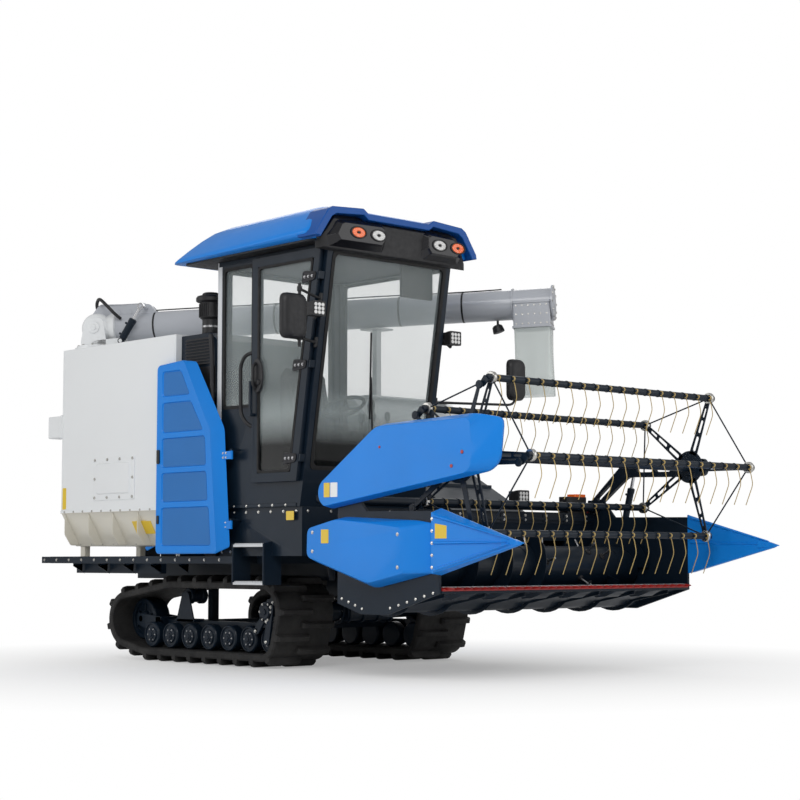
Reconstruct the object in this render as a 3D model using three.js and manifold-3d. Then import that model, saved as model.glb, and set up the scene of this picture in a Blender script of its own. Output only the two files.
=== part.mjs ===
// A tracked combine harvester for rice and other small grain, in millimetres: +X forward, +Y to the
// driver's left, +Z up. Each mesh is one closed solid. The group's userData holds the joint axes.

import * as THREE from "three";
import { ConvexGeometry } from "three/addons/geometries/ConvexGeometry.js";
import { mergeVertices } from "three/addons/utils/BufferGeometryUtils.js";
import Module from "manifold-3d";

const wasm = await Module();
wasm.setup();

// ---------------------------------------------------------------- driving dimensions

const seat = 0.3; // gap between two pieces that rest on each other
const pinSides = 10; // sides of a small round pin or bar
const wheelSides = 14; // sides of a roller, hub or cylinder
const tubeSides = 20; // sides of a large round tube or drum

// Running gear. X = 0 is the front end of the ground contact.
const trackRailGap = 35; // from the side of a chassis rail to the belt
const trackWidth = 500;
const beltThickness = 55;
const lugHeight = 40;
const lugPitch = 90;
const beltSides = 30; // corners of a full turn of the belt
const lugFoot = 46;
const lugCrest = 30;
const rollerCount = 7;
const rollerRadius = 95;
const wheelAxle = 28;
const rollerRearX = -1310;
const rollerFrontX = 80;
const idlerX = -1560;
const idlerZ = 300;
const idlerRadius = 155;
const sprocketRadius = 155;
const sprocketX = 70;
const sprocketTeeth = 12;
const carrierX = -1000;
const carrierZ = 480;
const carrierRadius = 60;

// Main frame
const deckZ = 770;
const railDepth = 50;
const frameRearX = -2150;
const frameFrontX = 180;
const bodyHalfWidth = 1150;
const chassisRailY = 360;
const chassisRailWidth = 60;
const chassisRailDepth = 120;

// Grain tank
const tankRearX = -2100;
const tankFrontX = -630;
const tankInnerY = -150;
const tankTopZ = 2360;
const tankShoulderZ = 1110;
const tankFloorZ = 850;
const tankWall = 8;

// Engine bay and cover
const bayRearX = -625;
const bayFrontX = -203;
const bayTopZ = 2350;
const coverThickness = 60;
const coverRearX = -760;
const coverTopZ = 2160;
const coverBottomZ = 787;

// Cab
const cabRearX = -200;
const cabRightY = -1100;
const cabLeftY = 40;
const cabFloorZ = 1100;
const cabRoofZ = 2838;
const cabWall = 45;
const cabSillX = 745;
const cabSillZ = 1340;
const cabBrowX = 985;
const glassThickness = 8;
const roofOverhang = 180;
const roofTopZ = cabRoofZ + 277;
const roofRearX = -520;
const roofRearDrop = 40; // how far the rear rim lies under the side rims

// Thresher
const thresherRearX = -2200;
const thresherFrontX = 200;
const thresherInnerY = -140;
const thresherOuterY = 1100;
const thresherTopZ = 1950;
const sideDoorThickness = 35;

// Unloader
const unloaderX = -1900;
const unloaderY = -950;
const unloaderHeading = 35.8;
const unloaderPitch = 1.9;
const unloaderLength = 3540;
const unloaderRadius = 112;
const unloaderPivotZ = tankTopZ + unloaderRadius + 58;
const sleeveLength = 500;

// Header
const headerHalfWidth = 1210;
const sidePlate = 20;
const headerPivotX = 350;
const headerPivotZ = 1250;
const feederRightY = 150;
const feederLeftY = 900;
const augerX = 1550;
const augerZ = 690;
const flightRadius = 250;
const drumRadius = 150;
const troughClearance = 18;
const troughSheet = 10;
const knifeX = 2135;
const knifeZ = 556;
const dividerTipX = 2860;
const dividerTipZ = 840;

// Reel
const reelRadius = 490;
const reelX = augerX + flightRadius + reelRadius - 30;
const reelZ = augerZ + flightRadius + reelRadius - 53;
const reelPivotX = 1300;
const reelPivotZ = 1120;
const batCount = 5;
const batRadius = 22;
const batHalfLength = headerHalfWidth - 115;
const batPhase = 69.5;
const tineCount = 17;
const tineLength = 250;
const spiderY = headerHalfWidth - 150;
const eccentricOffset = 60;

// ---------------------------------------------------------------- shape helpers

const radians = THREE.MathUtils.degToRad;

// A closed three.js geometry as a solid.
function solid(geometry) {
  const loose = geometry.index ? geometry.toNonIndexed() : geometry;
  const bare = new THREE.BufferGeometry().setAttribute("position", loose.getAttribute("position"));
  const merged = mergeVertices(bare, 1e-3);
  return new wasm.Manifold(
    new wasm.Mesh({
      numProp: 3,
      vertProperties: merged.getAttribute("position").array,
      triVerts: new Uint32Array(merged.index.array),
    }),
  );
}

const join = (...solids) => solids.flat().reduce((sum, next) => sum.add(next));
const cut = (body, ...tools) => tools.flat().reduce((rest, tool) => rest.subtract(tool), body);

function box([x0, x1], [y0, y1], [z0, z1]) {
  const geometry = new THREE.BoxGeometry(x1 - x0, Math.abs(y1 - y0), z1 - z0);
  return solid(geometry.translate((x0 + x1) / 2, (y0 + y1) / 2, (z0 + z1) / 2));
}

function extrude(points, depth, holes = []) {
  const shape = new THREE.Shape(points.map(([u, v]) => new THREE.Vector2(u, v)));
  shape.holes = holes.map((hole) => new THREE.Path(hole.map(([u, v]) => new THREE.Vector2(u, v))));
  return new THREE.ExtrudeGeometry(shape, { depth, bevelEnabled: false });
}

// A profile drawn in X and Z, from one Y to another.
function plateXZ(points, [y0, y1], holes) {
  const high = Math.max(y0, y1);
  return solid(extrude(points, Math.abs(y1 - y0), holes).rotateX(Math.PI / 2).translate(0, high, 0));
}

// A profile drawn in X and Y, from one Z to another.
function plateXY(points, [z0, z1], holes) {
  return solid(extrude(points, z1 - z0, holes).translate(0, 0, z0));
}

// A profile drawn in Y and Z, from one X to another.
function plateYZ(points, [x0, x1], holes) {
  const turn = new THREE.Matrix4().makeBasis(
    new THREE.Vector3(0, 1, 0),
    new THREE.Vector3(0, 0, 1),
    new THREE.Vector3(1, 0, 0),
  );
  return solid(extrude(points, x1 - x0, holes).applyMatrix4(turn).translate(x0, 0, 0));
}

function rod(from, to, radius, sides = pinSides) {
  const start = new THREE.Vector3(...from);
  const span = new THREE.Vector3(...to).sub(start);
  const geometry = new THREE.CylinderGeometry(radius, radius, span.length(), sides);
  const turn = new THREE.Quaternion().setFromUnitVectors(
    new THREE.Vector3(0, 1, 0),
    span.clone().normalize(),
  );
  const middle = start.addScaledVector(span, 0.5);
  return solid(geometry.applyQuaternion(turn).translate(middle.x, middle.y, middle.z));
}

// A rod along Y at a place in X and Z.
const axle = (x, z, [y0, y1], radius, sides = wheelSides) => rod([x, y0, z], [x, y1, z], radius, sides);

const hull = (points) => solid(new ConvexGeometry(points.map((p) => new THREE.Vector3(...p))));

// The same profile at two places in Y, joined by straight faces.
const loftXZ = (near, nearY, far, farY) =>
  hull([...near.map(([x, z]) => [x, nearY, z]), ...far.map(([x, z]) => [x, farY, z])]);

const circle = (x, z, radius, count, start = 0, sweep = 360) =>
  Array.from({ length: count }, (_, i) => {
    const turn = radians(start + (sweep * i) / (sweep === 360 ? count : count - 1));
    return [x + radius * Math.cos(turn), z + radius * Math.sin(turn)];
  });

// The corner radius of a faceted hole whose flats keep a clearance from a round pin.
const holeRadius = (radius, clearance, sides) => (radius + clearance) / Math.cos(Math.PI / sides);

const span = (side, a, b) => [side * a, side * b];

// ---------------------------------------------------------------- meshes and finishes

function finish(color, roughness, metalness = 0, extra = {}) {
  return new THREE.MeshStandardMaterial({ color, roughness, metalness, ...extra });
}

const paint = {
  blue: () => finish(0x1e78d8, 0.35),
  white: () => finish(0xf0f0ec, 0.4),
  dark: () => finish(0x14181f, 0.5, 0.2),
  grey: () => finish(0xb9bcc2, 0.4, 0.1),
  steel: () => finish(0x8a8d92, 0.35, 0.9),
  rubber: () => finish(0x121213, 0.85),
  glass: () => finish(0xcfdcdc, 0.05, 0, { transparent: true, opacity: 0.35 }),
  clear: () => finish(0xe4ecee, 0.15, 0, { transparent: true, opacity: 0.4 }),
  vinyl: () => finish(0x1c1d20, 0.7),
};

function mesh(name, body, material) {
  const data = body.getMesh();
  const geometry = new THREE.BufferGeometry()
    .setAttribute("position", new THREE.BufferAttribute(data.vertProperties, 3))
    .setIndex(new THREE.BufferAttribute(data.triVerts, 1));
  geometry.computeVertexNormals();
  const made = new THREE.Mesh(geometry, material);
  made.name = name;
  return made;
}

// ---------------------------------------------------------------- running gear

const trackInnerY = chassisRailY + chassisRailWidth / 2 + trackRailGap;
const trackY = trackInnerY + trackWidth / 2;
const trackOuterY = trackInnerY + trackWidth;
const rollerZ = lugHeight + beltThickness + rollerRadius;
const sprocketZ = rollerZ + wheelAxle + sprocketRadius + 12;
const rollerStep = (rollerFrontX - rollerRearX) / (rollerCount - 1);
const rollerX = (i) => rollerRearX + i * rollerStep;

const trackWheels = [
  [idlerX, idlerZ, idlerRadius],
  [rollerRearX, rollerZ, rollerRadius],
  [rollerFrontX, rollerZ, rollerRadius],
  [sprocketX, sprocketZ, sprocketRadius],
  [carrierX, carrierZ, carrierRadius],
];

// The loop that a belt takes round the wheels, this far outside their rims, anticlockwise.
function beltLoop(grow) {
  const points = trackWheels.flatMap(([x, z, r]) => circle(x, z, r + grow, beltSides));
  points.sort((a, b) => a[0] - b[0] || a[1] - b[1]);
  const half = (list) => {
    const chain = [];
    for (const p of list) {
      while (chain.length > 1) {
        const [a, b] = chain.slice(-2);
        if ((b[0] - a[0]) * (p[1] - a[1]) - (b[1] - a[1]) * (p[0] - a[0]) > 1e-6) break;
        chain.pop();
      }
      chain.push(p);
    }
    return chain.slice(0, -1);
  };
  return [...half(points), ...half([...points].reverse())];
}

// Places along a loop at an even pitch, each with the loop's direction there.
function alongLoop(loop, pitch) {
  const edges = loop.map((a, i) => {
    const b = loop[(i + 1) % loop.length];
    return { a, b, length: Math.hypot(b[0] - a[0], b[1] - a[1]) };
  });
  const total = edges.reduce((sum, edge) => sum + edge.length, 0);
  const count = 2 * Math.round(total / pitch / 2);
  const places = [];
  let walked = 0;
  for (const { a, b, length } of edges) {
    while (places.length < count && (places.length * total) / count < walked + length) {
      const t = ((places.length * total) / count - walked) / length;
      places.push({
        x: a[0] + t * (b[0] - a[0]),
        z: a[1] + t * (b[1] - a[1]),
        turn: Math.atan2(b[1] - a[1], b[0] - a[0]),
      });
    }
    walked += length;
  }
  return places;
}

function lug({ x, z, turn }, range) {
  const [c, s] = [Math.cos(turn), Math.sin(turn)];
  const root = -beltThickness / 4;
  const outline = [
    [-lugFoot / 2, root],
    [lugFoot / 2, root],
    [lugCrest / 2, lugHeight],
    [-lugCrest / 2, lugHeight],
  ].map(([along, out]) => [x + along * c + out * s, z + along * s - out * c]);
  return plateXZ(outline, range);
}

function track(side) {
  const [inner, outer] = [trackInnerY, trackOuterY];
  const overlap = trackWidth / 12;
  const belt = plateXZ(beltLoop(beltThickness), span(side, inner, outer), [beltLoop(seat)]);
  const lugs = alongLoop(beltLoop(beltThickness), lugPitch).map((place, i) =>
    lug(place, i % 2 ? span(side, inner, trackY + overlap) : span(side, trackY - overlap, outer)),
  );
  return join(belt, lugs);
}

const beamWidth = 70;
const beamTopZ = rollerZ + rollerRadius + 15;
const beamBottomZ = rollerZ - 30;
const beamNoseZ = sprocketZ - sprocketRadius - 8; // the beam's top where it passes under the sprocket
const rollerTread = 80; // width of each of a roller's two rims
const rollerInner = trackY - 165;
const rollerOuter = trackY + 95;
const rimClearance = 0.9; // running gap between a wheel's rim and the belt

function roller(side, x) {
  const rims = [rollerInner, rollerOuter].map((y) =>
    axle(x, rollerZ, span(side, y, y + rollerTread), rollerRadius - rimClearance),
  );
  return join(axle(x, rollerZ, span(side, rollerInner, rollerOuter + rollerTread), wheelAxle, 6), rims);
}

const idlerHalf = 70;
const forkGap = 12;
const forkPlate = 15;

function idler(side) {
  const rim = idlerRadius - rimClearance;
  const wheel = axle(idlerX, idlerZ, span(side, trackY - idlerHalf, trackY + idlerHalf), rim, tubeSides);
  const reach = idlerHalf + forkGap + forkPlate;
  const pin = axle(idlerX, idlerZ, span(side, trackY - reach, trackY + reach), wheelAxle, pinSides);
  const arm = [
    [idlerX - 45, idlerZ - 45],
    [idlerX + 260, beamBottomZ + 20],
    [idlerX + 260, beamTopZ + 20],
    [idlerX - 45, idlerZ + 45],
  ];
  const forks = [-1, 1].map((end) => {
    const near = trackY + end * (idlerHalf + forkGap);
    return plateXZ(arm, span(side, near, near + end * forkPlate));
  });
  const yoke = box([idlerX + 190, idlerX + 260], span(side, trackY - reach, trackY + reach), [
    beamBottomZ + 20,
    beamTopZ + 20,
  ]);
  return join(wheel, pin, forks, yoke);
}

const carrierHalf = 75;

function carrierRoller(side) {
  const wheel = axle(carrierX, carrierZ, span(side, trackY - carrierHalf, trackY + carrierHalf), carrierRadius - rimClearance);
  const bracketY = trackY + carrierHalf + 10;
  const pin = axle(carrierX, carrierZ, span(side, trackY - carrierHalf, bracketY + 12), 18, pinSides);
  const foot = box([carrierX - 110, carrierX + 110], span(side, trackY, bracketY + 12), [
    beamTopZ - 10,
    beamTopZ + 12,
  ]);
  const bracket = plateXZ(
    [
      [carrierX - 110, beamTopZ - 10],
      [carrierX + 110, beamTopZ - 10],
      [carrierX + 35, carrierZ + 30],
      [carrierX - 35, carrierZ + 30],
    ],
    span(side, bracketY, bracketY + 12),
  );
  return join(wheel, pin, foot, bracket);
}

const guardY = trackY + 187;
const guardPlate = 18;

// The outboard plate and brace that hold the outer end of the sprocket's shaft.
function sprocketGuard(side) {
  const range = span(side, guardY, guardY + guardPlate);
  const footX = rollerX(rollerCount - 2) - rollerStep / 2;
  const post = plateXZ(
    [
      [rollerFrontX - 30, rollerZ - 35],
      [rollerFrontX + 30, rollerZ - 35],
      [sprocketX + 85, sprocketZ + 15],
      [sprocketX + 85, sprocketZ + 50],
      [sprocketX + 35, sprocketZ + 50],
    ],
    range,
  );
  const brace = plateXZ(
    [
      [footX - 22, rollerZ + 42],
      [footX + 22, rollerZ + 42],
      [sprocketX + 40, sprocketZ - 5],
      [sprocketX + 40, sprocketZ + 50],
    ],
    range,
  );
  const boss = box([footX - 20, footX + 20], span(side, trackY, guardY + guardPlate), [
    rollerZ + 45,
    rollerZ + 82,
  ]);
  const hub = axle(sprocketX, sprocketZ, span(side, guardY, guardY + guardPlate), 62);
  return join(post, brace, boss, hub);
}

function trackFrame(side) {
  const beam = plateXZ(
    [
      [rollerRearX - 60, beamBottomZ],
      [rollerFrontX + 20, beamBottomZ],
      [rollerFrontX + 20, beamNoseZ],
      [sprocketX - sprocketRadius, beamNoseZ],
      [sprocketX - sprocketRadius - 60, beamTopZ],
      [rollerRearX - 60, beamTopZ],
    ],
    span(side, trackY - beamWidth / 2, trackY + beamWidth / 2),
  );
  const rollers = Array.from({ length: rollerCount }, (_, i) => roller(side, rollerX(i)));
  return join(beam, rollers, idler(side), carrierRoller(side), sprocketGuard(side));
}

const sprocketInner = trackY - 85;
const sprocketOuter = trackY + 85;
const shaftRadius = 60;

function driveAxle() {
  const gearboxHalf = 220;
  const gearbox = join(
    box([sprocketX - 110, sprocketX + 130], [-gearboxHalf, gearboxHalf], [310, 620]),
    box([-40, frameFrontX - 5], [-gearboxHalf + 60, gearboxHalf - 60], [600, deckZ - railDepth - seat]),
  );
  const teeth = circle(sprocketX, sprocketZ, 1, sprocketTeeth * 4).map(([x, z], i) => {
    const radius = i % 4 < 2 ? sprocketRadius - 3 : sprocketRadius - 26;
    return [sprocketX + (x - sprocketX) * radius, sprocketZ + (z - sprocketZ) * radius];
  });
  const ends = [-1, 1].map((side) =>
    join(
      axle(sprocketX, sprocketZ, span(side, gearboxHalf - 10, sprocketOuter), shaftRadius),
      plateXZ(teeth, span(side, sprocketInner, sprocketOuter)),
      axle(sprocketX, sprocketZ, span(side, sprocketOuter - 10, guardY - seat), shaftRadius / 2, pinSides),
    ),
  );
  return join(gearbox, ends);
}

// ---------------------------------------------------------------- main frame

const crossTubeHalf = 28;
const crossTubeZ = [beamTopZ - 55, beamTopZ - 5];
const crossTubes = [rollerX(0) + rollerStep / 2, rollerX(rollerCount - 3) + rollerStep / 2];
const liftPinX = 230;
const liftPinZ = 560;
const liftPinY = 285;
const liftEarGap = 40;
const liftEar = 15;

function mainFrame() {
  const beamTop = [deckZ - railDepth, deckZ];
  const rails = [-1, 1].map((side) =>
    box([frameRearX, frameFrontX], span(side, chassisRailY - chassisRailWidth / 2, chassisRailY + chassisRailWidth / 2), [
      deckZ - railDepth - chassisRailDepth,
      deckZ - railDepth,
    ]),
  );
  const crossbeams = [frameRearX, -1480, -820, -440, -60].map((x) =>
    box([x, x + 60], [-bodyHalfWidth, bodyHalfWidth], beamTop),
  );
  const frontBeam = box([frameFrontX - 60, frameFrontX], [-990, bodyHalfWidth], beamTop);
  const sills = [
    box([tankRearX - 260, 40], [-bodyHalfWidth, -bodyHalfWidth + 50], beamTop),
    box([tankRearX - 100, frameFrontX], [bodyHalfWidth - 50, bodyHalfWidth], beamTop),
  ];
  const stiffeners = [-1, 1].map((side) =>
    box([frameRearX + 60, -1000], span(side, trackOuterY + 20, trackOuterY + 80), [645, deckZ - railDepth + 1]),
  );
  const legs = crossTubes.flatMap((x) => [
    box([x - crossTubeHalf, x + crossTubeHalf], [-trackY + beamWidth / 2 + seat, trackY - beamWidth / 2 - seat], crossTubeZ),
    ...[-1, 1].map((side) =>
      box([x - crossTubeHalf, x + crossTubeHalf], span(side, chassisRailY - 30, chassisRailY + 30), [crossTubeZ[0], 610]),
    ),
  ]);
  const liftBracket = join(
    box([frameFrontX - 40, frameFrontX], [liftPinY - liftEarGap - liftEar, chassisRailY], [500, deckZ - railDepth - 1]),
    [-1, 1].map((end) => {
      const near = liftPinY + end * liftEarGap;
      return box([frameFrontX - 10, liftPinX + 30], [near, near + end * liftEar], [liftPinZ - 40, liftPinZ + 40]);
    }),
    axle(liftPinX, liftPinZ, [liftPinY - liftEarGap - 5, liftPinY + liftEarGap + 5], headerRam.pin, pinSides),
  );
  return join(rails, crossbeams, frontBeam, sills, stiffeners, legs, liftBracket);
}

// ---------------------------------------------------------------- grain tank and engine

function tankProfile(inset) {
  return [
    [-bodyHalfWidth + inset, tankTopZ - inset],
    [-bodyHalfWidth + inset, tankShoulderZ + inset * 0.5],
    [-1010 + inset * 0.6, tankFloorZ + inset],
    [-420 - inset * 0.6, tankFloorZ + inset],
    [tankInnerY - inset, 1200 + inset * 0.5],
    [tankInnerY - inset, tankTopZ - inset],
  ];
}

const inletRange = [
  [-900, -660],
  [2000, 2240],
];
const unloaderFlange = 190;

function grainTank() {
  const shell = cut(
    plateYZ(tankProfile(0), [tankRearX, tankFrontX]),
    plateYZ(tankProfile(tankWall), [tankRearX + tankWall, tankFrontX - tankWall]),
    box(inletRange[0], [tankInnerY - 40, tankInnerY + 5], inletRange[1]),
  );
  const feet = [tankRearX + 50, tankFrontX - 110].flatMap((x) =>
    [-1000, -480].map((y) => box([x, x + 60], [y, y + 50], [deckZ + seat, tankFloorZ + tankWall - 1])),
  );
  const ring = rod(
    [unloaderX, unloaderY, tankTopZ - 4],
    [unloaderX, unloaderY, tankTopZ + 20],
    unloaderFlange,
    tubeSides,
  );
  return join(shell, feet, ring);
}

function engineBay() {
  const outline = [
    [bayRearX, deckZ + seat],
    [bayFrontX, deckZ + seat],
    [bayFrontX, bayTopZ - 60],
    [bayFrontX - 90, bayTopZ],
    [bayRearX, bayTopZ],
  ];
  const inner = [
    [bayRearX + 12, deckZ - 20],
    [bayFrontX - 12, deckZ - 20],
    [bayFrontX - 12, 1880],
    [bayRearX + 12, 1880],
  ];
  const right = -bodyHalfWidth + 45;
  return cut(plateXZ(outline, [right, tankInnerY - seat]), plateXZ(inner, [right - 5, tankInnerY - 12]));
}

function engineBlock() {
  const block = box([-590, -240], [-960, -380], [deckZ + seat, 1320]);
  const head = box([-540, -290], [-900, -440], [1310, 1520]);
  const fan = axle(-415, 1150, [-1060, -950], 60);
  return join(block, head, fan);
}

function airPrecleaner() {
  const [x, y] = [-470, -960];
  return join(
    rod([x, y, bayTopZ + seat], [x, y, bayTopZ + 130], 62, wheelSides),
    rod([x, y, bayTopZ + 125], [x, y, bayTopZ + 250], 78, wheelSides),
    rod([x, y, bayTopZ + 245], [x, y, bayTopZ + 285], 108, tubeSides),
    rod([x, y, bayTopZ + 284], [x, y, bayTopZ + 315], 60, wheelSides),
  );
}

const coverOutline = [
  [coverRearX, coverBottomZ],
  [-40, coverBottomZ],
  [-125, 1650],
  [-440, coverTopZ],
  [coverRearX, coverTopZ - 20],
];
const coverY = -bodyHalfWidth + 35;

const coverHingeX = 48;
const coverHingeY = -bodyHalfWidth - 15;
const coverHingeHeights = [985, 1465];
const coverKnuckle = 10;

// The fixed lug that stands over one of the cover's knuckles.
const coverHingeLug = (z, wallY) =>
  box([coverHingeX - 12, coverHingeX + 12], [coverHingeY - coverKnuckle, wallY], [z + 30 + seat, z + 42]);

function engineSideCover() {
  const foot = [
    [coverRearX, coverBottomZ],
    [30, coverBottomZ + 40],
    [-40, 1655],
    [-370, coverTopZ - 10],
    [coverRearX, coverTopZ - 20],
  ];
  const panel = loftXZ(foot, coverY - 45, coverOutline, coverY - 45 - coverThickness);
  const knuckles = coverHingeHeights.flatMap((z) => [
    rod([coverHingeX, coverHingeY, z - 30], [coverHingeX, coverHingeY, z + 30], coverKnuckle),
    box([-60, coverHingeX], [coverHingeY - 7, coverHingeY + 5], [z - 28, z + 28]),
  ]);
  return join(panel, knuckles);
}

// ---------------------------------------------------------------- cab

const cabTop = (lean) => cabSillX + ((cabBrowX - cabSillX) * (lean - cabSillZ)) / (cabRoofZ - cabSillZ);
const floorFrontX = 700;

const cabOutline = [
  [cabRearX, cabFloorZ + seat],
  [floorFrontX, cabFloorZ + seat],
  [cabSillX, cabSillZ],
  [cabBrowX, cabRoofZ],
  [cabRearX, cabRoofZ],
];
const cabInside = [
  [cabRearX + cabWall, cabFloorZ + 30],
  [floorFrontX - cabWall + 5, cabFloorZ + 30],
  [cabSillX - cabWall, cabSillZ],
  [cabTop(cabRoofZ - cabWall) - cabWall, cabRoofZ - cabWall],
  [cabRearX + cabWall, cabRoofZ - cabWall],
];

const doorRearX = 250;
const doorBottomZ = 1290;
const windowTopZ = cabRoofZ - 53;
const quarterBottomZ = 1790;
const quarterWindow = [
  [cabRearX + 55, quarterBottomZ],
  [doorRearX - 50, quarterBottomZ],
  [doorRearX - 50, windowTopZ],
  [cabRearX + 55, windowTopZ],
];
const doorway = (inset) => [
  [doorRearX + inset, doorBottomZ + inset],
  [cabTop(doorBottomZ) - 55 - inset, doorBottomZ + inset],
  [cabTop(windowTopZ) - 55 - inset, windowTopZ - inset],
  [doorRearX + inset, windowTopZ - inset],
];
const leftWindow = (inset) => [
  [cabRearX + 60 + inset, cabSillZ + inset],
  [cabTop(cabSillZ) - 60 - inset, cabSillZ + inset],
  [cabTop(windowTopZ) - 60 - inset, windowTopZ - inset],
  [cabRearX + 60 + inset, windowTopZ - inset],
];
const screenBottomZ = 1350;
const screenBand = (front, back, inset) => [
  [cabTop(screenBottomZ + inset) + front, screenBottomZ + inset],
  [cabTop(windowTopZ - inset) + front, windowTopZ - inset],
  [cabTop(windowTopZ - inset) - back, windowTopZ - inset],
  [cabTop(screenBottomZ + inset) - back, screenBottomZ + inset],
];
const rearWindow = [
  [cabRightY + 90, 1560],
  [cabLeftY - 90, 1560],
  [cabLeftY - 90, windowTopZ],
  [cabRightY + 90, windowTopZ],
];
const screenSide = 50;

function inset(points, by) {
  const us = points.map(([u]) => u);
  const vs = points.map(([, v]) => v);
  const middle = [(Math.min(...us) + Math.max(...us)) / 2, (Math.min(...vs) + Math.max(...vs)) / 2];
  return points.map(([u, v]) => [u + Math.sign(middle[0] - u) * by, v + Math.sign(middle[1] - v) * by]);
}

const doorThickness = 32;
const doorOverlap = 22;
const doorFrameWidth = 62;
const doorOuterY = cabRightY - 6 - doorThickness;
const doorHingeBack = 30; // how far the hinge line lies behind the pillar's front edge
const knuckleRadius = 9;
const hingeHeights = [doorBottomZ + 130, (doorBottomZ + windowTopZ) / 2, windowTopZ - 165];

// A slanted block on a front pillar, from one distance behind its front edge to another.
const pillarBlock = (z, half, [back, front], range) =>
  plateXZ(
    [
      [cabTop(z - half) - back, z - half],
      [cabTop(z - half) - front, z - half],
      [cabTop(z + half) - front, z + half],
      [cabTop(z + half) - back, z + half],
    ],
    range,
  );

function cabFrame() {
  const hingeLeaves = hingeHeights.map((z) =>
    pillarBlock(z, 25, [doorHingeBack - knuckleRadius - seat, 6], [doorOuterY - 5, cabRightY + 1]),
  );
  const coverLug = coverHingeLug(coverHingeHeights[1], cabRightY + 5);
  const shell = cut(
    plateXZ(cabOutline, [cabRightY, cabLeftY]),
    plateXZ(cabInside, [cabRightY + cabWall, cabLeftY - cabWall]),
    plateXZ(doorway(0), [cabRightY - 5, cabRightY + cabWall + 5]),
    plateXZ(quarterWindow, [cabRightY - 5, cabRightY + cabWall + 5]),
    plateXZ(leftWindow(0), [cabLeftY - cabWall - 5, cabLeftY + 5]),
    plateXZ(screenBand(30, cabWall + 20, 0), [cabRightY + screenSide, cabLeftY - screenSide]),
    plateYZ(rearWindow, [cabRearX - 5, cabRearX + cabWall + 5]),
  );
  return join(shell, hingeLeaves, coverLug);
}

const paneY = 12; // how far a pane sits inside the outer face of its wall

const windshield = () =>
  plateXZ(screenBand(-paneY, paneY + glassThickness, seat), [
    cabRightY + screenSide + seat,
    cabLeftY - screenSide - seat,
  ]);
const sideWindowRight = () =>
  plateXZ(inset(quarterWindow, seat), [cabRightY + paneY, cabRightY + paneY + glassThickness]);
const sideWindowLeft = () =>
  plateXZ(leftWindow(seat), [cabLeftY - paneY - glassThickness, cabLeftY - paneY]);
const rearPane = () =>
  plateYZ(inset(rearWindow, seat), [cabRearX + paneY, cabRearX + paneY + glassThickness]);

function cabDoor() {
  const range = [doorOuterY, doorOuterY + doorThickness];
  const grip = [doorRearX, doorRearX + 20];
  const handle = join(
    box(grip, [doorOuterY - 45, doorOuterY + 5], [1940, 1960]),
    box(grip, [doorOuterY - 45, doorOuterY - 25], [1720, 1960]),
    box(grip, [doorOuterY - 45, doorOuterY + 5], [1720, 1740]),
  );
  const frame = plateXZ(doorway(-doorOverlap), range, [doorway(doorFrameWidth - doorOverlap)]);
  const knuckles = hingeHeights.map((z) => {
    const [low, high] = [z - 24, z + 24];
    return rod(
      [cabTop(low) - doorHingeBack, doorOuterY, low],
      [cabTop(high) - doorHingeBack, doorOuterY, high],
      knuckleRadius,
    );
  });
  return join(frame, handle, knuckles);
}

const doorGlass = () =>
  plateXZ(doorway(doorFrameWidth - doorOverlap + seat), [
    doorOuterY + paneY,
    doorOuterY + paneY + glassThickness,
  ]);

function cabRoof() {
  const [right, left] = [cabRightY - roofOverhang, cabLeftY + roofOverhang];
  const ring = (x0, x1, edge, z) => [
    [x0, right + edge, z],
    [x1, right + edge, z],
    [x0, left - edge, z],
    [x1, left - edge, z],
  ];
  const cap = hull([
    ...ring(roofRearX + 40, cabBrowX - 10, 40, cabRoofZ + seat),
    ...ring(roofRearX + 200, cabBrowX - 10, 0, cabRoofZ + 50),
    ...ring(roofRearX, roofRearX + 40, 0, cabRoofZ + 50 - roofRearDrop),
    ...ring(-400, cabBrowX - 30, 140, roofTopZ - 50),
    ...ring(-250, 820, 300, roofTopZ),
  ]);
  const visor = hull([
    ...ring(cabBrowX - 60, cabBrowX + 75, 10, cabRoofZ + 72),
    ...ring(cabBrowX - 60, cabBrowX + 60, 20, cabRoofZ + 110),
    ...ring(cabBrowX - 60, cabBrowX - 40, 130, roofTopZ - 75),
  ]);
  const eye = rod([480, cabRightY + 330, roofTopZ - 10], [480, cabRightY + 330, roofTopZ + 25], 20);
  return cut(join(cap, visor, eye), unloaderRelief());
}

const unloaderRunningGap = 20; // from the unloader tube to the roof that it rises past

// The space past the roof's rear left corner that the unloader tube is lifted through.
function unloaderRelief() {
  const heading = radians(unloaderHeading);
  const at = (along, left) => [
    unloaderX + along * Math.cos(heading) - left * Math.sin(heading),
    unloaderY + along * Math.sin(heading) + left * Math.cos(heading),
  ];
  const [near, far] = [-unloaderRadius - unloaderRunningGap, 3 * unloaderRadius];
  const outline = [at(0, near), at(unloaderLength, near), at(unloaderLength, far), at(0, far)];
  return plateXY(outline, [cabRoofZ - 50, roofTopZ + 50]);
}

const fasciaInset = 50; // how far each lamp pod stands in from the roof's side rim

// The dark panel under the front of the roof, with a lamp pod at each end.
function lampFascia() {
  const [right, left] = [cabRightY - roofOverhang + fasciaInset, cabLeftY + roofOverhang - fasciaInset];
  const backX = cabBrowX + 3;
  const strip = box([backX, backX + 40], [right, left], [cabRoofZ - 45, cabRoofZ + 72 - seat]);
  const pods = [
    [right, right + 330],
    [left, left - 330],
  ].map(([outer, inner]) =>
    hull([
      ...[outer, inner].flatMap((y) => [
        [backX, y, cabRoofZ - 70],
        [backX, y, cabRoofZ + 72 - seat],
      ]),
      ...[outer + Math.sign(inner - outer) * 40, inner - Math.sign(inner - outer) * 60].flatMap((y) => [
        [backX + 95, y, cabRoofZ - 30],
        [backX + 80, y, cabRoofZ + 72 - seat],
      ]),
    ]),
  );
  return join(strip, pods);
}

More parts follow.
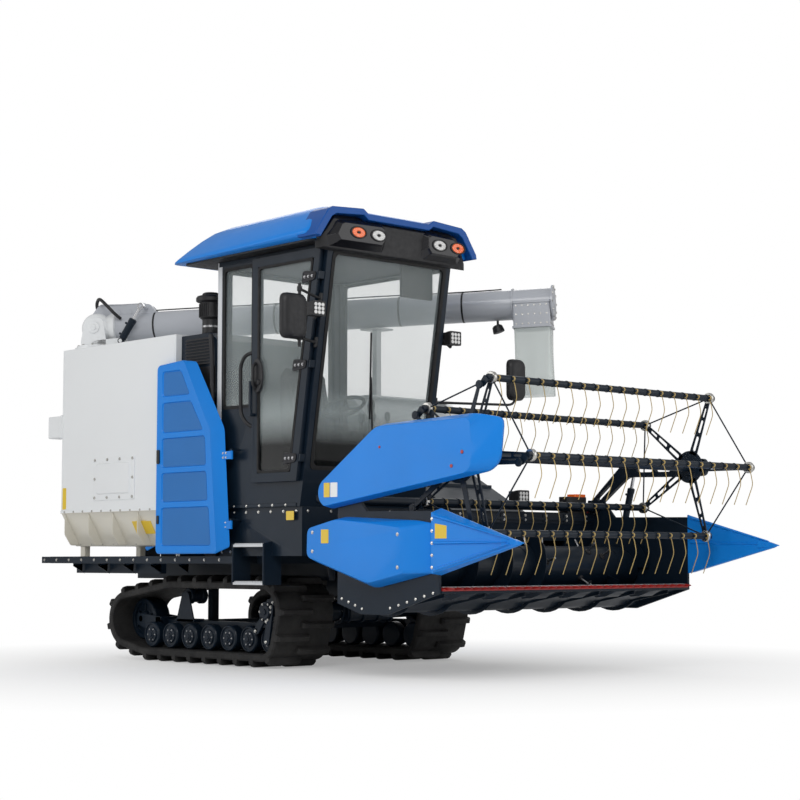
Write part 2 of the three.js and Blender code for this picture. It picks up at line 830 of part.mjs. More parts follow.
const stepXs = [50, 390];
const stepInnerY = -trackOuterY - 75;
const stepOuterY = stepInnerY - 150;
const stepHeights = [590, 847];
const stepPlate = 6;

function cabPlatform() {
  const shell = cut(
    box([cabRearX, floorFrontX], [cabRightY + 20, cabLeftY], [deckZ + seat, cabFloorZ]),
    box([cabRearX + 20, floorFrontX - 20], [cabRightY + 40, cabLeftY - 20], [deckZ - 5, cabFloorZ - 40]),
  );
  const sides = [stepXs[0], stepXs[1] - stepPlate].map((x) =>
    plateYZ(
      [
        [stepOuterY, stepHeights[0] - 14],
        [stepInnerY, stepHeights[0] - 14],
        [cabRightY + 100, deckZ],
        [cabRightY + 100, stepHeights[1] + 40],
        [stepOuterY, stepHeights[1] + 10],
      ],
      [x, x + stepPlate],
    ),
  );
  const treads = stepHeights.map((z) => box(stepXs, [stepOuterY, stepInnerY], [z - 12, z]));
  return join(shell, sides, treads, coverHingeLug(coverHingeHeights[0], cabRightY + 25));
}

function operatorSeat() {
  const [x, y] = [60, -530];
  return join(
    box([x, x + 380], [y - 190, y + 190], [cabFloorZ + 30 + seat, 1430]),
    box([x - 20, x + 440], [y - 250, y + 250], [1420, 1550]),
    plateXZ(
      [
        [x - 20, 1540],
        [x + 110, 1540],
        [x + 50, 2120],
        [x - 50, 2120],
      ],
      [y - 230, y + 230],
    ),
  );
}

function controlConsole() {
  const base = cabFloorZ + 30 + seat;
  return join(
    box([0, 560], [-230, cabLeftY - cabWall - 8], [base, 1640]),
    box([500, 640], [-900, cabLeftY - cabWall - 8], [base, 1560]),
    rod([560, -560, 1540], [520, -560, 1800], 16, 6),
    rod([300, -120, 1620], [320, -120, 1820], 12, 6),
  );
}

// A mirror arm's foot on the bare edge of a front pillar.
const mirrorFoot = (side, wallY, z) =>
  pillarBlock(z, 30, [26, 5], [wallY + side * seat, wallY + side * 14]);

function mirrorRight() {
  const armY = [cabRightY - 8, cabRightY - 250];
  const postX = 985;
  const feet = [2470, 2180].map((z) => mirrorFoot(-1, cabRightY, z));
  const topArm = rod([cabTop(2470) - 16, armY[0], 2470], [postX, armY[1], 2500], 9, 8);
  const lowArm = rod([cabTop(2180) - 16, armY[0], 2180], [postX, armY[1], 2180], 9, 8);
  const post = rod([postX, armY[1], 2130], [postX, armY[1], 2530], 11, 8);
  const head = hull([
    ...[-95, 95].flatMap((dy) => [-150, 150].map((dz) => [postX - 12, armY[1] - 60 + dy, 2320 + dz])),
    ...[-80, 80].flatMap((dy) => [-130, 130].map((dz) => [postX + 40, armY[1] - 60 + dy, 2320 + dz])),
  ]);
  return join(feet, topArm, lowArm, post, head);
}

function mirrorLeft() {
  const base = [cabTop(1850) - 16, cabLeftY + 8, 1850];
  const tip = [1050, 615, 1850];
  const head = hull([
    ...[-80, 80].flatMap((dy) => [-150, 150].map((dz) => [tip[0] - 12, tip[1] + dy, 2030 + dz])),
    ...[-65, 65].flatMap((dy) => [-130, 130].map((dz) => [tip[0] + 40, tip[1] + dy, 2030 + dz])),
  ]);
  const foot = mirrorFoot(1, cabLeftY, 1850);
  return join(foot, rod(base, tip, 9, 8), rod([tip[0], tip[1], 1840], [tip[0], tip[1], 2000], 11, 8), head);
}

// ---------------------------------------------------------------- thresher

const trunnionRadius = 30;
const trunnionClearance = 0.6;
const trunnionHole = holeRadius(trunnionRadius, trunnionClearance, pinSides);
const earThickness = 30;
const sideDoorHingeZ = 1860;
const sideDoorBarrel = 10;
const sideDoorAxisY = thresherOuterY + sideDoorBarrel + seat;
const sideDoorAxisZ = sideDoorHingeZ + 6;
const doorSwing = [-1900, -120];

function thresherBody() {
  const body = plateXZ(
    [
      [thresherRearX + 260, deckZ + seat],
      [thresherFrontX, deckZ + seat],
      [thresherFrontX, 1700],
      [thresherFrontX - 280, thresherTopZ],
      [thresherRearX + 140, thresherTopZ],
      [thresherRearX, 1500],
      [thresherRearX, 880],
    ],
    [thresherInnerY, thresherOuterY],
  );
  const cabSide = box([cabRearX - 15, thresherFrontX + 5], [thresherInnerY - 5, cabLeftY + 15], [deckZ - 5, 2000]);
  const headX = inletRange[0];
  const elevatorHead = box([headX[0], headX[1]], [tankInnerY + seat, 180], [thresherTopZ - 10, inletRange[1][1]]);
  const ears = [feederRightY - 45, feederLeftY + 15].map((y) =>
    plateXZ(
      [
        [thresherFrontX - 10, headerPivotZ - 110],
        [headerPivotX + 60, headerPivotZ - 60],
        [headerPivotX + 60, headerPivotZ + 60],
        [thresherFrontX - 10, headerPivotZ + 110],
      ],
      [y, y + earThickness],
      [circle(headerPivotX, headerPivotZ, trunnionHole, pinSides)],
    ),
  );
  return join(cut(body, cabSide), elevatorHead, ears, unloaderRest());
}

const restReach = 2200;
const restGap = 5;

// The post that the unloader tube lies over when it is stowed.
function unloaderRest() {
  const heading = radians(unloaderHeading);
  const x = unloaderX + restReach * Math.cos(heading);
  const y = unloaderY + restReach * Math.sin(heading);
  const tubeZ = unloaderPivotZ + restReach * Math.tan(radians(unloaderPitch)) - unloaderRadius;
  const top = tubeZ - restGap;
  return join(
    box([x - 25, x + 25], [y - 25, y + 25], [thresherTopZ - 60, top - 10]),
    box([x - 90, x + 90], [y - 90, y + 90], [top - 16, top - 4]),
  );
}

const hoodSheet = 14;
const hoodSide = 40; // how far the hood's sides stand in from the thresher's

// The hood over the straw outlet, open below.
function strawHood() {
  const [near, far] = [thresherRearX - seat, thresherRearX - 300];
  const outer = [
    [near, 900],
    [far + 60, 820],
    [far, 860],
    [far, 1380],
    [far + 90, 1560],
    [near, 1640],
  ];
  const inner = [
    [near - hoodSheet, 780],
    [far + hoodSheet, 780],
    [far + hoodSheet, 1375],
    [far + 90 + hoodSheet / 2, 1560 - hoodSheet],
    [near - hoodSheet, 1640 - hoodSheet * 2],
  ];
  const sides = [thresherInnerY + hoodSide, thresherOuterY - hoodSide];
  return cut(
    plateXZ([...outer].reverse(), sides),
    plateXZ([...inner].reverse(), [sides[0] + hoodSheet, sides[1] - hoodSheet]),
  );
}

function thresherSideDoor() {
  const near = thresherOuterY + 6;
  const panel = hull([
    ...[
      [doorSwing[0], 830],
      [doorSwing[1], 830],
      [doorSwing[1], sideDoorHingeZ],
      [doorSwing[0], sideDoorHingeZ],
    ].map(([x, z]) => [x, near, z]),
    ...[
      [doorSwing[0] + 40, 870],
      [doorSwing[1] - 40, 870],
      [doorSwing[1] - 40, sideDoorHingeZ - 30],
      [doorSwing[0] + 40, sideDoorHingeZ - 30],
    ].map(([x, z]) => [x, near + sideDoorThickness, z]),
  ]);
  const barrels = [-1700, -1000, -320].map((x) =>
    rod([x - 60, sideDoorAxisY, sideDoorAxisZ], [x + 60, sideDoorAxisY, sideDoorAxisZ], sideDoorBarrel),
  );
  return join(panel, barrels);
}

// ---------------------------------------------------------------- unloader, drawn along its own +X

const clevisHalf = unloaderRadius + 28;
const clevisPlate = 15;
const hingePin = 25;
const turretBaseZ = tankTopZ + 20 + seat - unloaderPivotZ;
const turretPlate = 14;
const unloaderRam = { radius: 28, pin: 14, barrel: 190, width: 34, rodRadius: 14, grip: 60, drift: 6 };
const ramBase = [240, -unloaderRadius - 3];
const ramBaseY = -clevisHalf - 45;
const ramLug = [400, unloaderRadius + 23];

function unloaderElbow() {
  const flange = rod([0, 0, turretBaseZ], [0, 0, turretBaseZ + turretPlate], unloaderFlange - 15, tubeSides);
  const ears = [-1, 1].map((side) =>
    plateXZ(
      [
        [-110, turretBaseZ + 2],
        [110, turretBaseZ + 2],
        [70, 70],
        [-70, 70],
      ],
      [side * clevisHalf, side * (clevisHalf - clevisPlate)],
    ),
  );
  const pin = axle(0, 0, [-clevisHalf + 2, clevisHalf - 2], hingePin, wheelSides);
  const arm = plateXZ(
    [
      [-40, turretBaseZ + 2],
      [80, turretBaseZ + 2],
      [ramBase[0] + 30, ramBase[1] - 30],
      [ramBase[0] + 30, ramBase[1] + 30],
      [ramBase[0] - 30, ramBase[1] + 30],
      [0, turretBaseZ + 50],
    ],
    [-clevisHalf, -clevisHalf + clevisPlate],
  );
  const ramPin = axle(ramBase[0], ramBase[1], [-clevisHalf - 70, -clevisHalf + 5], unloaderRam.pin);
  return join(flange, ears, pin, arm, ramPin);
}

function unloaderTube() {
  const bossHalf = clevisHalf - clevisPlate - 2;
  const boss = cut(
    axle(0, 0, [-bossHalf, bossHalf], unloaderRadius + 8, tubeSides),
    axle(0, 0, [-bossHalf - 5, bossHalf + 5], hingePin + 1),
  );
  const tube = cut(
    rod([40, 0, 0], [unloaderLength, 0, 0], unloaderRadius, tubeSides),
    axle(0, 0, [-bossHalf - 5, bossHalf + 5], hingePin + 1),
  );
  const cap = rod([unloaderLength - 6, 0, 0], [unloaderLength + 6, 0, 0], unloaderRadius + 22, tubeSides);
  const mast = plateXZ(
    [
      [-60, unloaderRadius - 20],
      [ramLug[0] + 90, unloaderRadius - 20],
      [ramLug[0] + 30, ramLug[1] + 35],
      [20, ramLug[1] + 55],
    ],
    [-50, -35],
  );
  const lugPin = axle(ramLug[0], ramLug[1], [ramBaseY - 20, -40], unloaderRam.pin);
  return join(boss, tube, cap, mast, lugPin);
}

const spoutHalf = 125;
const spoutX = [unloaderLength - 290, unloaderLength - 15];
const spoutBottom = -190;

function dischargeSpout() {
  const inner = spoutHalf - 8;
  return cut(
    box(spoutX, [-spoutHalf, spoutHalf], [spoutBottom, 10]),
    rod([spoutX[0] - 10, 0, 0], [spoutX[1] + 10, 0, 0], unloaderRadius + seat, tubeSides),
    box([spoutX[0] + 8, spoutX[1] - 8], [-inner, inner], [spoutBottom - 5, -20]),
  );
}

function dischargeSleeve() {
  const outside = [spoutX[0] + 4, spoutX[1] - 4];
  const range = [spoutBottom - seat - sleeveLength, spoutBottom - seat];
  return cut(
    box(outside, [-spoutHalf + 4, spoutHalf - 4], range),
    box([outside[0] + 5, outside[1] - 5], [-spoutHalf + 9, spoutHalf - 9], [range[0] - 5, range[1] + 5]),
  );
}

// A hydraulic cylinder between two pins that lie in one plane of constant Y.
const ramAngle = (from, to) => Math.atan2(to[1] - from[1], to[0] - from[0]);
const ramPoint = (from, to, reach) => {
  const turn = ramAngle(from, to);
  return [from[0] + reach * Math.cos(turn), from[1] + reach * Math.sin(turn)];
};

const ramFit = 0.6; // running clearance of a cylinder's pin and of its rod
const eyeWall = 9;
const eyeShare = 1.7; // outer radius of a barrel's eye over its pin

function ramBarrel(from, to, y, { radius, pin, barrel, width, rodRadius }) {
  const start = ramPoint(from, to, (pin * (eyeShare + 1)) / 2);
  const end = ramPoint(from, to, barrel);
  const eye = cut(
    axle(from[0], from[1], [y - width / 2, y + width / 2], pin * eyeShare),
    axle(from[0], from[1], [y - width, y + width], pin + ramFit),
  );
  const tube = rod([start[0], y, start[1]], [end[0], y, end[1]], radius, wheelSides);
  const pinHole = axle(from[0], from[1], [y - width, y + width], pin + ramFit);
  const mouth = ramPoint(from, to, barrel + 5);
  const deep = ramPoint(from, to, pin * eyeShare + 25);
  const bore = rod([deep[0], y, deep[1]], [mouth[0], y, mouth[1]], rodRadius + ramFit);
  return cut(join(eye, tube), pinHole, bore);
}

function ramRod(from, to, y, { pin, width, rodRadius, grip, drift }) {
  const reach = Math.hypot(to[0] - from[0], to[1] - from[1]);
  const start = ramPoint(from, to, grip);
  const end = ramPoint(from, to, reach - pin - drift);
  const hole = axle(to[0], to[1], [y - width, y + width], pin + drift);
  return cut(
    join(
      rod([start[0], y, start[1]], [end[0], y, end[1]], rodRadius),
      axle(to[0], to[1], [y - width / 2, y + width / 2], pin + drift + eyeWall),
    ),
    hole,
  );
}

// ---------------------------------------------------------------- header

const headerRam = { radius: 36, pin: 20, barrel: 405, width: 60, rodRadius: 20, grip: 208, drift: 6 };
const troughRadius = flightRadius + troughClearance;
const backX = augerX - troughRadius;
const feederMouthX = backX - 47;
const feederSheet = 12;
const feederHeel = [headerPivotX - 20, headerPivotZ - 330];
const feederLipZ = 500;

// The height of the feeder house's underside.
const feederFloorZ = (x) =>
  feederHeel[1] + ((feederLipZ - feederHeel[1]) * (x - feederHeel[0])) / (feederMouthX - feederHeel[0]);
const liftLugX = 820;
const liftLugZ = feederFloorZ(liftLugX) - 50;

function feederHouse() {
  const outline = [
    [headerPivotX, headerPivotZ + 130],
    [headerPivotX - 130, headerPivotZ],
    feederHeel,
    [feederMouthX, feederLipZ],
    [feederMouthX, 900],
  ];
  const inside = [
    [headerPivotX, headerPivotZ + 110],
    [headerPivotX - 105, headerPivotZ],
    [headerPivotX - 5, headerPivotZ - 300],
    [feederMouthX + 10, feederLipZ + feederSheet],
    [feederMouthX + 10, 880],
  ];
  const duct = cut(
    plateXZ(outline, [feederRightY, feederLeftY]),
    plateXZ(inside, [feederRightY + feederSheet, feederLeftY - feederSheet]),
  );
  const trunnions = [
    [feederRightY - 45, feederRightY + feederSheet - 1],
    [feederLeftY - feederSheet + 1, feederLeftY + 45],
  ].map((range) => axle(headerPivotX, headerPivotZ, range, trunnionRadius));
  const lugTop = 760;
  const ears = [-1, 1].map((end) => {
    const near = liftPinY + end * liftEarGap;
    return plateXZ(
      [
        [liftLugX - 30, liftLugZ - 30],
        [liftLugX + 30, liftLugZ - 30],
        [liftLugX + 60, lugTop - 70],
        [liftLugX - 60, lugTop - 10],
      ],
      [near, near + end * liftEar],
    );
  });
  const pin = axle(liftLugX, liftLugZ, [liftPinY - liftEarGap - 5, liftPinY + liftEarGap + 5], headerRam.pin, pinSides);
  return join(duct, trunnions, ears, pin);
}

const headerBackTop = 1080;
const mouthHole = 20;

function headerFrame() {
  const half = headerHalfWidth - sidePlate;
  const inside = circle(augerX, augerZ, troughRadius, 11, 180, 125);
  const outside = circle(augerX, augerZ, troughRadius + troughSheet, 11, 180, 125).reverse();
  const pan = [
    [backX, headerBackTop - 40],
    ...inside,
    [knifeX - 80, knifeZ],
    [knifeX, knifeZ],
    [knifeX, knifeZ - 14],
    [knifeX - 80, knifeZ - 14],
    ...outside,
    [backX - troughSheet, headerBackTop - 40],
  ];
  const mouth = box(
    [feederMouthX - 5, augerX - 180],
    [feederRightY + mouthHole, feederLeftY - mouthHole],
    [520, 880],
  );
  const flange = box([feederMouthX + seat, backX], [feederRightY - 30, feederLeftY + 30], [470, 940]);
  const floor = cut(join(plateXZ(pan, [-half, half]), flange), mouth);
  const clearance = axle(augerX, augerZ, [-half, half], troughRadius, tubeSides);
  const backBeam = box([backX - 75, backX + 5], [-half, half], [headerBackTop - 80, headerBackTop]);
  const sides = [-1, 1].map(sideWall);
  const ramPin = axle(reelRamBase[0], reelRamBase[1], [headerHalfWidth - 1, reelRamY + 18], reelRam.pin, pinSides);
  return join(cut(join(floor, backBeam), clearance), sides, ramPin);
}

const plateFrontX = knifeX - 5;

function sideWall(side) {
  const range = span(side, headerHalfWidth - sidePlate, headerHalfWidth);
  return plateXZ(
    [
      [backX - 75, 470],
      [augerX - 120, augerZ - troughRadius - 17],
      [augerX + 120, augerZ - troughRadius - 17],
      [plateFrontX, knifeZ - 14],
      [plateFrontX, 1040],
      [1480, 1050],
      [reelPivotX + 70, reelPivotZ + 55],
      [reelPivotX - 70, reelPivotZ + 55],
      [backX - 75, 1040],
    ],
    range,
    [
      circle(reelPivotX, reelPivotZ, trunnionHole, pinSides),
      circle(augerX, augerZ, trunnionHole, pinSides),
    ],
  );
}

const knifePitch = 76.2;

// The fixed cutter bar with its row of pointed guards.
function cutterBar() {
  const half = headerHalfWidth - sidePlate - 5;
  const count = Math.floor((2 * half) / knifePitch);
  const start = -(count * knifePitch) / 2;
  const teeth = Array.from({ length: count }, (_, i) => {
    const y = start + i * knifePitch;
    return [
      [knifeX, y + 14],
      [knifeX + 62, y + knifePitch / 2 - 5],
      [knifeX + 62, y + knifePitch / 2 + 5],
      [knifeX, y + knifePitch - 14],
    ];
  }).flat();
  return plateXY([[knifeX - 60, -half], [knifeX, -half], ...teeth, [knifeX, half], [knifeX - 60, half]], [
    knifeZ + seat,
    knifeZ + 30,
  ]);
}

function divider(side) {
  const rear = plateFrontX + seat;
  const inner = headerHalfWidth - sidePlate;
  const outer = headerHalfWidth + 70;
  const middle = (inner + outer) / 2 + 5;
  const at = (x, y, z) => [x, side * y, z];
  return hull([
    at(rear, inner, 650),
    at(rear, outer, 660),
    at(rear, outer, 1030),
    at(rear, inner, 1060),
    at(dividerTipX - 40, middle - 12, dividerTipZ + 12),
    at(dividerTipX - 40, middle + 12, dividerTipZ + 12),
    at(dividerTipX - 40, middle - 12, dividerTipZ - 14),
    at(dividerTipX - 40, middle + 12, dividerTipZ - 14),
    at(dividerTipX, middle, dividerTipZ),
  ]);
}

const coverOuterY = headerHalfWidth + 90;

function headerSideCover() {
  const inner = -headerHalfWidth - seat;
  return loftXZ(
    [
      [985, 960],
      [975, 745],
      [1585, 570],
      [2125, 672],
      [2125, 960],
      [1960, 985],
      [1300, 1018],
    ],
    inner,
    [
      [1010, 945],
      [1005, 765],
      [1585, 600],
      [1915, 665],
      [1885, 940],
      [1280, 1000],
    ],
    -coverOuterY,
  );
}

const flightSteps = 12; // steps in one turn of the flight
const flightThickness = 8;
const flightPitch = 320;

// One helical flight from one Y to another, as a closed ribbon.
function flight(from, to) {
  const steps = Math.round((Math.abs(to - from) / flightPitch) * flightSteps);
  const positions = [];
  for (let i = 0; i <= steps; i++) {
    const y = from + ((to - from) * i) / steps;
    const turn = (2 * Math.PI * i) / flightSteps;
    for (const radius of [drumRadius - 12, flightRadius]) {
      for (const dy of [-flightThickness / 2, flightThickness / 2]) {
        positions.push(augerX + radius * Math.cos(turn), y + dy, augerZ + radius * Math.sin(turn));
      }
    }
  }
  const quads = [];
  for (let near = 0; near < 4 * steps; near += 4) {
    const far = near + 4;
    quads.push(
      [near, near + 1, far + 1, far],
      [near + 1, near + 3, far + 3, far + 1],
      [near + 3, near + 2, far + 2, far + 3],
      [near, far, far + 2, near + 2],
    );
  }
  quads.push([2, 3, 1, 0], [4 * steps, 4 * steps + 1, 4 * steps + 3, 4 * steps + 2]);
  const triangles = quads.flatMap(([a, b, c, d]) => [c, b, a, d, c, a]);
  const geometry = new THREE.BufferGeometry()
    .setAttribute("position", new THREE.Float32BufferAttribute(positions, 3))
    .setIndex(triangles);
  return solid(geometry);
}

function headerAuger() {
  const half = headerHalfWidth - sidePlate - 8;
  const drum = axle(augerX, augerZ, [-half, half], drumRadius);
  const shaft = axle(augerX, augerZ, [-headerHalfWidth + 2, headerHalfWidth - 2], trunnionRadius, pinSides);
  const flights = [flight(-half + 10, feederRightY + 30), flight(half - 10, feederLeftY - 30)];
  const fingers = Array.from({ length: 12 }, (_, i) => {
    const y = feederRightY + 80 + (i % 6) * 118;
    const turn = radians(17 + i * 75);
    const tip = flightRadius - 15;
    return rod(
      [augerX, y, augerZ],
      [augerX + tip * Math.cos(turn), y, augerZ + tip * Math.sin(turn)],
      8,
      4,
    );
  });
  return join(drum, shaft, flights, fingers);
}

// ---------------------------------------------------------------- reel

const armInner = headerHalfWidth - 65;
const armThickness = 35;
const armKnee = [1620, 1380];
const eccentricTurn = radians(225);
const eccentricX = reelX + eccentricOffset * Math.cos(eccentricTurn);
const eccentricZ = reelZ + eccentricOffset * Math.sin(eccentricTurn);
const carrierDisc = 98;
const reelRamBase = [1480, 800];
const reelRamLug = [armKnee[0] + 20, armKnee[1] + 15];
const reelRamY = headerHalfWidth + 25;
const reelRam = { radius: 24, pin: 12, barrel: 470, width: 30, rodRadius: 12, grip: 200, drift: 4 };

function reelArm(side) {
  const outline = [
    [reelPivotX - 55, reelPivotZ],
    [reelPivotX, reelPivotZ - 50],
    [reelPivotX + 60, reelPivotZ],
    [armKnee[0] + 20, armKnee[1] - 50],
    [reelX - 60, reelZ - 62],
    [reelX + 60, reelZ - 57],
    [reelX + 80, reelZ],
    [reelX + 60, reelZ + 60],
    [reelX - 60, reelZ + 60],
    [armKnee[0] - 20, armKnee[1] + 50],
  ];
  return plateXZ(outline, span(side, armInner, armInner + armThickness), [
    circle(reelX, reelZ, trunnionHole, pinSides),
  ]);
}

function reelArms() {
  const tube = axle(reelPivotX, reelPivotZ, [-headerHalfWidth + 2, headerHalfWidth - 2], trunnionRadius, pinSides);
  const carrier = cut(
    axle(eccentricX, eccentricZ, [-armInner - 1, -armInner + 36], carrierDisc, tubeSides),
    axle(reelX, reelZ, [-armInner - 5, -armInner + 40], trunnionHole, pinSides),
  );
  const spacers = [
    [armKnee[0] + (reelX - armKnee[0]) / 8, armKnee[1] + (reelZ - armKnee[1]) / 8],
    [reelX + 70, reelZ],
  ].map(([x, z]) => axle(x, z, [-armInner - armThickness + 1, -coverInnerY + seat], 18, pinSides));
  const lugPin = axle(reelRamLug[0], reelRamLug[1], [armInner + armThickness - 1, reelRamY + 18], reelRam.pin, pinSides);
  return join([-1, 1].map(reelArm), tube, carrier, spacers, lugPin);
}

const coverInnerY = headerHalfWidth + 6;

// Places given from the reel's axis.
const fromReel = (...places) => places.map(([x, z]) => [reelX + x, reelZ + z]);

function reelDriveCover() {
  const rear = circle(1205, 1170, 105, 7, 130, 120);
  return loftXZ(
    [
      ...rear,
      ...fromReel([325, -112], [400, -57], [430, 196], [200, 235]),
      [1650, 1588],
    ],
    -coverInnerY,
    [
      ...circle(1208, 1172, 92, 7, 130, 120),
      ...fromReel([180, -122], [240, -27], [220, 203]),
      [1660, 1570],
    ],
    -coverOuterY,
  );
}

const batTurn = (i) => radians(batPhase + (360 / batCount) * i);
const batPlace = (i, x = reelX, z = reelZ) => [
  x + reelRadius * Math.cos(batTurn(i)),
  z + reelRadius * Math.sin(batTurn(i)),
];
const spiderPlate = 10;
const bearingRadius = 38;
const batClearance = 2.5;

// A five-armed spider: hub, arms, tie rods between the arm ends, and a ring round each bat.
function spider(y, x, z, { bore, hub, ring, pinRadius }) {
  const range = [y - spiderPlate / 2, y + spiderPlate / 2];
  const places = Array.from({ length: batCount }, (_, i) => batPlace(i, x, z));
  const arms = places.map(([px, pz]) => {
    const [dx, dz] = [(px - x) / reelRadius, (pz - z) / reelRadius];
    const outline = [
      [x - dz * 30 + dx * hub * 0.8, z + dx * 30 + dz * hub * 0.8],
      [x + dz * 30 + dx * hub * 0.8, z - dx * 30 + dz * hub * 0.8],
      [px + dz * 16, pz - dx * 16],
      [px - dz * 16, pz + dx * 16],
    ];
    return plateXZ(outline, range);
  });
  const ties = places.map(([px, pz], i) => {
    const [nx, nz] = places[(i + 1) % batCount];
    return rod([px, y, pz], [nx, y, nz], 5, 4);
  });
  const rings = places.map(([px, pz]) => axle(px, pz, range, ring, 8));
  const holes = places.map(([px, pz]) => axle(px, pz, [y - 20, y + 20], pinRadius, 8));
  const plate = cut(join(axle(x, z, range, hub, tubeSides), arms, ties, rings), holes);
  if (!bore) return plate;
  return cut(plate, plateXZ(circle(x, z, bore, tubeSides, 180 / tubeSides), [y - 20, y + 20]));
}

function reelRotor() {
  const ends = armInner + armThickness - 1;
  const shaft = axle(reelX, reelZ, [-ends, ends], trunnionRadius, pinSides);
  const spiders = [-spiderY, spiderY].map((y) =>
    spider(y, reelX, reelZ, { hub: 110, ring: bearingRadius, pinRadius: batRadius + batClearance }),
  );
  return join(shaft, spiders);
}

const eccentricY = -armInner + 22;
const crankPinRadius = 10;

const reelEccentric = () =>
  spider(eccentricY, eccentricX, eccentricZ, {
    bore: holeRadius(carrierDisc, trunnionClearance, tubeSides),
    hub: carrierDisc + 32,
    ring: 26,
    pinRadius: crankPinRadius + 1,
  });

// A bat: its tube, its row of hanging tines and the crank that keeps the tines upright.
function reelBat(i) {
  const [x, z] = batPlace(i);
  const [crankX, crankZ] = batPlace(i, eccentricX, eccentricZ);
  const tube = axle(x, z, [-batHalfLength, batHalfLength], batRadius, 8);
  const crank = plateXZ(
    [
      [x + 18, z - 18],
      [x - 18, z + 18],
      [crankX - 14, crankZ + 14],
      [crankX - 14, crankZ - 14],
      [crankX + 14, crankZ - 14],
    ],
    [-batHalfLength - 10, -batHalfLength + 1],
  );
  const crankPin = axle(crankX, crankZ, [eccentricY - 10, -batHalfLength - 9], crankPinRadius, 8);
  const pitch = (2 * batHalfLength - 130) / (tineCount - 1);
  const tines = Array.from({ length: tineCount }, (_, k) => {
    const y = -batHalfLength + 75 + k * pitch;
    return rod([x, y, z], [x - 12, y, z - tineLength], 4, 3);
  });
  return join(tube, crank, crankPin, tines);
}

// ---------------------------------------------------------------- assembly

const machine = new THREE.Group();

for (const [name, side] of [
  ["right", -1],
  ["left", 1],
]) {
  machine.add(mesh(`track_${name}`, track(side), paint.rubber()));
  machine.add(mesh(`track_frame_${name}`, trackFrame(side), paint.dark()));
  machine.add(mesh(`divider_${name}`, divider(side), paint.blue()));
}
machine.add(
  mesh("drive_axle", driveAxle(), paint.dark()),
  mesh("main_frame", mainFrame(), paint.dark()),
  mesh("grain_tank", grainTank(), paint.white()),
  mesh("engine_bay", engineBay(), paint.dark()),
  mesh("engine_block", engineBlock(), paint.dark()),
  mesh("air_precleaner", airPrecleaner(), paint.vinyl()),
  mesh("engine_side_cover", engineSideCover(), paint.blue()),
  mesh("cab_platform", cabPlatform(), paint.dark()),
  mesh("cab_frame", cabFrame(), paint.dark()),
  mesh("cab_roof", cabRoof(), paint.blue()),
  mesh("lamp_fascia", lampFascia(), paint.vinyl()),
  mesh("windshield", windshield(), paint.glass()),
  mesh("side_window_right", sideWindowRight(), paint.glass()),
  mesh("side_window_left", sideWindowLeft(), paint.glass()),
  mesh("rear_window", rearPane(), paint.glass()),
  mesh("cab_door", cabDoor(), paint.dark()),
  mesh("door_glass", doorGlass(), paint.glass()),
  mesh("operator_seat", operatorSeat(), paint.vinyl()),
  mesh("control_console", controlConsole(), paint.vinyl()),
  mesh("mirror_right", mirrorRight(), paint.vinyl()),
  mesh("mirror_left", mirrorLeft(), paint.vinyl()),
  mesh("thresher_body", thresherBody(), paint.white()),
  mesh("straw_hood", strawHood(), paint.blue()),
  mesh("thresher_side_door", thresherSideDoor(), paint.blue()),
  mesh("feeder_house", feederHouse(), paint.dark()),
  mesh("header_frame", headerFrame(), paint.dark()),
  mesh("cutter_bar", cutterBar(), paint.steel()),
  mesh("header_side_cover", headerSideCover(), paint.blue()),
  mesh("header_auger", headerAuger(), paint.dark()),
  mesh("reel_arms", reelArms(), paint.dark()),
  mesh("reel_drive_cover", reelDriveCover(), paint.blue()),
  mesh("reel_rotor", reelRotor(), paint.dark()),
  mesh("reel_eccentric", reelEccentric(), paint.dark()),
);
for (let i = 0; i < batCount; i++) {
  machine.add(mesh(`reel_bat_${i + 1}`, reelBat(i), paint.dark()));
}

const liftFrom = [liftPinX, liftPinZ];
const liftTo = [liftLugX, liftLugZ];
machine.add(
  mesh("header_ram_barrel", ramBarrel(liftFrom, liftTo, liftPinY, headerRam), paint.dark()),
  mesh("header_ram_rod", ramRod(liftFrom, liftTo, liftPinY, headerRam), paint.steel()),
  mesh("reel_ram_barrel", ramBarrel(reelRamBase, reelRamLug, reelRamY, reelRam), paint.dark()),
  mesh("reel_ram_rod", ramRod(reelRamBase, reelRamLug, reelRamY, reelRam), paint.steel()),
);

// The unloader is drawn along +X about its lift hinge, then pitched and turned to its stowed heading.
const turret = new THREE.Group();
turret.position.set(unloaderX, unloaderY, unloaderPivotZ);
turret.rotation.z = radians(unloaderHeading);
const boom = new THREE.Group();
boom.rotation.y = -radians(unloaderPitch);
const pitch = radians(unloaderPitch);
const ramLugTurned = [
  ramLug[0] * Math.cos(pitch) - ramLug[1] * Math.sin(pitch),
  ramLug[0] * Math.sin(pitch) + ramLug[1] * Math.cos(pitch),
];
boom.add(
  mesh("unloader_tube", unloaderTube(), paint.grey()),
  mesh("discharge_spout", dischargeSpout(), paint.grey()),
  mesh("discharge_sleeve", dischargeSleeve(), paint.clear()),
);
turret.add(
  mesh("unloader_elbow", unloaderElbow(), paint.white()),
  mesh("unloader_ram_barrel", ramBarrel(ramBase, ramLugTurned, ramBaseY, unloaderRam), paint.dark()),
  mesh("unloader_ram_rod", ramRod(ramBase, ramLugTurned, ramBaseY, unloaderRam), paint.steel()),
  boom,
);
machine.add(turret);

// The group's origin is on the ground, under the middle of the machine's box.
machine.updateMatrixWorld(true);
const extent = new THREE.Box3().setFromObject(machine, true);
const middle = extent.getCenter(new THREE.Vector3());
machine.position.set(-middle.x, -middle.y, -extent.min.z);

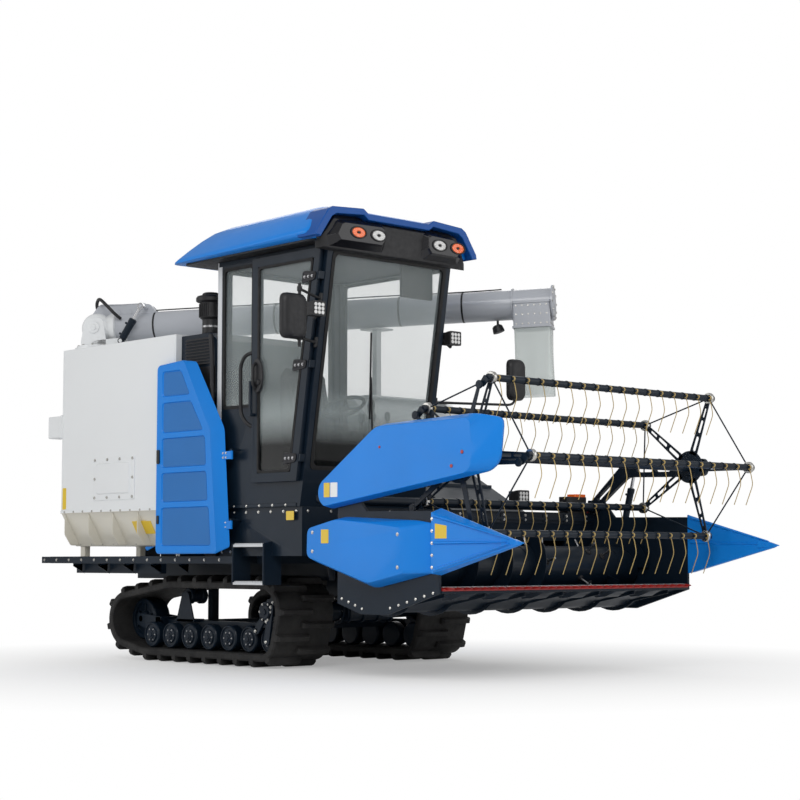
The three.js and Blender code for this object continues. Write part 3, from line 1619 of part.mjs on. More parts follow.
// Joint axes in the group's own frame, in millimetres, for whoever drives the model.
const placed = ([x, y, z]) => [x - middle.x, y - middle.y, z - extent.min.z];
const headingVector = (turn) => [Math.cos(turn), Math.sin(turn), 0];
const lean = new THREE.Vector2(cabBrowX - cabSillX, cabRoofZ - cabSillZ).normalize();
const inTurret = ([u, v], y) => {
  const turn = radians(unloaderHeading);
  return [
    unloaderX + u * Math.cos(turn) - y * Math.sin(turn),
    unloaderY + u * Math.sin(turn) + y * Math.cos(turn),
    unloaderPivotZ + v,
  ];
};
machine.userData.joints = {
  cab_door: { at: placed([cabTop(1600) - doorHingeBack, doorOuterY, 1600]), axis: [lean.x, 0, lean.y] },
  engine_cover: { at: placed([coverHingeX, coverHingeY, 1000]), axis: [0, 0, 1] },
  thresher_door: { at: placed([-1000, sideDoorAxisY, sideDoorAxisZ]), axis: [1, 0, 0] },
  unloader_swivel: { at: placed([unloaderX, unloaderY, unloaderPivotZ]), axis: [0, 0, 1] },
  unloader_lift: {
    at: placed([unloaderX, unloaderY, unloaderPivotZ]),
    axis: [Math.sin(radians(unloaderHeading)), -Math.cos(radians(unloaderHeading)), 0],
  },
  unloader_ram: { at: placed(inTurret(ramBase, ramBaseY)), from: ramBase, to: ramLugTurned },
  header_lift: { at: placed([headerPivotX, 0, headerPivotZ]), axis: [0, -1, 0] },
  header_ram: { at: placed([liftPinX, liftPinY, liftPinZ]), from: liftFrom, to: liftTo },
  auger_spin: { at: placed([augerX, 0, augerZ]), axis: [0, 1, 0] },
  reel_lift: { at: placed([reelPivotX, 0, reelPivotZ]), axis: [0, -1, 0] },
  reel_ram: { at: placed([reelRamBase[0], reelRamY, reelRamBase[1]]), from: reelRamBase, to: reelRamLug },
  reel_spin: { at: placed([reelX, 0, reelZ]), axis: [0, 1, 0] },
  eccentric_spin: { at: placed([eccentricX, 0, eccentricZ]), axis: [0, 1, 0] },
  bats: Array.from({ length: batCount }, (_, i) => {
    const [x, z] = batPlace(i);
    return { at: placed([x, 0, z]), axis: [0, 1, 0] };
  }),
  heading: headingVector(radians(unloaderHeading)),
};

export default machine;
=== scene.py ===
"""Looks of a tracked combine harvester, built round its fixed construction frame.

Metres, +X forward, +Y to the driver's left, +Z up, with the origin on the ground.
"""

from __future__ import annotations

import logging
import math
from collections.abc import Iterable, Sequence
from dataclasses import dataclass, field
from enum import Enum

import bmesh
import bpy
from mathutils import Matrix, Vector


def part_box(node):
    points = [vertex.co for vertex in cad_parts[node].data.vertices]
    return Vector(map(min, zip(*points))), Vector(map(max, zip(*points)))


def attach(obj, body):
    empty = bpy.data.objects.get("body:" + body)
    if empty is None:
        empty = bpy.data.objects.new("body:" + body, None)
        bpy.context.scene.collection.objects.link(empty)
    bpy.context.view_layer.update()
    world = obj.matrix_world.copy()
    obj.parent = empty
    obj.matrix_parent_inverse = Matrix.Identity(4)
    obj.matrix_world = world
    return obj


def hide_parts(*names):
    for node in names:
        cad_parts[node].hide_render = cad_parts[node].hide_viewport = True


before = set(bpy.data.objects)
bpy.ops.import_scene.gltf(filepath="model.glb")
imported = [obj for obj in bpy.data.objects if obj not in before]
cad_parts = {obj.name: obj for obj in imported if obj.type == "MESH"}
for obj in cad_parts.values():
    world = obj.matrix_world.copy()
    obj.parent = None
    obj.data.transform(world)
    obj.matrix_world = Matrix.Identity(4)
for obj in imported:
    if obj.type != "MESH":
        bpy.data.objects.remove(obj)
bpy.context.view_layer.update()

log = logging.getLogger("harvester")
Point = Sequence[float]
FORWARD, BACKWARD = (1, 0, 0), (-1, 0, 0)
LEFT, RIGHT = (0, 1, 0), (0, -1, 0)
UP = (0, 0, 1)


# ------------------------------------------------------------------ places


class Axis(Enum):
    """A row axis, with the two axes that a profile across it is drawn in."""

    X = (0, 1, 2)
    Y = (1, 0, 2)
    Z = (2, 0, 1)

    def point(self, along: float, u: float, v: float) -> Vector:
        """Gives the place at a distance along this axis and at u, v across it.

        Args:
            along: The coordinate on this axis.
            u: The coordinate on the first axis across.
            v: The coordinate on the second axis across.

        Returns:
            The place in the row frame.
        """
        place = [0.0, 0.0, 0.0]
        main, first, second = self.value
        place[main], place[first], place[second] = along, u, v
        return Vector(place)


@dataclass(frozen=True)
class Box:
    """The box of a construction node at rest."""

    low: Vector
    high: Vector

    @classmethod
    def of(cls, node: str) -> Box:
        """Returns the box of one node."""
        low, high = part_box(node)
        return cls(Vector(low), Vector(high))


def drawing_frame() -> Matrix:
    """Returns the matrix from the machine's drawing, in millimetres, to the row frame.

    The drawing's X = 0 is the front of the ground contact, and its Y = 0 is midway between the
    tracks. Every shape below is drawn in it.
    """
    cab, thresher = Box.of("cab_frame"), Box.of("thresher_body")
    origin = Vector((cab.low.x + 0.2, cab.high.y - 0.04, thresher.low.z - 0.7703))
    return Matrix.Translation(origin) @ Matrix.Scale(0.001, 4)


DRAWING = drawing_frame()


# ------------------------------------------------------------------ finishes


class Recipe:
    """A material's node tree with one principled shader, and helpers that add nodes to it."""

    def __init__(self, name: str) -> None:
        """Starts the tree.

        Args:
            name: The material's name.
        """
        self.material = bpy.data.materials.new(f"{name}_finish")
        self.material.use_nodes = True
        self.tree = self.material.node_tree
        self.shader = self.tree.nodes["Principled BSDF"]
        self.where = self.tree.nodes.new("ShaderNodeTexCoord").outputs["Object"]

    def set(self, **values: float | Point) -> None:
        """Sets the shader's own sockets, named with underscores for spaces."""
        for key, value in values.items():
            self.shader.inputs[key.replace("_", " ")].default_value = value

    def node(self, kind: str, **inputs: object) -> bpy.types.Node:
        """Adds a node.

        Args:
            kind: The node's class name.
            inputs: Sockets to link, or to set, by name with underscores for spaces.

        Returns:
            The new node.
        """
        made = self.tree.nodes.new(kind)
        for key, value in inputs.items():
            socket = made.inputs[key.replace("_", " ")]
            if isinstance(value, bpy.types.NodeSocket):
                self.tree.links.new(value, socket)
            else:
                socket.default_value = value
        return made

    def noise(self, scale: float, detail: float = 4.0, stretch: Point = (1, 1, 1)) -> bpy.types.NodeSocket:
        """Adds a cloud pattern.

        Args:
            scale: Its scale, per metre.
            detail: Its octaves.
            stretch: How much finer it is along each axis.

        Returns:
            The pattern's value.
        """
        turned = self.node("ShaderNodeMapping", Vector=self.where, Scale=stretch)
        made = self.node("ShaderNodeTexNoise", Vector=turned.outputs["Vector"], Scale=scale, Detail=detail)
        return made.outputs["Fac"]

    def cells(self, scale: float) -> bpy.types.NodeSocket:
        """Adds a pattern of cells and returns its distance value."""
        made = self.node("ShaderNodeTexVoronoi", Vector=self.where, Scale=scale)
        return made.outputs["Distance"]

    def blend(self, factor: bpy.types.NodeSocket, low: Point, high: Point) -> bpy.types.NodeSocket:
        """Adds a blend of two colours.

        Args:
            factor: The value that goes from low to high.
            low: The colour at 0.3 of the factor.
            high: The colour at 0.7 of the factor.

        Returns:
            The blended colour.
        """
        ramp = self.node("ShaderNodeValToRGB", Fac=factor)
        ramp.color_ramp.elements[0].position = 0.3
        ramp.color_ramp.elements[1].position = 0.7
        ramp.color_ramp.elements[0].color = (*low, 1)
        ramp.color_ramp.elements[1].color = (*high, 1)
        return ramp.outputs["Color"]

    def colour(self, value: bpy.types.NodeSocket) -> None:
        """Links the base colour."""
        self.tree.links.new(value, self.shader.inputs["Base Color"])

    def roughness(self, value: bpy.types.NodeSocket, low: float, high: float) -> None:
        """Links the roughness, from low to high over a value that goes from 0.3 to 0.7."""
        mapped = self.node(
            "ShaderNodeMapRange", Value=value, From_Min=0.3, From_Max=0.7, To_Min=low, To_Max=high
        )
        self.tree.links.new(mapped.outputs["Result"], self.shader.inputs["Roughness"])

    def bump(self, height: bpy.types.NodeSocket, strength: float, distance: float) -> None:
        """Links a bump of this strength and depth in metres."""
        made = self.node("ShaderNodeBump", Height=height, Strength=strength, Distance=distance)
        self.tree.links.new(made.outputs["Normal"], self.shader.inputs["Normal"])


def shade(colour: Point, factor: float) -> tuple[float, float, float]:
    """Returns the colour made lighter or darker by a factor."""
    red, green, blue = colour
    return (red * factor, green * factor, blue * factor)


@dataclass(frozen=True)
class Paint:
    """Sprayed paint: a slightly uneven film with a gloss coat and a faint orange peel."""

    name: str
    slot: str
    colour: tuple[float, float, float]
    rough: float = 0.3
    coat: float = 0.5
    peel: float = 0.12
    spread: float = 0.06
    gloss: float = 0.45

    def make(self) -> bpy.types.Material:
        """Returns the paint's material."""
        recipe = Recipe(self.name)
        recipe.set(Coat_Weight=self.coat, Coat_Roughness=0.08, Specular_IOR_Level=self.gloss)
        cloud = recipe.noise(1.4, 5)
        recipe.colour(
            recipe.blend(cloud, shade(self.colour, 1 - self.spread), shade(self.colour, 1 + self.spread))
        )
        recipe.roughness(recipe.noise(9, 6), self.rough * 0.93, self.rough * 1.1)
        recipe.bump(recipe.noise(420, 3), self.peel, 0.0006)
        return recipe.material


@dataclass(frozen=True)
class TwoTonePaint:
    """Paint of one colour above a height and of another below it."""

    name: str
    slot: str
    upper: tuple[float, float, float]
    lower: tuple[float, float, float]
    split: float
    rough: float = 0.3

    def make(self) -> bpy.types.Material:
        """Returns the two-tone material."""
        recipe = Recipe(self.name)
        recipe.set(Coat_Weight=0.4, Coat_Roughness=0.1)
        height = recipe.node("ShaderNodeSeparateXYZ", Vector=recipe.where).outputs["Z"]
        above = recipe.node("ShaderNodeMath")
        above.operation = "GREATER_THAN"
        recipe.tree.links.new(height, above.inputs[0])
        above.inputs[1].default_value = self.split
        cloud = recipe.noise(1.2, 5)
        mix = recipe.node("ShaderNodeMix")
        mix.data_type = "RGBA"
        recipe.tree.links.new(above.outputs[0], mix.inputs["Factor"])
        tones = {"A": self.lower, "B": self.upper}
        for key, tone in tones.items():
            socket = next(s for s in mix.inputs if s.name == key and s.type == "RGBA")
            recipe.tree.links.new(recipe.blend(cloud, shade(tone, 0.985), shade(tone, 1.01)), socket)
        recipe.colour(next(s for s in mix.outputs if s.type == "RGBA"))
        recipe.roughness(recipe.noise(8, 5), self.rough * 0.95, self.rough * 1.08)
        recipe.bump(recipe.noise(420, 3), 0.1, 0.0005)
        return recipe.material


@dataclass(frozen=True)
class Metal:
    """Bare or plated metal with fine scratches along one direction."""

    name: str
    slot: str
    colour: tuple[float, float, float]
    rough: float = 0.3
    stretch: tuple[float, float, float] = (1, 1, 1)
    grain: float = 160

    def make(self) -> bpy.types.Material:
        """Returns the metal's material."""
        recipe = Recipe(self.name)
        recipe.set(Metallic=1.0)
        cloud = recipe.noise(6, 5)
        recipe.colour(recipe.blend(cloud, shade(self.colour, 0.86), shade(self.colour, 1.08)))
        lines = recipe.noise(self.grain, 4, self.stretch)
        recipe.roughness(lines, self.rough * 0.7, self.rough * 1.4)
        recipe.bump(lines, 0.15, 0.0004)
        return recipe.material


@dataclass(frozen=True)
class Rubber:
    """Moulded rubber: matt, pitted, and greyer where dust settles."""

    name: str
    slot: str
    colour: tuple[float, float, float]
    dust: tuple[float, float, float]
    rough: float = 0.7

    def make(self) -> bpy.types.Material:
        """Returns the rubber's material."""
        recipe = Recipe(self.name)
        recipe.set(Specular_IOR_Level=0.35)
        recipe.colour(recipe.blend(recipe.noise(5, 6), self.colour, self.dust))
        recipe.roughness(recipe.noise(30, 5), self.rough * 0.85, self.rough * 1.15)
        recipe.bump(recipe.noise(260, 5), 0.35, 0.0012)
        return recipe.material


@dataclass(frozen=True)
class Plastic:
    """Moulded plastic with a leather-like grain of small cells."""

    name: str
    slot: str
    colour: tuple[float, float, float]
    rough: float = 0.5
    grain: float = 700
    depth: float = 0.0003

    def make(self) -> bpy.types.Material:
        """Returns the plastic's material."""
        recipe = Recipe(self.name)
        recipe.colour(recipe.blend(recipe.noise(7, 4), shade(self.colour, 0.85), shade(self.colour, 1.15)))
        recipe.roughness(recipe.noise(40, 4), self.rough * 0.85, self.rough * 1.15)
        recipe.bump(recipe.cells(self.grain), 0.3, self.depth)
        return recipe.material


@dataclass(frozen=True)
class Glass:
    """A thin clear pane, partly see-through, with a faint tint and fine waves, and painted shade that can
    darken its lower part.
    """

    name: str
    slot: str
    colour: tuple[float, float, float]
    alpha: float = 0.25
    rough: float = 0.03
    wave: float = 3.0
    dark: tuple[float, float] | None = None

    def make(self) -> bpy.types.Material:
        """Returns the pane's material."""
        recipe = Recipe(self.name)
        recipe.set(Alpha=self.alpha, Specular_IOR_Level=0.25)
        recipe.colour(recipe.blend(recipe.noise(2, 3), shade(self.colour, 0.96), self.colour))
        recipe.roughness(recipe.noise(2, 3), self.rough * 0.8, self.rough * 1.2)
        if self.wave:
            recipe.bump(recipe.noise(self.wave, 2), 0.05, 0.002)
        # Darker and more opaque towards the bottom: painted shade of the cab's inside seen through the glass.
        if self.dark:
            low, high = self.dark
            height = recipe.node("ShaderNodeSeparateXYZ", Vector=recipe.where).outputs["Z"]
            fade = recipe.node(
                "ShaderNodeMapRange", Value=height, From_Min=low, From_Max=high, To_Min=0.7, To_Max=self.alpha
            )
            recipe.tree.links.new(fade.outputs["Result"], recipe.shader.inputs["Alpha"])
            recipe.colour(
                recipe.blend(height_share(recipe, height, low, high), shade(self.colour, 0.02), self.colour)
            )
        return recipe.material


def height_share(
    recipe: Recipe, height: bpy.types.NodeSocket, low: float, high: float
) -> bpy.types.NodeSocket:
    """Adds a value that goes from 0 to 1 between two heights.

    Args:
        recipe: The material's recipe.
        height: The height in metres.
        low: The height at 0.
        high: The height at 1.

    Returns:
        The value.
    """
    return recipe.node("ShaderNodeMapRange", Value=height, From_Min=low, From_Max=high).outputs["Result"]


@dataclass(frozen=True)
class Lens:
    """A lamp lens: a coloured, ribbed and slightly glowing moulding."""

    name: str
    slot: str
    colour: tuple[float, float, float]
    glow: float = 0.15

    def make(self) -> bpy.types.Material:
        """Returns the lens's material."""
        recipe = Recipe(self.name)
        recipe.set(
            Emission_Color=(*self.colour, 1), Emission_Strength=self.glow, Coat_Weight=1.0, Roughness=0.12
        )
        recipe.colour(recipe.blend(recipe.noise(60, 3), shade(self.colour, 0.8), self.colour))
        recipe.bump(recipe.cells(160), 0.5, 0.001)
        return recipe.material


class Finish(Enum):
    """The finishes of the machine."""

    BLUE = Paint("blue_paint", "blue_paint", (0.006, 0.235, 0.78), rough=0.34, coat=0.12, gloss=0.25)
    # Deep blue for trims and rims; on the roof's brow it is painted shade.
    DEEP_BLUE = Paint("deep_blue_paint", "blue_paint", (0.005, 0.085, 0.36), rough=0.36, coat=0.1, gloss=0.25)
    # Darker blue for the floors of the cover's pressings: painted shade in the recesses.
    PRESSED = Paint("pressed_blue_paint", "blue_paint", (0.02, 0.17, 0.50), rough=0.4, coat=0.1, gloss=0.25)
    WHITE = Paint("white_paint", "white_paint", (0.86, 0.88, 0.89), rough=0.32, coat=0.4, spread=0.02)
    TANK = TwoTonePaint("tank_paint", "white_paint", (0.87, 0.89, 0.90), (0.74, 0.71, 0.62), 1.105)
    NAVY = Paint(
        "dark_paint", "dark_paint", (0.006, 0.014, 0.026), rough=0.4, coat=0.1, spread=0.15, gloss=0.22
    )
    GREY = Paint("grey_paint", "grey_paint", (0.50, 0.52, 0.56), rough=0.3, coat=0.4, spread=0.03)
    PALE_GREY = Paint("pale_grey_paint", "grey_paint", (0.66, 0.68, 0.70), rough=0.35, coat=0.3, spread=0.03)
    BELT = Rubber("track_rubber", "track_rubber", (0.010, 0.010, 0.011), (0.035, 0.034, 0.033))
    GASKET = Rubber("gasket_rubber", "track_rubber", (0.008, 0.008, 0.009), (0.014, 0.014, 0.014), rough=0.6)
    BLACK = Plastic("black_plastic", "black_plastic", (0.012, 0.012, 0.014))
    GLOSS_BLACK = Plastic(
        "gloss_black_plastic", "black_plastic", (0.010, 0.010, 0.013), rough=0.15, depth=0.0001
    )
    VINYL = Plastic("seat_vinyl", "seat_vinyl", (0.018, 0.018, 0.020), rough=0.55, grain=420, depth=0.0005)
    # The panes darken between 1.35 m and 1.9 m: painted shade of the cab's inside.
    PANE = Glass("window_glass", "window_glass", (0.62, 0.70, 0.70), alpha=0.14, wave=0, dark=(1.35, 1.9))
    SLEEVE = Glass("clear_sheet", "clear_sheet", (0.82, 0.88, 0.86), alpha=0.42, rough=0.18, wave=24)
    STEEL = Metal("bare_steel", "bare_steel", (0.42, 0.42, 0.43), rough=0.32, stretch=(1, 8, 1))
    ZINC = Metal("zinc_plate", "bare_steel", (0.62, 0.61, 0.58), rough=0.28)
    CHROME = Metal("rod_chrome", "rod_chrome", (0.78, 0.78, 0.80), rough=0.08)
    IRON = Metal("engine_casting", "engine_casting", (0.07, 0.07, 0.075), rough=0.6, grain=60)
    MIRROR = Metal("mirror_glass", "rod_chrome", (0.85, 0.87, 0.88), rough=0.03, grain=3)
    TINE = Paint("tine_wire", "bare_steel", (0.50, 0.36, 0.13), rough=0.4, coat=0.2, spread=0.15)
    RED = Paint("red_paint", "dark_paint", (0.42, 0.018, 0.015), rough=0.35, coat=0.4)
    YELLOW = Paint("yellow_film", "black_plastic", (0.82, 0.56, 0.02), rough=0.35, coat=0.3, spread=0.02)
    AMBER = Lens("amber_lens", "black_plastic", (0.95, 0.16, 0.02))
    CLEAR = Lens("clear_lens", "black_plastic", (0.75, 0.75, 0.74), glow=0.05)

    @property
    def slot(self) -> str:
        """Returns the record's material slot."""
        return self.value.slot

    def material(self) -> bpy.types.Material:
        """Returns the finish's material, made the first time it is asked for."""
        return bpy.data.materials.get(f"{self.value.name}_finish") or self.value.make()


# ------------------------------------------------------------------ shapes


def arc(centre: Point, radius: float, start: float, sweep: float, steps: int) -> list[tuple[float, float]]:
    """Returns points of an arc in a plane.

    Args:
        centre: The arc's centre.
        radius: Its radius.
        start: The first point's angle in degrees.
        sweep: How far it turns, in degrees.
        steps: How many stretches it has; a full turn leaves its last point out.

    Returns:
        The points in order.
    """
    count = steps if abs(sweep) == 360 else steps + 1
    turns = [math.radians(start + sweep * i / steps) for i in range(count)]
    return [(centre[0] + radius * math.cos(t), centre[1] + radius * math.sin(t)) for t in turns]


def rounded(outline: Sequence[Point], radius: float, steps: int = 4) -> list[tuple[float, float]]:
    """Returns a closed outline with its corners made round.

    Args:
        outline: The corners in order.
        radius: The largest radius of a corner.
        steps: How many stretches each corner has.

    Returns:
        The new outline.
    """
    made: list[tuple[float, float]] = []
    count = len(outline)
    for i, corner in enumerate(outline):
        here = Vector(corner)
        before, after = Vector(outline[i - 1]) - here, Vector(outline[(i + 1) % count]) - here
        reach = min(radius, before.length * 0.45, after.length * 0.45)
        start, end = here + before.normalized() * reach, here + after.normalized() * reach
        for k in range(steps + 1):
            t = k / steps
            made.append(tuple(start * (1 - t) ** 2 + here * (2 * t * (1 - t)) + end * t**2))
    return made


def rotation(degrees: float, axis: str) -> Matrix:
    """Returns the matrix of a turn round an axis."""
    return Matrix.Rotation(math.radians(degrees), 4, axis)


def rectangle(low: Point, high: Point) -> list[tuple[float, float]]:
    """Returns a rectangle's corners between two opposite ones."""
    return [(low[0], low[1]), (high[0], low[1]), (high[0], high[1]), (low[0], high[1])]


def round_rect(low: Point, high: Point, radius: float, steps: int = 4) -> list[tuple[float, float]]:
    """Returns a rectangle with round corners, by two opposite corners of it."""
    return rounded(rectangle(low, high), radius, steps)


def filleted(points: Sequence[Point], radius: float, steps: int = 5) -> list[Vector]:
    """Returns an open path in space with its inner corners made round."""
    path = [Vector(p) for p in points]
    made = [path[0]]
    for before, here, after in zip(path, path[1:], path[2:]):
        back, ahead = before - here, after - here
        reach = min(radius, back.length * 0.45, ahead.length * 0.45)
        start, end = here + back.normalized() * reach, here + ahead.normalized() * reach
        for k in range(steps + 1):
            t = k / steps
            made.append(start * (1 - t) ** 2 + here * (2 * t * (1 - t)) + end * t**2)
    return [*made, path[-1]]


class Shape:
    """A mesh that grows piece by piece, each a closed solid."""

    def __init__(self) -> None:
        """Starts empty."""
        self.bm = bmesh.new()

    @classmethod
    def copy_of(cls, *nodes: str) -> Shape:
        """Returns a merged copy of construction nodes, with flat faces made whole."""
        made = cls()
        for node in nodes:
            made.bm.from_mesh(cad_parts[node].data)
        made.bm.transform(DRAWING.inverted())
        bmesh.ops.remove_doubles(made.bm, verts=made.bm.verts, dist=0.02)
        bmesh.ops.dissolve_limit(
            made.bm, angle_limit=math.radians(0.6), verts=made.bm.verts, edges=made.bm.edges
        )
        return made

    def loft(self, rings: Sequence[Sequence[Point]], closed: bool = False) -> Shape:
        """Adds a skin over rings of as many points, with end caps unless the last ring joins the first."""
        rows = [[self.bm.verts.new(p) for p in ring] for ring in rings]
        pairs = list(zip(rows, rows[1:])) + ([(rows[-1], rows[0])] if closed else [])
        faces = [
            self.bm.faces.new((a[i - 1], a[i], b[i], b[i - 1]))
            for a, b in pairs
            for i in range(len(a))
        ]
        if not closed:
            faces += [self.bm.faces.new(rows[0][::-1]), self.bm.faces.new(rows[-1])]
        bmesh.ops.recalc_face_normals(self.bm, faces=faces)
        return self

    def box(self, low: Point, high: Point) -> Shape:
        """Adds a box between two corners."""
        (x0, y0, z0), (x1, y1, z1) = low, high
        corners = [(x0, y0), (x1, y0), (x1, y1), (x0, y1)]
        return self.loft([[(x, y, z) for x, y in corners] for z in (z0, z1)])

    def prism(self, axis: Axis, outline: Sequence[Point], low: float, high: float) -> Shape:
        """Adds an outline drawn across an axis, from one place on it to another."""
        return self.loft([[axis.point(d, u, v) for u, v in outline] for d in (low, high)])

    def frame(
        self, axis: Axis, outer: Sequence[Point], inner: Sequence[Point], low: float, high: float
    ) -> Shape:
        """Adds a rim between two outlines of as many points, such as a window frame."""
        rings = [
            [axis.point(low, u, v) for u, v in outer],
            [axis.point(high, u, v) for u, v in outer],
            [axis.point(high, u, v) for u, v in inner],
            [axis.point(low, u, v) for u, v in inner],
        ]
        return self.loft(rings, closed=True)

    def lathe(
        self, centre: Point, along: Point, profile: Sequence[tuple[float, float]], sides: int = 40
    ) -> Shape:
        """Adds a turned solid.

        Args:
            centre: The place that the profile's distances start from.
            along: The direction of its axis.
            profile: Pairs of distance along the axis and radius.
            sides: Its number of sides.

        Returns:
            The shape itself.
        """
        turn = Vector(along).to_track_quat("Z", "Y").to_matrix()
        rings = [
            [
                Vector(centre) + turn @ Vector((r * math.cos(a), r * math.sin(a), d))
                for a in (math.tau * i / sides for i in range(sides))
            ]
            for d, r in profile
        ]
        return self.loft(rings)

    def rod(self, start: Point, end: Point, radius: float, sides: int = 24, chamfer: float = 0.0) -> Shape:
        """Adds a round bar with chamfered ends."""
        span = Vector(end) - Vector(start)
        length = span.length
        ends = [(0, radius), (length, radius)]
        if chamfer:
            ends = [
                (0, radius - chamfer),
                (chamfer, radius),
                (length - chamfer, radius),
                (length, radius - chamfer),
            ]
        return self.lathe(start, span, ends, sides)

    def tube(
        self, path: Sequence[Point], radius: float | Sequence[float], sides: int = 12, closed: bool = False
    ) -> Shape:
        """Adds a round bar along a path.

        Args:
            path: The points it runs through.
            radius: Its radius, or one for each point.
            sides: Its number of sides.
            closed: Whether the path is a loop.

        Returns:
            The shape itself.
        """
        points = [Vector(p) for p in path]
        count = len(points)
        radii = list(radius) if isinstance(radius, Sequence) else [radius] * count
        last = count - 1
        normal: Vector | None = None
        rings = []
        for i, here in enumerate(points):
            before = points[i - 1] if i or closed else here
            after = points[(i + 1) % count] if i < last or closed else here
            tangent = (after - before).normalized()
            if normal is None:
                normal = tangent.orthogonal().normalized()
            normal = (normal - tangent * normal.dot(tangent)).normalized()
            side = tangent.cross(normal)
            turns = [math.tau * k / sides for k in range(sides)]
            rings.append([here + (normal * math.cos(a) + side * math.sin(a)) * radii[i] for a in turns])
        return self.loft(rings, closed)

    def spot(self, centre: Point, along: Point, radius: float, height: float, sides: int = 20) -> Shape:
        """Adds a low dome-edged disc, such as a cap or a bolt head."""
        rim = min(height * 0.4, radius * 0.2)
        dome = [(0, radius), (height - rim, radius), (height, radius - rim), (height, radius * 0.4)]
        return self.lathe(centre, along, dome, sides)

    def add(self, other: Shape | bpy.types.Mesh, place: Matrix | None = None) -> Shape:
        """Adds another shape or mesh, moved by a matrix."""
        mesh = other if isinstance(other, bpy.types.Mesh) else other.mesh("part")
        if place is not None:
            mesh.transform(place)
        self.bm.from_mesh(mesh)
        bpy.data.meshes.remove(mesh)
        return self

    def moved(self, place: Matrix) -> Shape:
        """Moves the whole shape by a matrix."""
        self.bm.transform(place)
        return self

    def copy_mesh(self) -> bpy.types.Mesh:
        """Returns a mesh of the shape so far, which goes on."""
        made = bpy.data.meshes.new("copy")
        self.bm.to_mesh(made)
        return made

    def mesh(self, name: str) -> bpy.types.Mesh:
        """Ends the shape and returns its mesh."""
        made = bpy.data.meshes.new(name)
        self.bm.to_mesh(made)
        self.bm.free()
        return made


def cut(body: Shape, tool: Shape) -> Shape:
    """Returns a shape with another cut out of it.

    Args:
        body: The body that it rides on.
        tool: What is cut away.

    Returns:
        What is left of the body.
    """
    objects = []
    for name, shape in (("body", body), ("tool", tool)):
        made = bpy.data.objects.new(name, shape.mesh(name))
        bpy.context.scene.collection.objects.link(made)
        objects.append(made)
    target, cutter = objects
    step = target.modifiers.new("cut", "BOOLEAN")
    step.operation = "DIFFERENCE"
    step.solver = "EXACT"
    step.object = cutter
    result = bpy.data.meshes.new_from_object(target.evaluated_get(bpy.context.evaluated_depsgraph_get()))
    for made in objects:
        data = made.data
        bpy.data.objects.remove(made)
        bpy.data.meshes.remove(data)
    return Shape().add(result)


def hex_bolt(radius: float, height: float) -> Shape:
    """Returns a hexagon bolt head on its washer, standing along +Z at the origin."""
    made = Shape().lathe((0, 0, 0), UP, [(0, radius * 1.3), (height * 0.25, radius * 1.3)], 14)
    head = [(height * 0.25, radius), (height * 0.85, radius), (height, radius * 0.85)]
    return made.lathe((0, 0, 0), UP, head, 6)


# ------------------------------------------------------------------ patterns


class Pattern:
    """A Geometry Nodes tree that sets out copies of a small mesh and makes them real."""

    inputs: dict[str, str] = {}

    def __init__(self) -> None:
        """Builds the tree with its named inputs."""
        self.tree = bpy.data.node_groups.new(type(self).__name__, "GeometryNodeTree")
        face = self.tree.interface
        face.new_socket("Geometry", in_out="INPUT", socket_type="NodeSocketGeometry")
        face.new_socket("Source", in_out="INPUT", socket_type="NodeSocketObject")
        face.new_socket("Finish", in_out="INPUT", socket_type="NodeSocketMaterial")
        for name, kind in self.inputs.items():
            face.new_socket(name, in_out="INPUT", socket_type=kind)
        face.new_socket("Geometry", in_out="OUTPUT", socket_type="NodeSocketGeometry")
        self.given = self.tree.nodes.new("NodeGroupInput").outputs
        source = self.node("GeometryNodeObjectInfo", Object=self.given["Source"])
        self.copy = source.outputs["Geometry"]
        real = self.node("GeometryNodeRealizeInstances", Geometry=self.build())
        dressed = self.node(
            "GeometryNodeSetMaterial", Geometry=real.outputs[0], Material=self.given["Finish"]
        )
        end = self.tree.nodes.new("NodeGroupOutput")
        self.tree.links.new(dressed.outputs[0], end.inputs[0])

    def node(self, kind: str, **inputs: object) -> bpy.types.Node:
        """Adds a node with its named sockets linked or set."""
        made = self.tree.nodes.new(kind)
        for key, value in inputs.items():
            socket = made.inputs[key.replace("_", " ")]
            if isinstance(value, bpy.types.NodeSocket):
                self.tree.links.new(value, socket)
            else:
                socket.default_value = value
        return made

    def build(self) -> bpy.types.NodeSocket:
        """Adds the nodes of this pattern and returns its instances."""
        raise NotImplementedError

    def bake(
        self, source: Shape, finish: Finish, base: bpy.types.Mesh | None = None, **values: object
    ) -> Shape:
        """Runs the tree once and returns its result.

        Args:
            source: The shape that is repeated.
            finish: The finish of the copies.
            base: The mesh that the tree starts from, if it needs one.
            values: The tree's own inputs, by name with underscores for spaces.

        Returns:
            The copies as one plain shape.
        """
        carrier = bpy.data.objects.new("carrier", base or bpy.data.meshes.new("carrier"))
        model = bpy.data.objects.new("source", source.mesh("source"))
        for made in (carrier, model):
            bpy.context.scene.collection.objects.link(made)
        step = carrier.modifiers.new("pattern", "NODES")
        step.node_group = self.tree
        wanted = {"Source": model, "Finish": finish.material()}
        wanted.update({key.replace("_", " "): value for key, value in values.items()})
        for socket in self.tree.interface.items_tree:
            if socket.in_out == "INPUT" and socket.name in wanted:
                step[socket.identifier] = wanted[socket.name]
        depsgraph = bpy.context.evaluated_depsgraph_get()
        result = bpy.data.meshes.new_from_object(carrier.evaluated_get(depsgraph))
        for made in (carrier, model):
            data = made.data
            bpy.data.objects.remove(made)
            bpy.data.meshes.remove(data)
        return Shape().add(result)


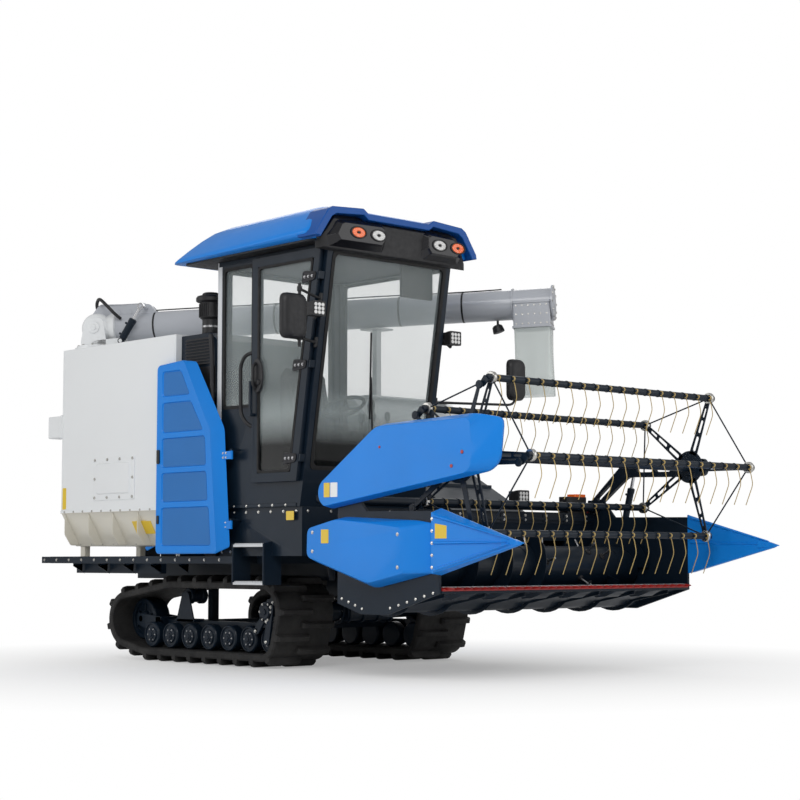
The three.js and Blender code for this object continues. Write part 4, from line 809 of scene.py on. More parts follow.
class Row(Pattern):
    """Copies in a straight row."""

    inputs = {
        "Count": "NodeSocketInt",
        "Start": "NodeSocketVector",
        "Step": "NodeSocketVector",
        "Turn": "NodeSocketVector",
    }

    def build(self) -> bpy.types.NodeSocket:
        """Returns the row's instances."""
        line = self.node(
            "GeometryNodeMeshLine",
            Count=self.given["Count"],
            Start_Location=self.given["Start"],
            Offset=self.given["Step"],
        )
        made = self.node(
            "GeometryNodeInstanceOnPoints",
            Points=line.outputs[0],
            Instance=self.copy,
            Rotation=self.given["Turn"],
        )
        return made.outputs[0]


class Ring(Pattern):
    """Copies round the Z axis, each turned to face outwards."""

    inputs = {"Count": "NodeSocketInt", "Radius": "NodeSocketFloat"}

    def build(self) -> bpy.types.NodeSocket:
        """Returns the ring's instances."""
        ring = self.node("GeometryNodeMeshCircle", Vertices=self.given["Count"], Radius=self.given["Radius"])
        outwards = self.node(
            "FunctionNodeAlignRotationToVector", Vector=self.node("GeometryNodeInputPosition").outputs[0]
        )
        outwards.axis = "X"
        made = self.node(
            "GeometryNodeInstanceOnPoints",
            Points=ring.outputs[0],
            Instance=self.copy,
            Rotation=outwards.outputs[0],
        )
        return made.outputs[0]


class Belt(Pattern):
    """Copies along a closed loop that lies in X and Z, on alternate sides of its middle."""

    inputs = {"Count": "NodeSocketInt", "Shift": "NodeSocketVector"}

    def build(self) -> bpy.types.NodeSocket:
        """Returns the loop's instances."""
        curve = self.node("GeometryNodeMeshToCurve", Mesh=self.given["Geometry"])
        points = self.node("GeometryNodeCurveToPoints", Curve=curve.outputs[0], Count=self.given["Count"])
        across = self.node("ShaderNodeVectorMath")
        across.operation = "CROSS_PRODUCT"
        across.inputs[0].default_value = LEFT
        self.tree.links.new(points.outputs["Tangent"], across.inputs[1])
        upright = self.node("FunctionNodeAlignRotationToVector", Vector=across.outputs[0])
        upright.axis = "Z"
        along = self.node(
            "FunctionNodeAlignRotationToVector", Rotation=upright.outputs[0], Vector=points.outputs["Tangent"]
        )
        along.axis = "X"
        along.pivot_axis = "Z"
        side = self.node("ShaderNodeMath")
        side.operation = "MODULO"
        self.tree.links.new(self.node("GeometryNodeInputIndex").outputs[0], side.inputs[0])
        side.inputs[1].default_value = 2
        signed = self.node("ShaderNodeMapRange", Value=side.outputs[0], To_Min=-1.0, To_Max=1.0)
        shift = self.node("ShaderNodeVectorMath")
        shift.operation = "SCALE"
        self.tree.links.new(self.given["Shift"], shift.inputs[0])
        self.tree.links.new(signed.outputs[0], shift.inputs["Scale"])
        moved = self.node(
            "GeometryNodeSetPosition", Geometry=points.outputs["Points"], Offset=shift.outputs[0]
        )
        made = self.node(
            "GeometryNodeInstanceOnPoints",
            Points=moved.outputs[0],
            Instance=self.copy,
            Rotation=along.outputs[0],
        )
        return made.outputs[0]


# ------------------------------------------------------------------ the workshop


@dataclass
class Workshop:
    """Finishes shapes into pieces that ride on the machine's bodies, and counts them."""

    made: list[str] = field(default_factory=list)
    row: Row = field(default_factory=Row)
    ring: Ring = field(default_factory=Ring)
    belt: Belt = field(default_factory=Belt)

    def place(
        self,
        name: str,
        shape: Shape,
        finish: Finish,
        body: str = "chassis",
        *,
        edge: float = 0.0,
        steps: int = 2,
        smooth: float = 38.0,
        replaces: Sequence[str] = (),
    ) -> bpy.types.Object:
        """Makes a piece of a shape.

        Args:
            name: The piece's name.
            shape: Its shape, on the drawing.
            finish: Its finish.
            body: The body that it rides on.
            edge: The width of the bevel on its sharp edges, in millimetres.
            steps: The bevel's segments.
            smooth: The angle in degrees up to which faces shade as one.
            replaces: Construction nodes that it stands for.

        Returns:
            The piece.
        """
        mesh = shape.moved(DRAWING).mesh(name)
        mesh.materials.clear()
        mesh.materials.append(finish.material())
        mesh.polygons.foreach_set("use_smooth", [True] * len(mesh.polygons))
        mesh.set_sharp_from_angle(angle=math.radians(smooth))
        piece = bpy.data.objects.new(name, mesh)
        bpy.context.scene.collection.objects.link(piece)
        if edge:
            bevel = piece.modifiers.new("edge", "BEVEL")
            bevel.width = edge / 1000
            bevel.segments = steps
            bevel.limit_method = "ANGLE"
            bevel.angle_limit = math.radians(smooth + 2)
            bevel.use_clamp_overlap = True
            bevel.harden_normals = True
        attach(piece, body)
        finish.slot
        if replaces:
            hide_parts(*replaces)
        self.made.append(name)
        log.info("%s on %s", name, body)
        return piece

    def refine(
        self, node: str, finish: Finish, body: str = "chassis", *, edge: float = 3, smooth: float = 38.0
    ) -> None:
        """Shows a construction node as a copy with softened edges."""
        self.place(
            f"{node}_skin", Shape.copy_of(node), finish, body, edge=edge, smooth=smooth, replaces=[node]
        )

    def bolts(
        self,
        places: Iterable[tuple[Point, Point, int]],
        facing: Point,
        radius: float = 8,
        height: float = 7,
    ) -> Shape:
        """Returns rows of bolt heads.

        Args:
            places: For each row its first place, its last place and its count.
            facing: The direction that the heads face.
            radius: The hexagon's radius.
            height: The head's height.

        Returns:
            All the heads as one shape.
        """
        turn = Vector(facing).to_track_quat("Z", "Y").to_euler()
        made = Shape()
        for first, last, count in places:
            step = (Vector(last) - Vector(first)) / max(count - 1, 1)
            head = hex_bolt(radius, height)
            made.add(self.row.bake(head, Finish.ZINC, Count=count, Start=Vector(first), Step=step, Turn=turn))
        return made

    def bolt_ring(self, centre: Point, facing: Point, ring: float, count: int, radius: float = 8) -> Shape:
        """Returns a ring of bolt heads round a place."""
        heads = self.ring.bake(hex_bolt(radius, radius * 0.85), Finish.ZINC, Count=count, Radius=ring)
        turn = Vector(facing).to_track_quat("Z", "Y").to_matrix().to_4x4()
        return heads.moved(Matrix.Translation(Vector(centre)) @ turn)


# ------------------------------------------------------------------ running gear


@dataclass
class RunningGear:
    """One side's rubber track with its wheels, its beam and the guard outside its sprocket."""

    name: str
    side: int
    middle: float = 675.0
    width: float = 500.0
    belt: float = 55.0
    lug_height: float = 40.0
    lug_pitch: float = 90.0
    lug_reach: float = 145.8
    roller_count: int = 7
    roller_rear: float = -1310.0
    roller_step: float = 231.67
    roller_z: float = 190.0
    idler: tuple[float, float, float] = (-1560.0, 300.0, 155.0)
    sprocket: tuple[float, float, float] = (70.0, 385.0, 155.0)
    carrier: tuple[float, float, float] = (-1000.0, 480.0, 60.0)
    roller_radius: float = 95.0
    fork_inner: float = 82.0
    fork_outer: float = 97.0
    guard_inner: float = 862.0
    guard_outer: float = 880.0

    def y(self, distance: float) -> float:
        """Returns the Y of a distance from the machine's middle on this side."""
        return self.side * distance

    def span(self, near: float, far: float) -> tuple[float, float]:
        """Returns two distances from the middle as rising Y values."""
        return (min(self.y(near), self.y(far)), max(self.y(near), self.y(far)))

    def loop(self, grow: float, steps: int = 144) -> list[tuple[float, float]]:
        """Returns the path round all wheels.

        Args:
            grow: How far it runs outside the wheels' rims.
            steps: How many directions it is found in.

        Returns:
            Its points, anticlockwise.
        """
        front = self.roller_rear + (self.roller_count - 1) * self.roller_step
        rims = [self.idler, self.sprocket, self.carrier]
        rims += [(x, self.roller_z, self.roller_radius) for x in (self.roller_rear, front)]
        path = []
        for i in range(steps):
            turn = math.tau * i / steps
            c, s = math.cos(turn), math.sin(turn)
            x, z, r = max(rims, key=lambda rim: rim[0] * c + rim[1] * s + rim[2])
            path.append((x + (r + grow) * c, z + (r + grow) * s))
        return path

    def build(self, shop: Workshop) -> None:
        """Makes the belt, its lugs and the wheels."""
        self.rubber(shop)
        self.rollers(shop)
        self.idler_wheel(shop)
        self.beam(shop)
        self.guard(shop)

    def rubber(self, shop: Workshop) -> None:
        """Makes the belt as a lofted loop, with its staggered lugs.

        Args:
            shop: The workshop.
        """
        half = self.width / 2
        section = [
            (-half + 8, 1), (half - 8, 1), (half, 9), (half, 42), (half - 10, 52),
            (-half + 10, 52), (-half, 42), (-half, 9),
        ]  # fmt: skip
        loops = [(y, self.loop(grow)) for y, grow in section]
        count = len(loops[0][1])
        rings = [
            [(path[i][0], self.y(self.middle + y), path[i][1]) for y, path in loops]
            for i in range(count)
        ]
        belt = Shape().loft(rings, closed=True)
        outer = self.loop(self.belt - 3)
        length = sum(math.dist(a, b) for a, b in zip(outer, outer[1:] + outer[:1]))
        lugs = 2 * round(length / self.lug_pitch / 2)
        path = bpy.data.meshes.new("path")
        path.from_pydata(
            [(x, self.y(self.middle), z) for x, z in outer], [(i, (i + 1) % count) for i in range(count)], []
        )
        shift = Vector((0, self.width / 2 - self.lug_reach, 0))
        belt.add(shop.belt.bake(self.lug(), Finish.BELT, path, Count=lugs, Shift=shift))
        shop.place(f"track_belt_{self.name}", belt, Finish.BELT, smooth=30, replaces=[f"track_{self.name}"])

    def lug(self) -> Shape:
        """Returns one lug: a block with sloping flanks, a worn crest and a lower step at each end."""
        tall, reach = self.lug_height, self.lug_reach
        rows = [
            (-reach, 23, 0.45), (-reach + 14, 24, 0.86), (-reach + 34, 24, 1.0),
            (reach - 34, 24, 1.0), (reach - 14, 24, 0.86), (reach, 23, 0.45),
        ]  # fmt: skip
        rings = []
        for y, foot, share in rows:
            top = 2 + tall * share
            crest = 13 + 9 * (1 - share)
            rings.append(
                [
                    (-foot, y, -10), (foot, y, -10), (crest + 4, y, top - 5), (crest, y, top),
                    (-crest, y, top), (-crest - 4, y, top - 5),
                ]
            )
        return Shape().loft(rings)

    def rollers(self, shop: Workshop) -> None:
        """Makes the road rollers, each two rims on a hub with a bolted outer cap.

        Args:
            shop: The workshop.
        """
        profile = [
            (0, 58), (0, 84), (9, 94.2), (71, 94.2), (80, 84), (80, 42), (96, 38), (244, 38), (260, 42),
            (260, 84), (269, 94.2), (331, 94.2), (340, 86), (340, 79), (331, 76), (331, 56), (340, 53),
            (343, 34), (349, 31), (349, 20), (355, 18), (355, 6),
        ]  # fmt: skip
        wheels, heads = Shape(), Shape()
        for i in range(self.roller_count):
            x = self.roller_rear + i * self.roller_step
            wheels.lathe((x, self.y(510), self.roller_z), (0, self.side, 0), profile, 44)
            heads.add(shop.bolt_ring((x, self.y(850), self.roller_z), (0, self.side, 0), 43, 6, 5.5))
        shop.place(f"road_rollers_{self.name}", wheels, Finish.NAVY, edge=1.5, smooth=30)
        shop.place(f"roller_bolts_{self.name}", heads, Finish.STEEL)

    def idler_wheel(self, shop: Workshop) -> None:
        """Makes the idler with its spokes and its fork, and the carrier roller.

        Args:
            shop: The workshop.
        """
        x, z, radius = self.idler
        near = self.y(self.middle - 70)
        wheel = Shape().lathe(
            (x, near, z),
            (0, self.side, 0),
            [(0, 96), (0, radius - 9), (8, radius - 0.8), (132, radius - 0.8), (140, radius - 9), (140, 122),
             (118, 116), (118, 62), (140, 54), (140, 30)],
            56,
        )  # fmt: skip
        for turn in range(0, 360, 60):
            spoke = Shape().box((-7, -6, 48), (7, 12, 124))
            place = Matrix.Translation((x, self.y(self.middle + 52), z)) @ rotation(turn, "Y")
            wheel.add(spoke, place)
        pin = Shape().rod(
            (x, self.y(self.middle - self.fork_outer), z), (x, self.y(self.middle + self.fork_outer), z), 28,
            28, 3,
        )
        arm = rounded([(x - 45, z - 45), (x + 260, 180), (x + 260, 320), (x - 45, z + 45)], 26)
        for end in (-1, 1):
            low, high = self.span(self.middle + end * self.fork_inner, self.middle + end * self.fork_outer)
            pin.prism(Axis.Y, arm, low, high)
        low, high = self.span(self.middle - self.fork_outer, self.middle + self.fork_outer)
        pin.box((x + 190, low, 180), (x + 260, high, 320))
        shop.place(f"idler_wheel_{self.name}", wheel, Finish.NAVY, edge=2, smooth=30)
        shop.place(f"idler_fork_{self.name}", pin, Finish.NAVY, edge=2)
        cx, cz, small = self.carrier
        top = Shape().lathe(
            (cx, self.y(self.middle - 75), cz),
            (0, self.side, 0),
            [(0, 30), (0, small - 6), (6, small - 0.8), (40, small - 0.8), (46, small - 12),
             (104, small - 12),
             (110, small - 0.8), (144, small - 0.8), (150, small - 6), (150, 34), (146, 26), (160, 20)],
            36,
        )  # fmt: skip
        shop.place(f"carrier_roller_{self.name}", top, Finish.NAVY, edge=1.5, smooth=30)

    def beam(self, shop: Workshop) -> None:
        """Makes the beam that carries the rollers, with its gussets and the carrier's bracket.

        Args:
            shop: The workshop.
        """
        low, high = self.span(self.middle - 35, self.middle + 35)
        outline = [(-1370, 160), (100, 160), (100, 222), (-85, 222), (-145, 300), (-1370, 300)]
        beam = Shape().prism(Axis.Y, outline, low, high)
        for i in range(self.roller_count - 1):
            x = self.roller_rear + (i + 0.5) * self.roller_step
            near, far = self.span(self.middle + 30, self.middle + 92)
            beam.prism(
                Axis.X,
                [
                    (self.y(self.middle + 30), 170), (self.y(self.middle + 92), 176),
                    (self.y(self.middle + 30), 292),
                ][:: self.side],
                x - 6, x + 6,
            )
            beam.box((x - 34, near, 166), (x + 34, far, 178))
        cx, cz, _ = self.carrier
        low, high = self.span(self.middle + 85, self.middle + self.fork_outer)
        beam.prism(
            Axis.Y, rounded([(cx - 110, 290), (cx + 110, 290), (cx + 35, cz + 30), (cx - 35, cz + 30)], 18),
            low, high,
        )
        low, high = self.span(self.middle, self.middle + self.fork_outer)
        beam.box((cx - 110, low, 290), (cx + 110, high, 312))
        shop.place(f"track_beam_{self.name}", beam, Finish.NAVY, edge=2.5)

    def guard(self, shop: Workshop) -> None:
        """Makes the A-shaped guard that holds the outer end of the sprocket's shaft.

        Args:
            shop: The workshop.
        """
        x, z, _ = self.sprocket
        foot = self.roller_rear + (self.roller_count - 1.5) * self.roller_step
        low, high = self.span(self.guard_inner, self.guard_outer)
        guard = Shape()
        guard.prism(
            Axis.Y,
            rounded([(50, 155), (110, 155), (x + 85, z + 15), (x + 85, z + 50), (x + 35, z + 50)], 16), low,
            high,
        )
        guard.prism(
            Axis.Y,
            rounded(
                [(foot - 26, 228), (foot + 26, 228), (x + 40, z - 5), (x + 40, z + 50), (foot + 8, 300)], 16
            ),
            low, high,
        )
        near, far = self.span(self.middle, self.guard_outer)
        guard.box((foot - 20, near, 235), (foot + 20, far, 272))
        guard.lathe(
            (x, self.y(self.guard_inner), z), (0, self.side, 0),
            [(0, 70), (18, 70), (18, 52), (26, 48), (26, 22), (34, 20), (34, 8)], 36,
        )
        shop.place(
            f"sprocket_guard_{self.name}", guard, Finish.NAVY, "chassis", edge=2.5,
            replaces=[f"track_frame_{self.name}"],
        )  # fmt: skip
        heads = shop.bolt_ring((x, self.y(self.guard_outer), z), (0, self.side, 0), 60, 6, 6)
        for bx, bz in ((80, 178), (foot, 250), (foot + 120, 318), (x + 62, z + 34)):
            heads.add(
                hex_bolt(9, 8),
                Matrix.Translation((bx, self.y(self.guard_outer), bz)) @ rotation(-90 * self.side, "X"),
            )
        shop.place(f"guard_bolts_{self.name}", heads, Finish.ZINC)


@dataclass
class Drive:
    """The travel gearbox between the tracks, with its shafts and sprockets."""

    x: float = 70.0
    z: float = 385.0
    teeth: int = 12
    tip: float = 152.0
    root: float = 129.0
    box_half: float = 220.0
    discs: tuple[tuple[float, float], ...] = ((590.0, 606.0), (744.0, 760.0))

    def build(self, shop: Workshop) -> None:
        """Makes the gearbox and both sprockets.

        Args:
            shop: The workshop.
        """
        half = self.box_half
        case = Shape().prism(
            Axis.Y,
            rounded(
                [(self.x - 110, 310), (self.x + 130, 310), (self.x + 130, 620), (self.x - 110, 620)], 50, 6
            ),
            -half,
            half,
        )
        case.prism(
            Axis.Y, rounded([(-40, 600), (175, 600), (175, 719), (-40, 719)], 12), -half + 60, half - 60
        )
        for y in (-half + 20, -70, 70, half - 20):
            case.prism(
                Axis.Y,
                rounded(
                    [(self.x - 122, 298), (self.x + 142, 298), (self.x + 142, 632), (self.x - 122, 632)], 58,
                    6,
                ),
                y - 9,
                y + 9,
            )
        heads = Shape()
        wheels = Shape()
        for side in (-1, 1):
            case.lathe(
                (self.x, side * (half - 6), self.z),
                (0, side, 0),
                [(0, 100), (24, 96), (24, 74), (60, 66), (300, 60), (372, 60)],
                40,
            )
            for near, far in self.discs:
                wheels.prism(Axis.Y, self.sprocket_outline(), *sorted((side * near, side * far)))
            wheels.lathe(
                (self.x, side * 590, self.z), (0, side, 0),
                [(0, 96), (170, 96), (170, 78), (182, 74), (182, 40), (271, 30)], 44,
            )
            heads.add(shop.bolt_ring((self.x, side * 760, self.z), (0, side, 0), 88, 8, 8))
            heads.add(shop.bolt_ring((self.x, side * (half + 16), self.z), (0, side, 0), 84, 8, 7))
        shop.place("travel_gearbox", case, Finish.NAVY, edge=3, replaces=["drive_axle"])
        shop.place("drive_sprockets", wheels, Finish.NAVY, edge=2)
        shop.place("drive_bolts", heads, Finish.ZINC)

    def sprocket_outline(self) -> list[tuple[float, float]]:
        """Returns a sprocket's toothed outline."""
        points = []
        for i in range(self.teeth * 8):
            turn = math.tau * i / (self.teeth * 8)
            wave = math.cos(self.teeth * turn)
            radius = (self.tip + self.root) / 2 + (self.tip - self.root) / 2 * max(-1.0, min(1.0, 1.5 * wave))
            points.append((self.x + radius * math.cos(turn), self.z + radius * math.sin(turn)))
        return points


# ------------------------------------------------------------------ body panels


@dataclass
class GrainTank:
    """The white tank on its tapered hopper, with a bolted inspection panel."""

    wall: float = -1150.0
    rear: float = -2100.0
    front: float = -630.0
    top: float = 2360.0
    shoulder: float = 1110.0
    foot: tuple[float, float] = (-1010.0, 850.0)
    panel: tuple[tuple[float, float], tuple[float, float]] = ((-1658.0, 1190.0), (-1122.0, 1513.0))
    gussets: tuple[float, ...] = (-2050.0, -1730.0, -1410.0, -1090.0, -690.0)

    def build(self, shop: Workshop) -> None:
        """Makes the tank's skin and the fittings on it."""
        shop.refine("grain_tank", Finish.TANK, edge=6)
        self.inspection_panel(shop)
        self.hopper(shop)
        self.lid(shop)
        self.films(shop)

    def inspection_panel(self, shop: Workshop) -> None:
        """Makes the raised panel with its pressed middle and its bolts."""
        (x0, z0), (x1, z1) = self.panel
        plate = Shape().prism(Axis.Y, round_rect((x0, z0), (x1, z1), 18), self.wall - 6, self.wall + 2)
        rim = round_rect((x0 + 44, z0 + 40), (x1 - 44, z1 - 40), 26)
        face = round_rect((x0 + 58, z0 + 54), (x1 - 58, z1 - 54), 22)
        plate.loft([[(x, self.wall - 4, z) for x, z in rim], [(x, self.wall - 15, z) for x, z in face]])
        shop.place("inspection_panel", plate, Finish.WHITE, smooth=15)
        y = self.wall - 6
        rows = [((x0 + 24, y, z), (x1 - 24, y, z), 4) for z in (z0 + 20, z1 - 20)]
        rows += [((x, y, (z0 + z1) / 2), (x, y, (z0 + z1) / 2), 1) for x in (x0 + 22, x1 - 22)]
        shop.place("panel_bolts", shop.bolts(rows, RIGHT, 9, 8), Finish.ZINC)

    def slope(self, x: float, share: float, out: float) -> tuple[float, float, float]:
        """Returns a place on the hopper's outer slope, from its foot at 0 to its shoulder at 1."""
        y = self.foot[0] + (self.wall - self.foot[0]) * share
        z = self.foot[1] + (self.shoulder - self.foot[1]) * share
        run = math.hypot(self.wall - self.foot[0], self.shoulder - self.foot[1])
        return (x, y - out * (self.shoulder - self.foot[1]) / run, z + out * (self.wall - self.foot[0]) / run)

    def hopper(self, shop: Workshop) -> None:
        """Makes the hopper's gussets, pressings and the flange under the upper wall.

        Args:
            shop: The workshop.
        """
        made = Shape()
        for x in self.gussets:
            corners = [
                (self.wall + 3, self.shoulder - 4), (self.foot[0] - 2, self.foot[1] + 6),
                (self.wall + 60, self.foot[1] + 6), (self.wall + 3, self.foot[1] + 90),
            ]
            made.prism(Axis.X, rounded(corners, 16), x - 4, x + 4)
        made.box(
            (self.rear + 2, self.wall - 7, self.shoulder - 10),
            (self.front - 2, self.wall + 4, self.shoulder + 12),
        )
        shop.place("hopper_gussets", made, Finish.TANK, edge=2)
        pressings = Shape()
        for x0, x1 in zip(self.gussets, self.gussets[1:]):
            ring = [(x0 + 40, 0.16), (x1 - 40, 0.16), (x1 - 40, 0.84), (x0 + 40, 0.84)]
            inner = [(x0 + 80, 0.34), (x1 - 80, 0.34), (x1 - 80, 0.66), (x0 + 80, 0.66)]
            pressings.loft([[self.slope(x, s, -2) for x, s in ring], [self.slope(x, s, 9) for x, s in inner]])
        shop.place("hopper_pressings", pressings, Finish.TANK, edge=3, smooth=20)
        rows = [
            (
                (self.rear + 60, self.wall - 7, self.shoulder + 1),
                (self.front - 40, self.wall - 7, self.shoulder + 1), 12,
            )
        ]
        heads = shop.bolts(rows, RIGHT, 7, 6)
        foot = shop.bolts(
            [
                (
                    (self.rear + 80, self.foot[0] - 3, self.foot[1] + 18),
                    (self.front - 60, self.foot[0] - 3, self.foot[1] + 18), 10,
                )
            ],
            (0, -1, 0.3), 8, 7,
        )
        shop.place("hopper_bolts", heads.add(foot), Finish.ZINC)

    def lid(self, shop: Workshop) -> None:
        """Makes the folded rim and the two low lids on the roof, and the box behind the tank.

        Args:
            shop: The workshop.
        """
        rim = Shape()
        corners = [(self.rear, self.wall), (self.front, self.wall), (self.front, -150), (self.rear, -150)]
        inner = [
            (self.rear + 34, self.wall + 34), (self.front - 34, self.wall + 34), (self.front - 34, -184),
            (self.rear + 34, -184),
        ]
        rim.frame(Axis.Z, corners, inner, self.top - 2, self.top + 5)
        for x0, x1 in ((-1640, -1200), (-1170, -720)):
            rim.prism(Axis.Z, round_rect((x0, -760), (x1, -250), 24), self.top - 1, self.top + 9)
            rim.tube(
                filleted(
                    [
                        ((x0 + x1) / 2 - 70, -700, self.top + 8), ((x0 + x1) / 2 - 70, -700, self.top + 36),
                        ((x0 + x1) / 2 + 70, -700, self.top + 36), ((x0 + x1) / 2 + 70, -700, self.top + 8),
                    ],
                    16,
                ),
                6,
            )
        shop.place("tank_lids", rim, Finish.WHITE, edge=2)
        case = Shape().prism(
            Axis.X, round_rect((-1128, 1690), (-1010, 1862), 14), self.rear - 232, self.rear + 2
        )
        case.prism(Axis.X, round_rect((-1134, 1684), (-1004, 1868), 14), self.rear - 60, self.rear - 40)
        case.prism(Axis.X, round_rect((-1120, 1700), (-1018, 1852), 12), self.rear - 240, self.rear - 230)
        shop.place("sample_box", case, Finish.WHITE, edge=4)
        seam = Shape()
        for x in (self.rear + 10, self.front - 22):
            seam.box((x, self.wall - 3, self.shoulder + 16), (x + 12, self.wall + 2, self.top - 16))
        for z in (1300, 1700, 2100):
            seam.box((self.rear - 3, self.wall + 40, z), (self.rear + 2, -190, z + 26))
        shop.place("tank_seams", seam, Finish.WHITE, edge=1)

    def films(self, shop: Workshop) -> None:
        """Makes the blank yellow safety films."""
        film = Shape().prism(
            Axis.Y, round_rect((-2092, 1132), (-2030, 1296), 8), self.wall - 2, self.wall + 1
        )
        places = [(-1200, 0.35), (-965, 0.35), (-965, 0.7), (-1200, 0.7)]
        film.loft([[self.slope(x, s, -1) for x, s in places], [self.slope(x, s, 11.5) for x, s in places]])
        shop.place("tank_films", film, Finish.YELLOW)


@dataclass
class EngineCover:
    """The blue side cover over the engine, with five pressed panels, on two hinges."""

    inner: float = -1160.0
    outer: float = -1220.0
    foot: tuple[tuple[float, float], ...] = ((-760, 787), (30, 827), (-40, 1655), (-370, 2150), (-760, 2140))
    face: tuple[tuple[float, float], ...] = (
        (-760, 787), (-40, 787), (-125, 1650), (-440, 2160), (-760, 2140)
    )
    hinge: tuple[float, float] = (48.0, -1165.0)
    hinge_heights: tuple[float, float] = (985.0, 1465.0)
    depth: float = 9.0

    def panels(self) -> list[list[tuple[float, float]]]:
        """Returns the outlines of the five pressed panels, from the top down."""
        return [
            [(-700, 1905), (-362, 1905), (-470, 2094), (-700, 2094)],
            [(-700, 1646), (-205, 1646), (-348, 1868), (-700, 1868)],
            [(-700, 1398), (-168, 1398), (-182, 1612), (-700, 1612)],
            [(-700, 1152), (-146, 1152), (-164, 1364), (-700, 1364)],
            [(-700, 840), (-108, 840), (-134, 1118), (-700, 1118)],
        ]

    def build(self, shop: Workshop) -> None:
        """Makes the cover with its pressings, its latch and its hinges.

        Args:
            Makes the cover with its pressings, painted shade on their floors, its latch and its hinges.
        """
        foot, face = rounded(self.foot, 30), rounded(self.face, 34)
        rings = [
            [(x, self.inner, z) for x, z in foot],
            [(x, self.outer + 8, z) for x, z in face],
        ]
        body = Shape().loft([*rings, [(x, self.outer, z) for x, z in self.shrunk(face, 8)]])
        tool = Shape()
        for outline in self.panels():
            wide, narrow = rounded(outline, 30), rounded(self.shrunk(outline, 12), 24)
            tool.loft(
                [
                    [(x, self.outer - 4, z) for x, z in wide],
                    [(x, self.outer + self.depth, z) for x, z in narrow],
                ]
            )
        body = cut(body, tool)
        x, y = self.hinge
        for z in self.hinge_heights:
            body.rod((x, y, z - 30), (x, y, z + 30), 10, 20, 2)
            body.box((-60, y - 7, z - 28), (x, y + 5, z + 28))
        shop.place(
            "engine_cover_panel", body, Finish.BLUE, "engine_cover", edge=3, smooth=24,
            replaces=["engine_side_cover"],
        )
        # Darker blue plates on the pressings' floors: painted shade in the recesses.
        pressed = Shape()
        for outline in self.panels():
            flat = rounded(self.shrunk(outline, 17), 22)
            pressed.prism(Axis.Y, flat, self.outer + self.depth - 2, self.outer + self.depth + 2)
        shop.place("engine_cover_pressings", pressed, Finish.PRESSED, "engine_cover", edge=1)
        latch = Shape().prism(
            Axis.Y, round_rect((-745, 1430), (-715, 1530), 10), self.outer - 10, self.outer + 2
        )
        latch.prism(Axis.Y, round_rect((-742, 1000), (-718, 1060), 8), self.outer - 8, self.outer + 2)
        shop.place("engine_cover_latches", latch, Finish.BLACK, "engine_cover", edge=2)
        rows = [((-40, y - 7, z - 16), (-40, y - 7, z + 16), 2) for z in self.hinge_heights]
        rows += [((-8, y - 7, z - 16), (-8, y - 7, z + 16), 2) for z in self.hinge_heights]
        shop.place("cover_hinge_bolts", shop.bolts(rows, RIGHT, 6, 5), Finish.ZINC, "engine_cover")

    @staticmethod
    def shrunk(outline: Sequence[Point], by: float) -> list[tuple[float, float]]:
        """Returns an outline drawn in towards its middle by about a distance."""
        middle = sum((Vector(p) for p in outline), Vector((0, 0))) / len(outline)
        made = []
        for p in outline:
            away = Vector(p) - middle
            made.append(tuple(middle + away * (1 - by / away.length)))
        return made


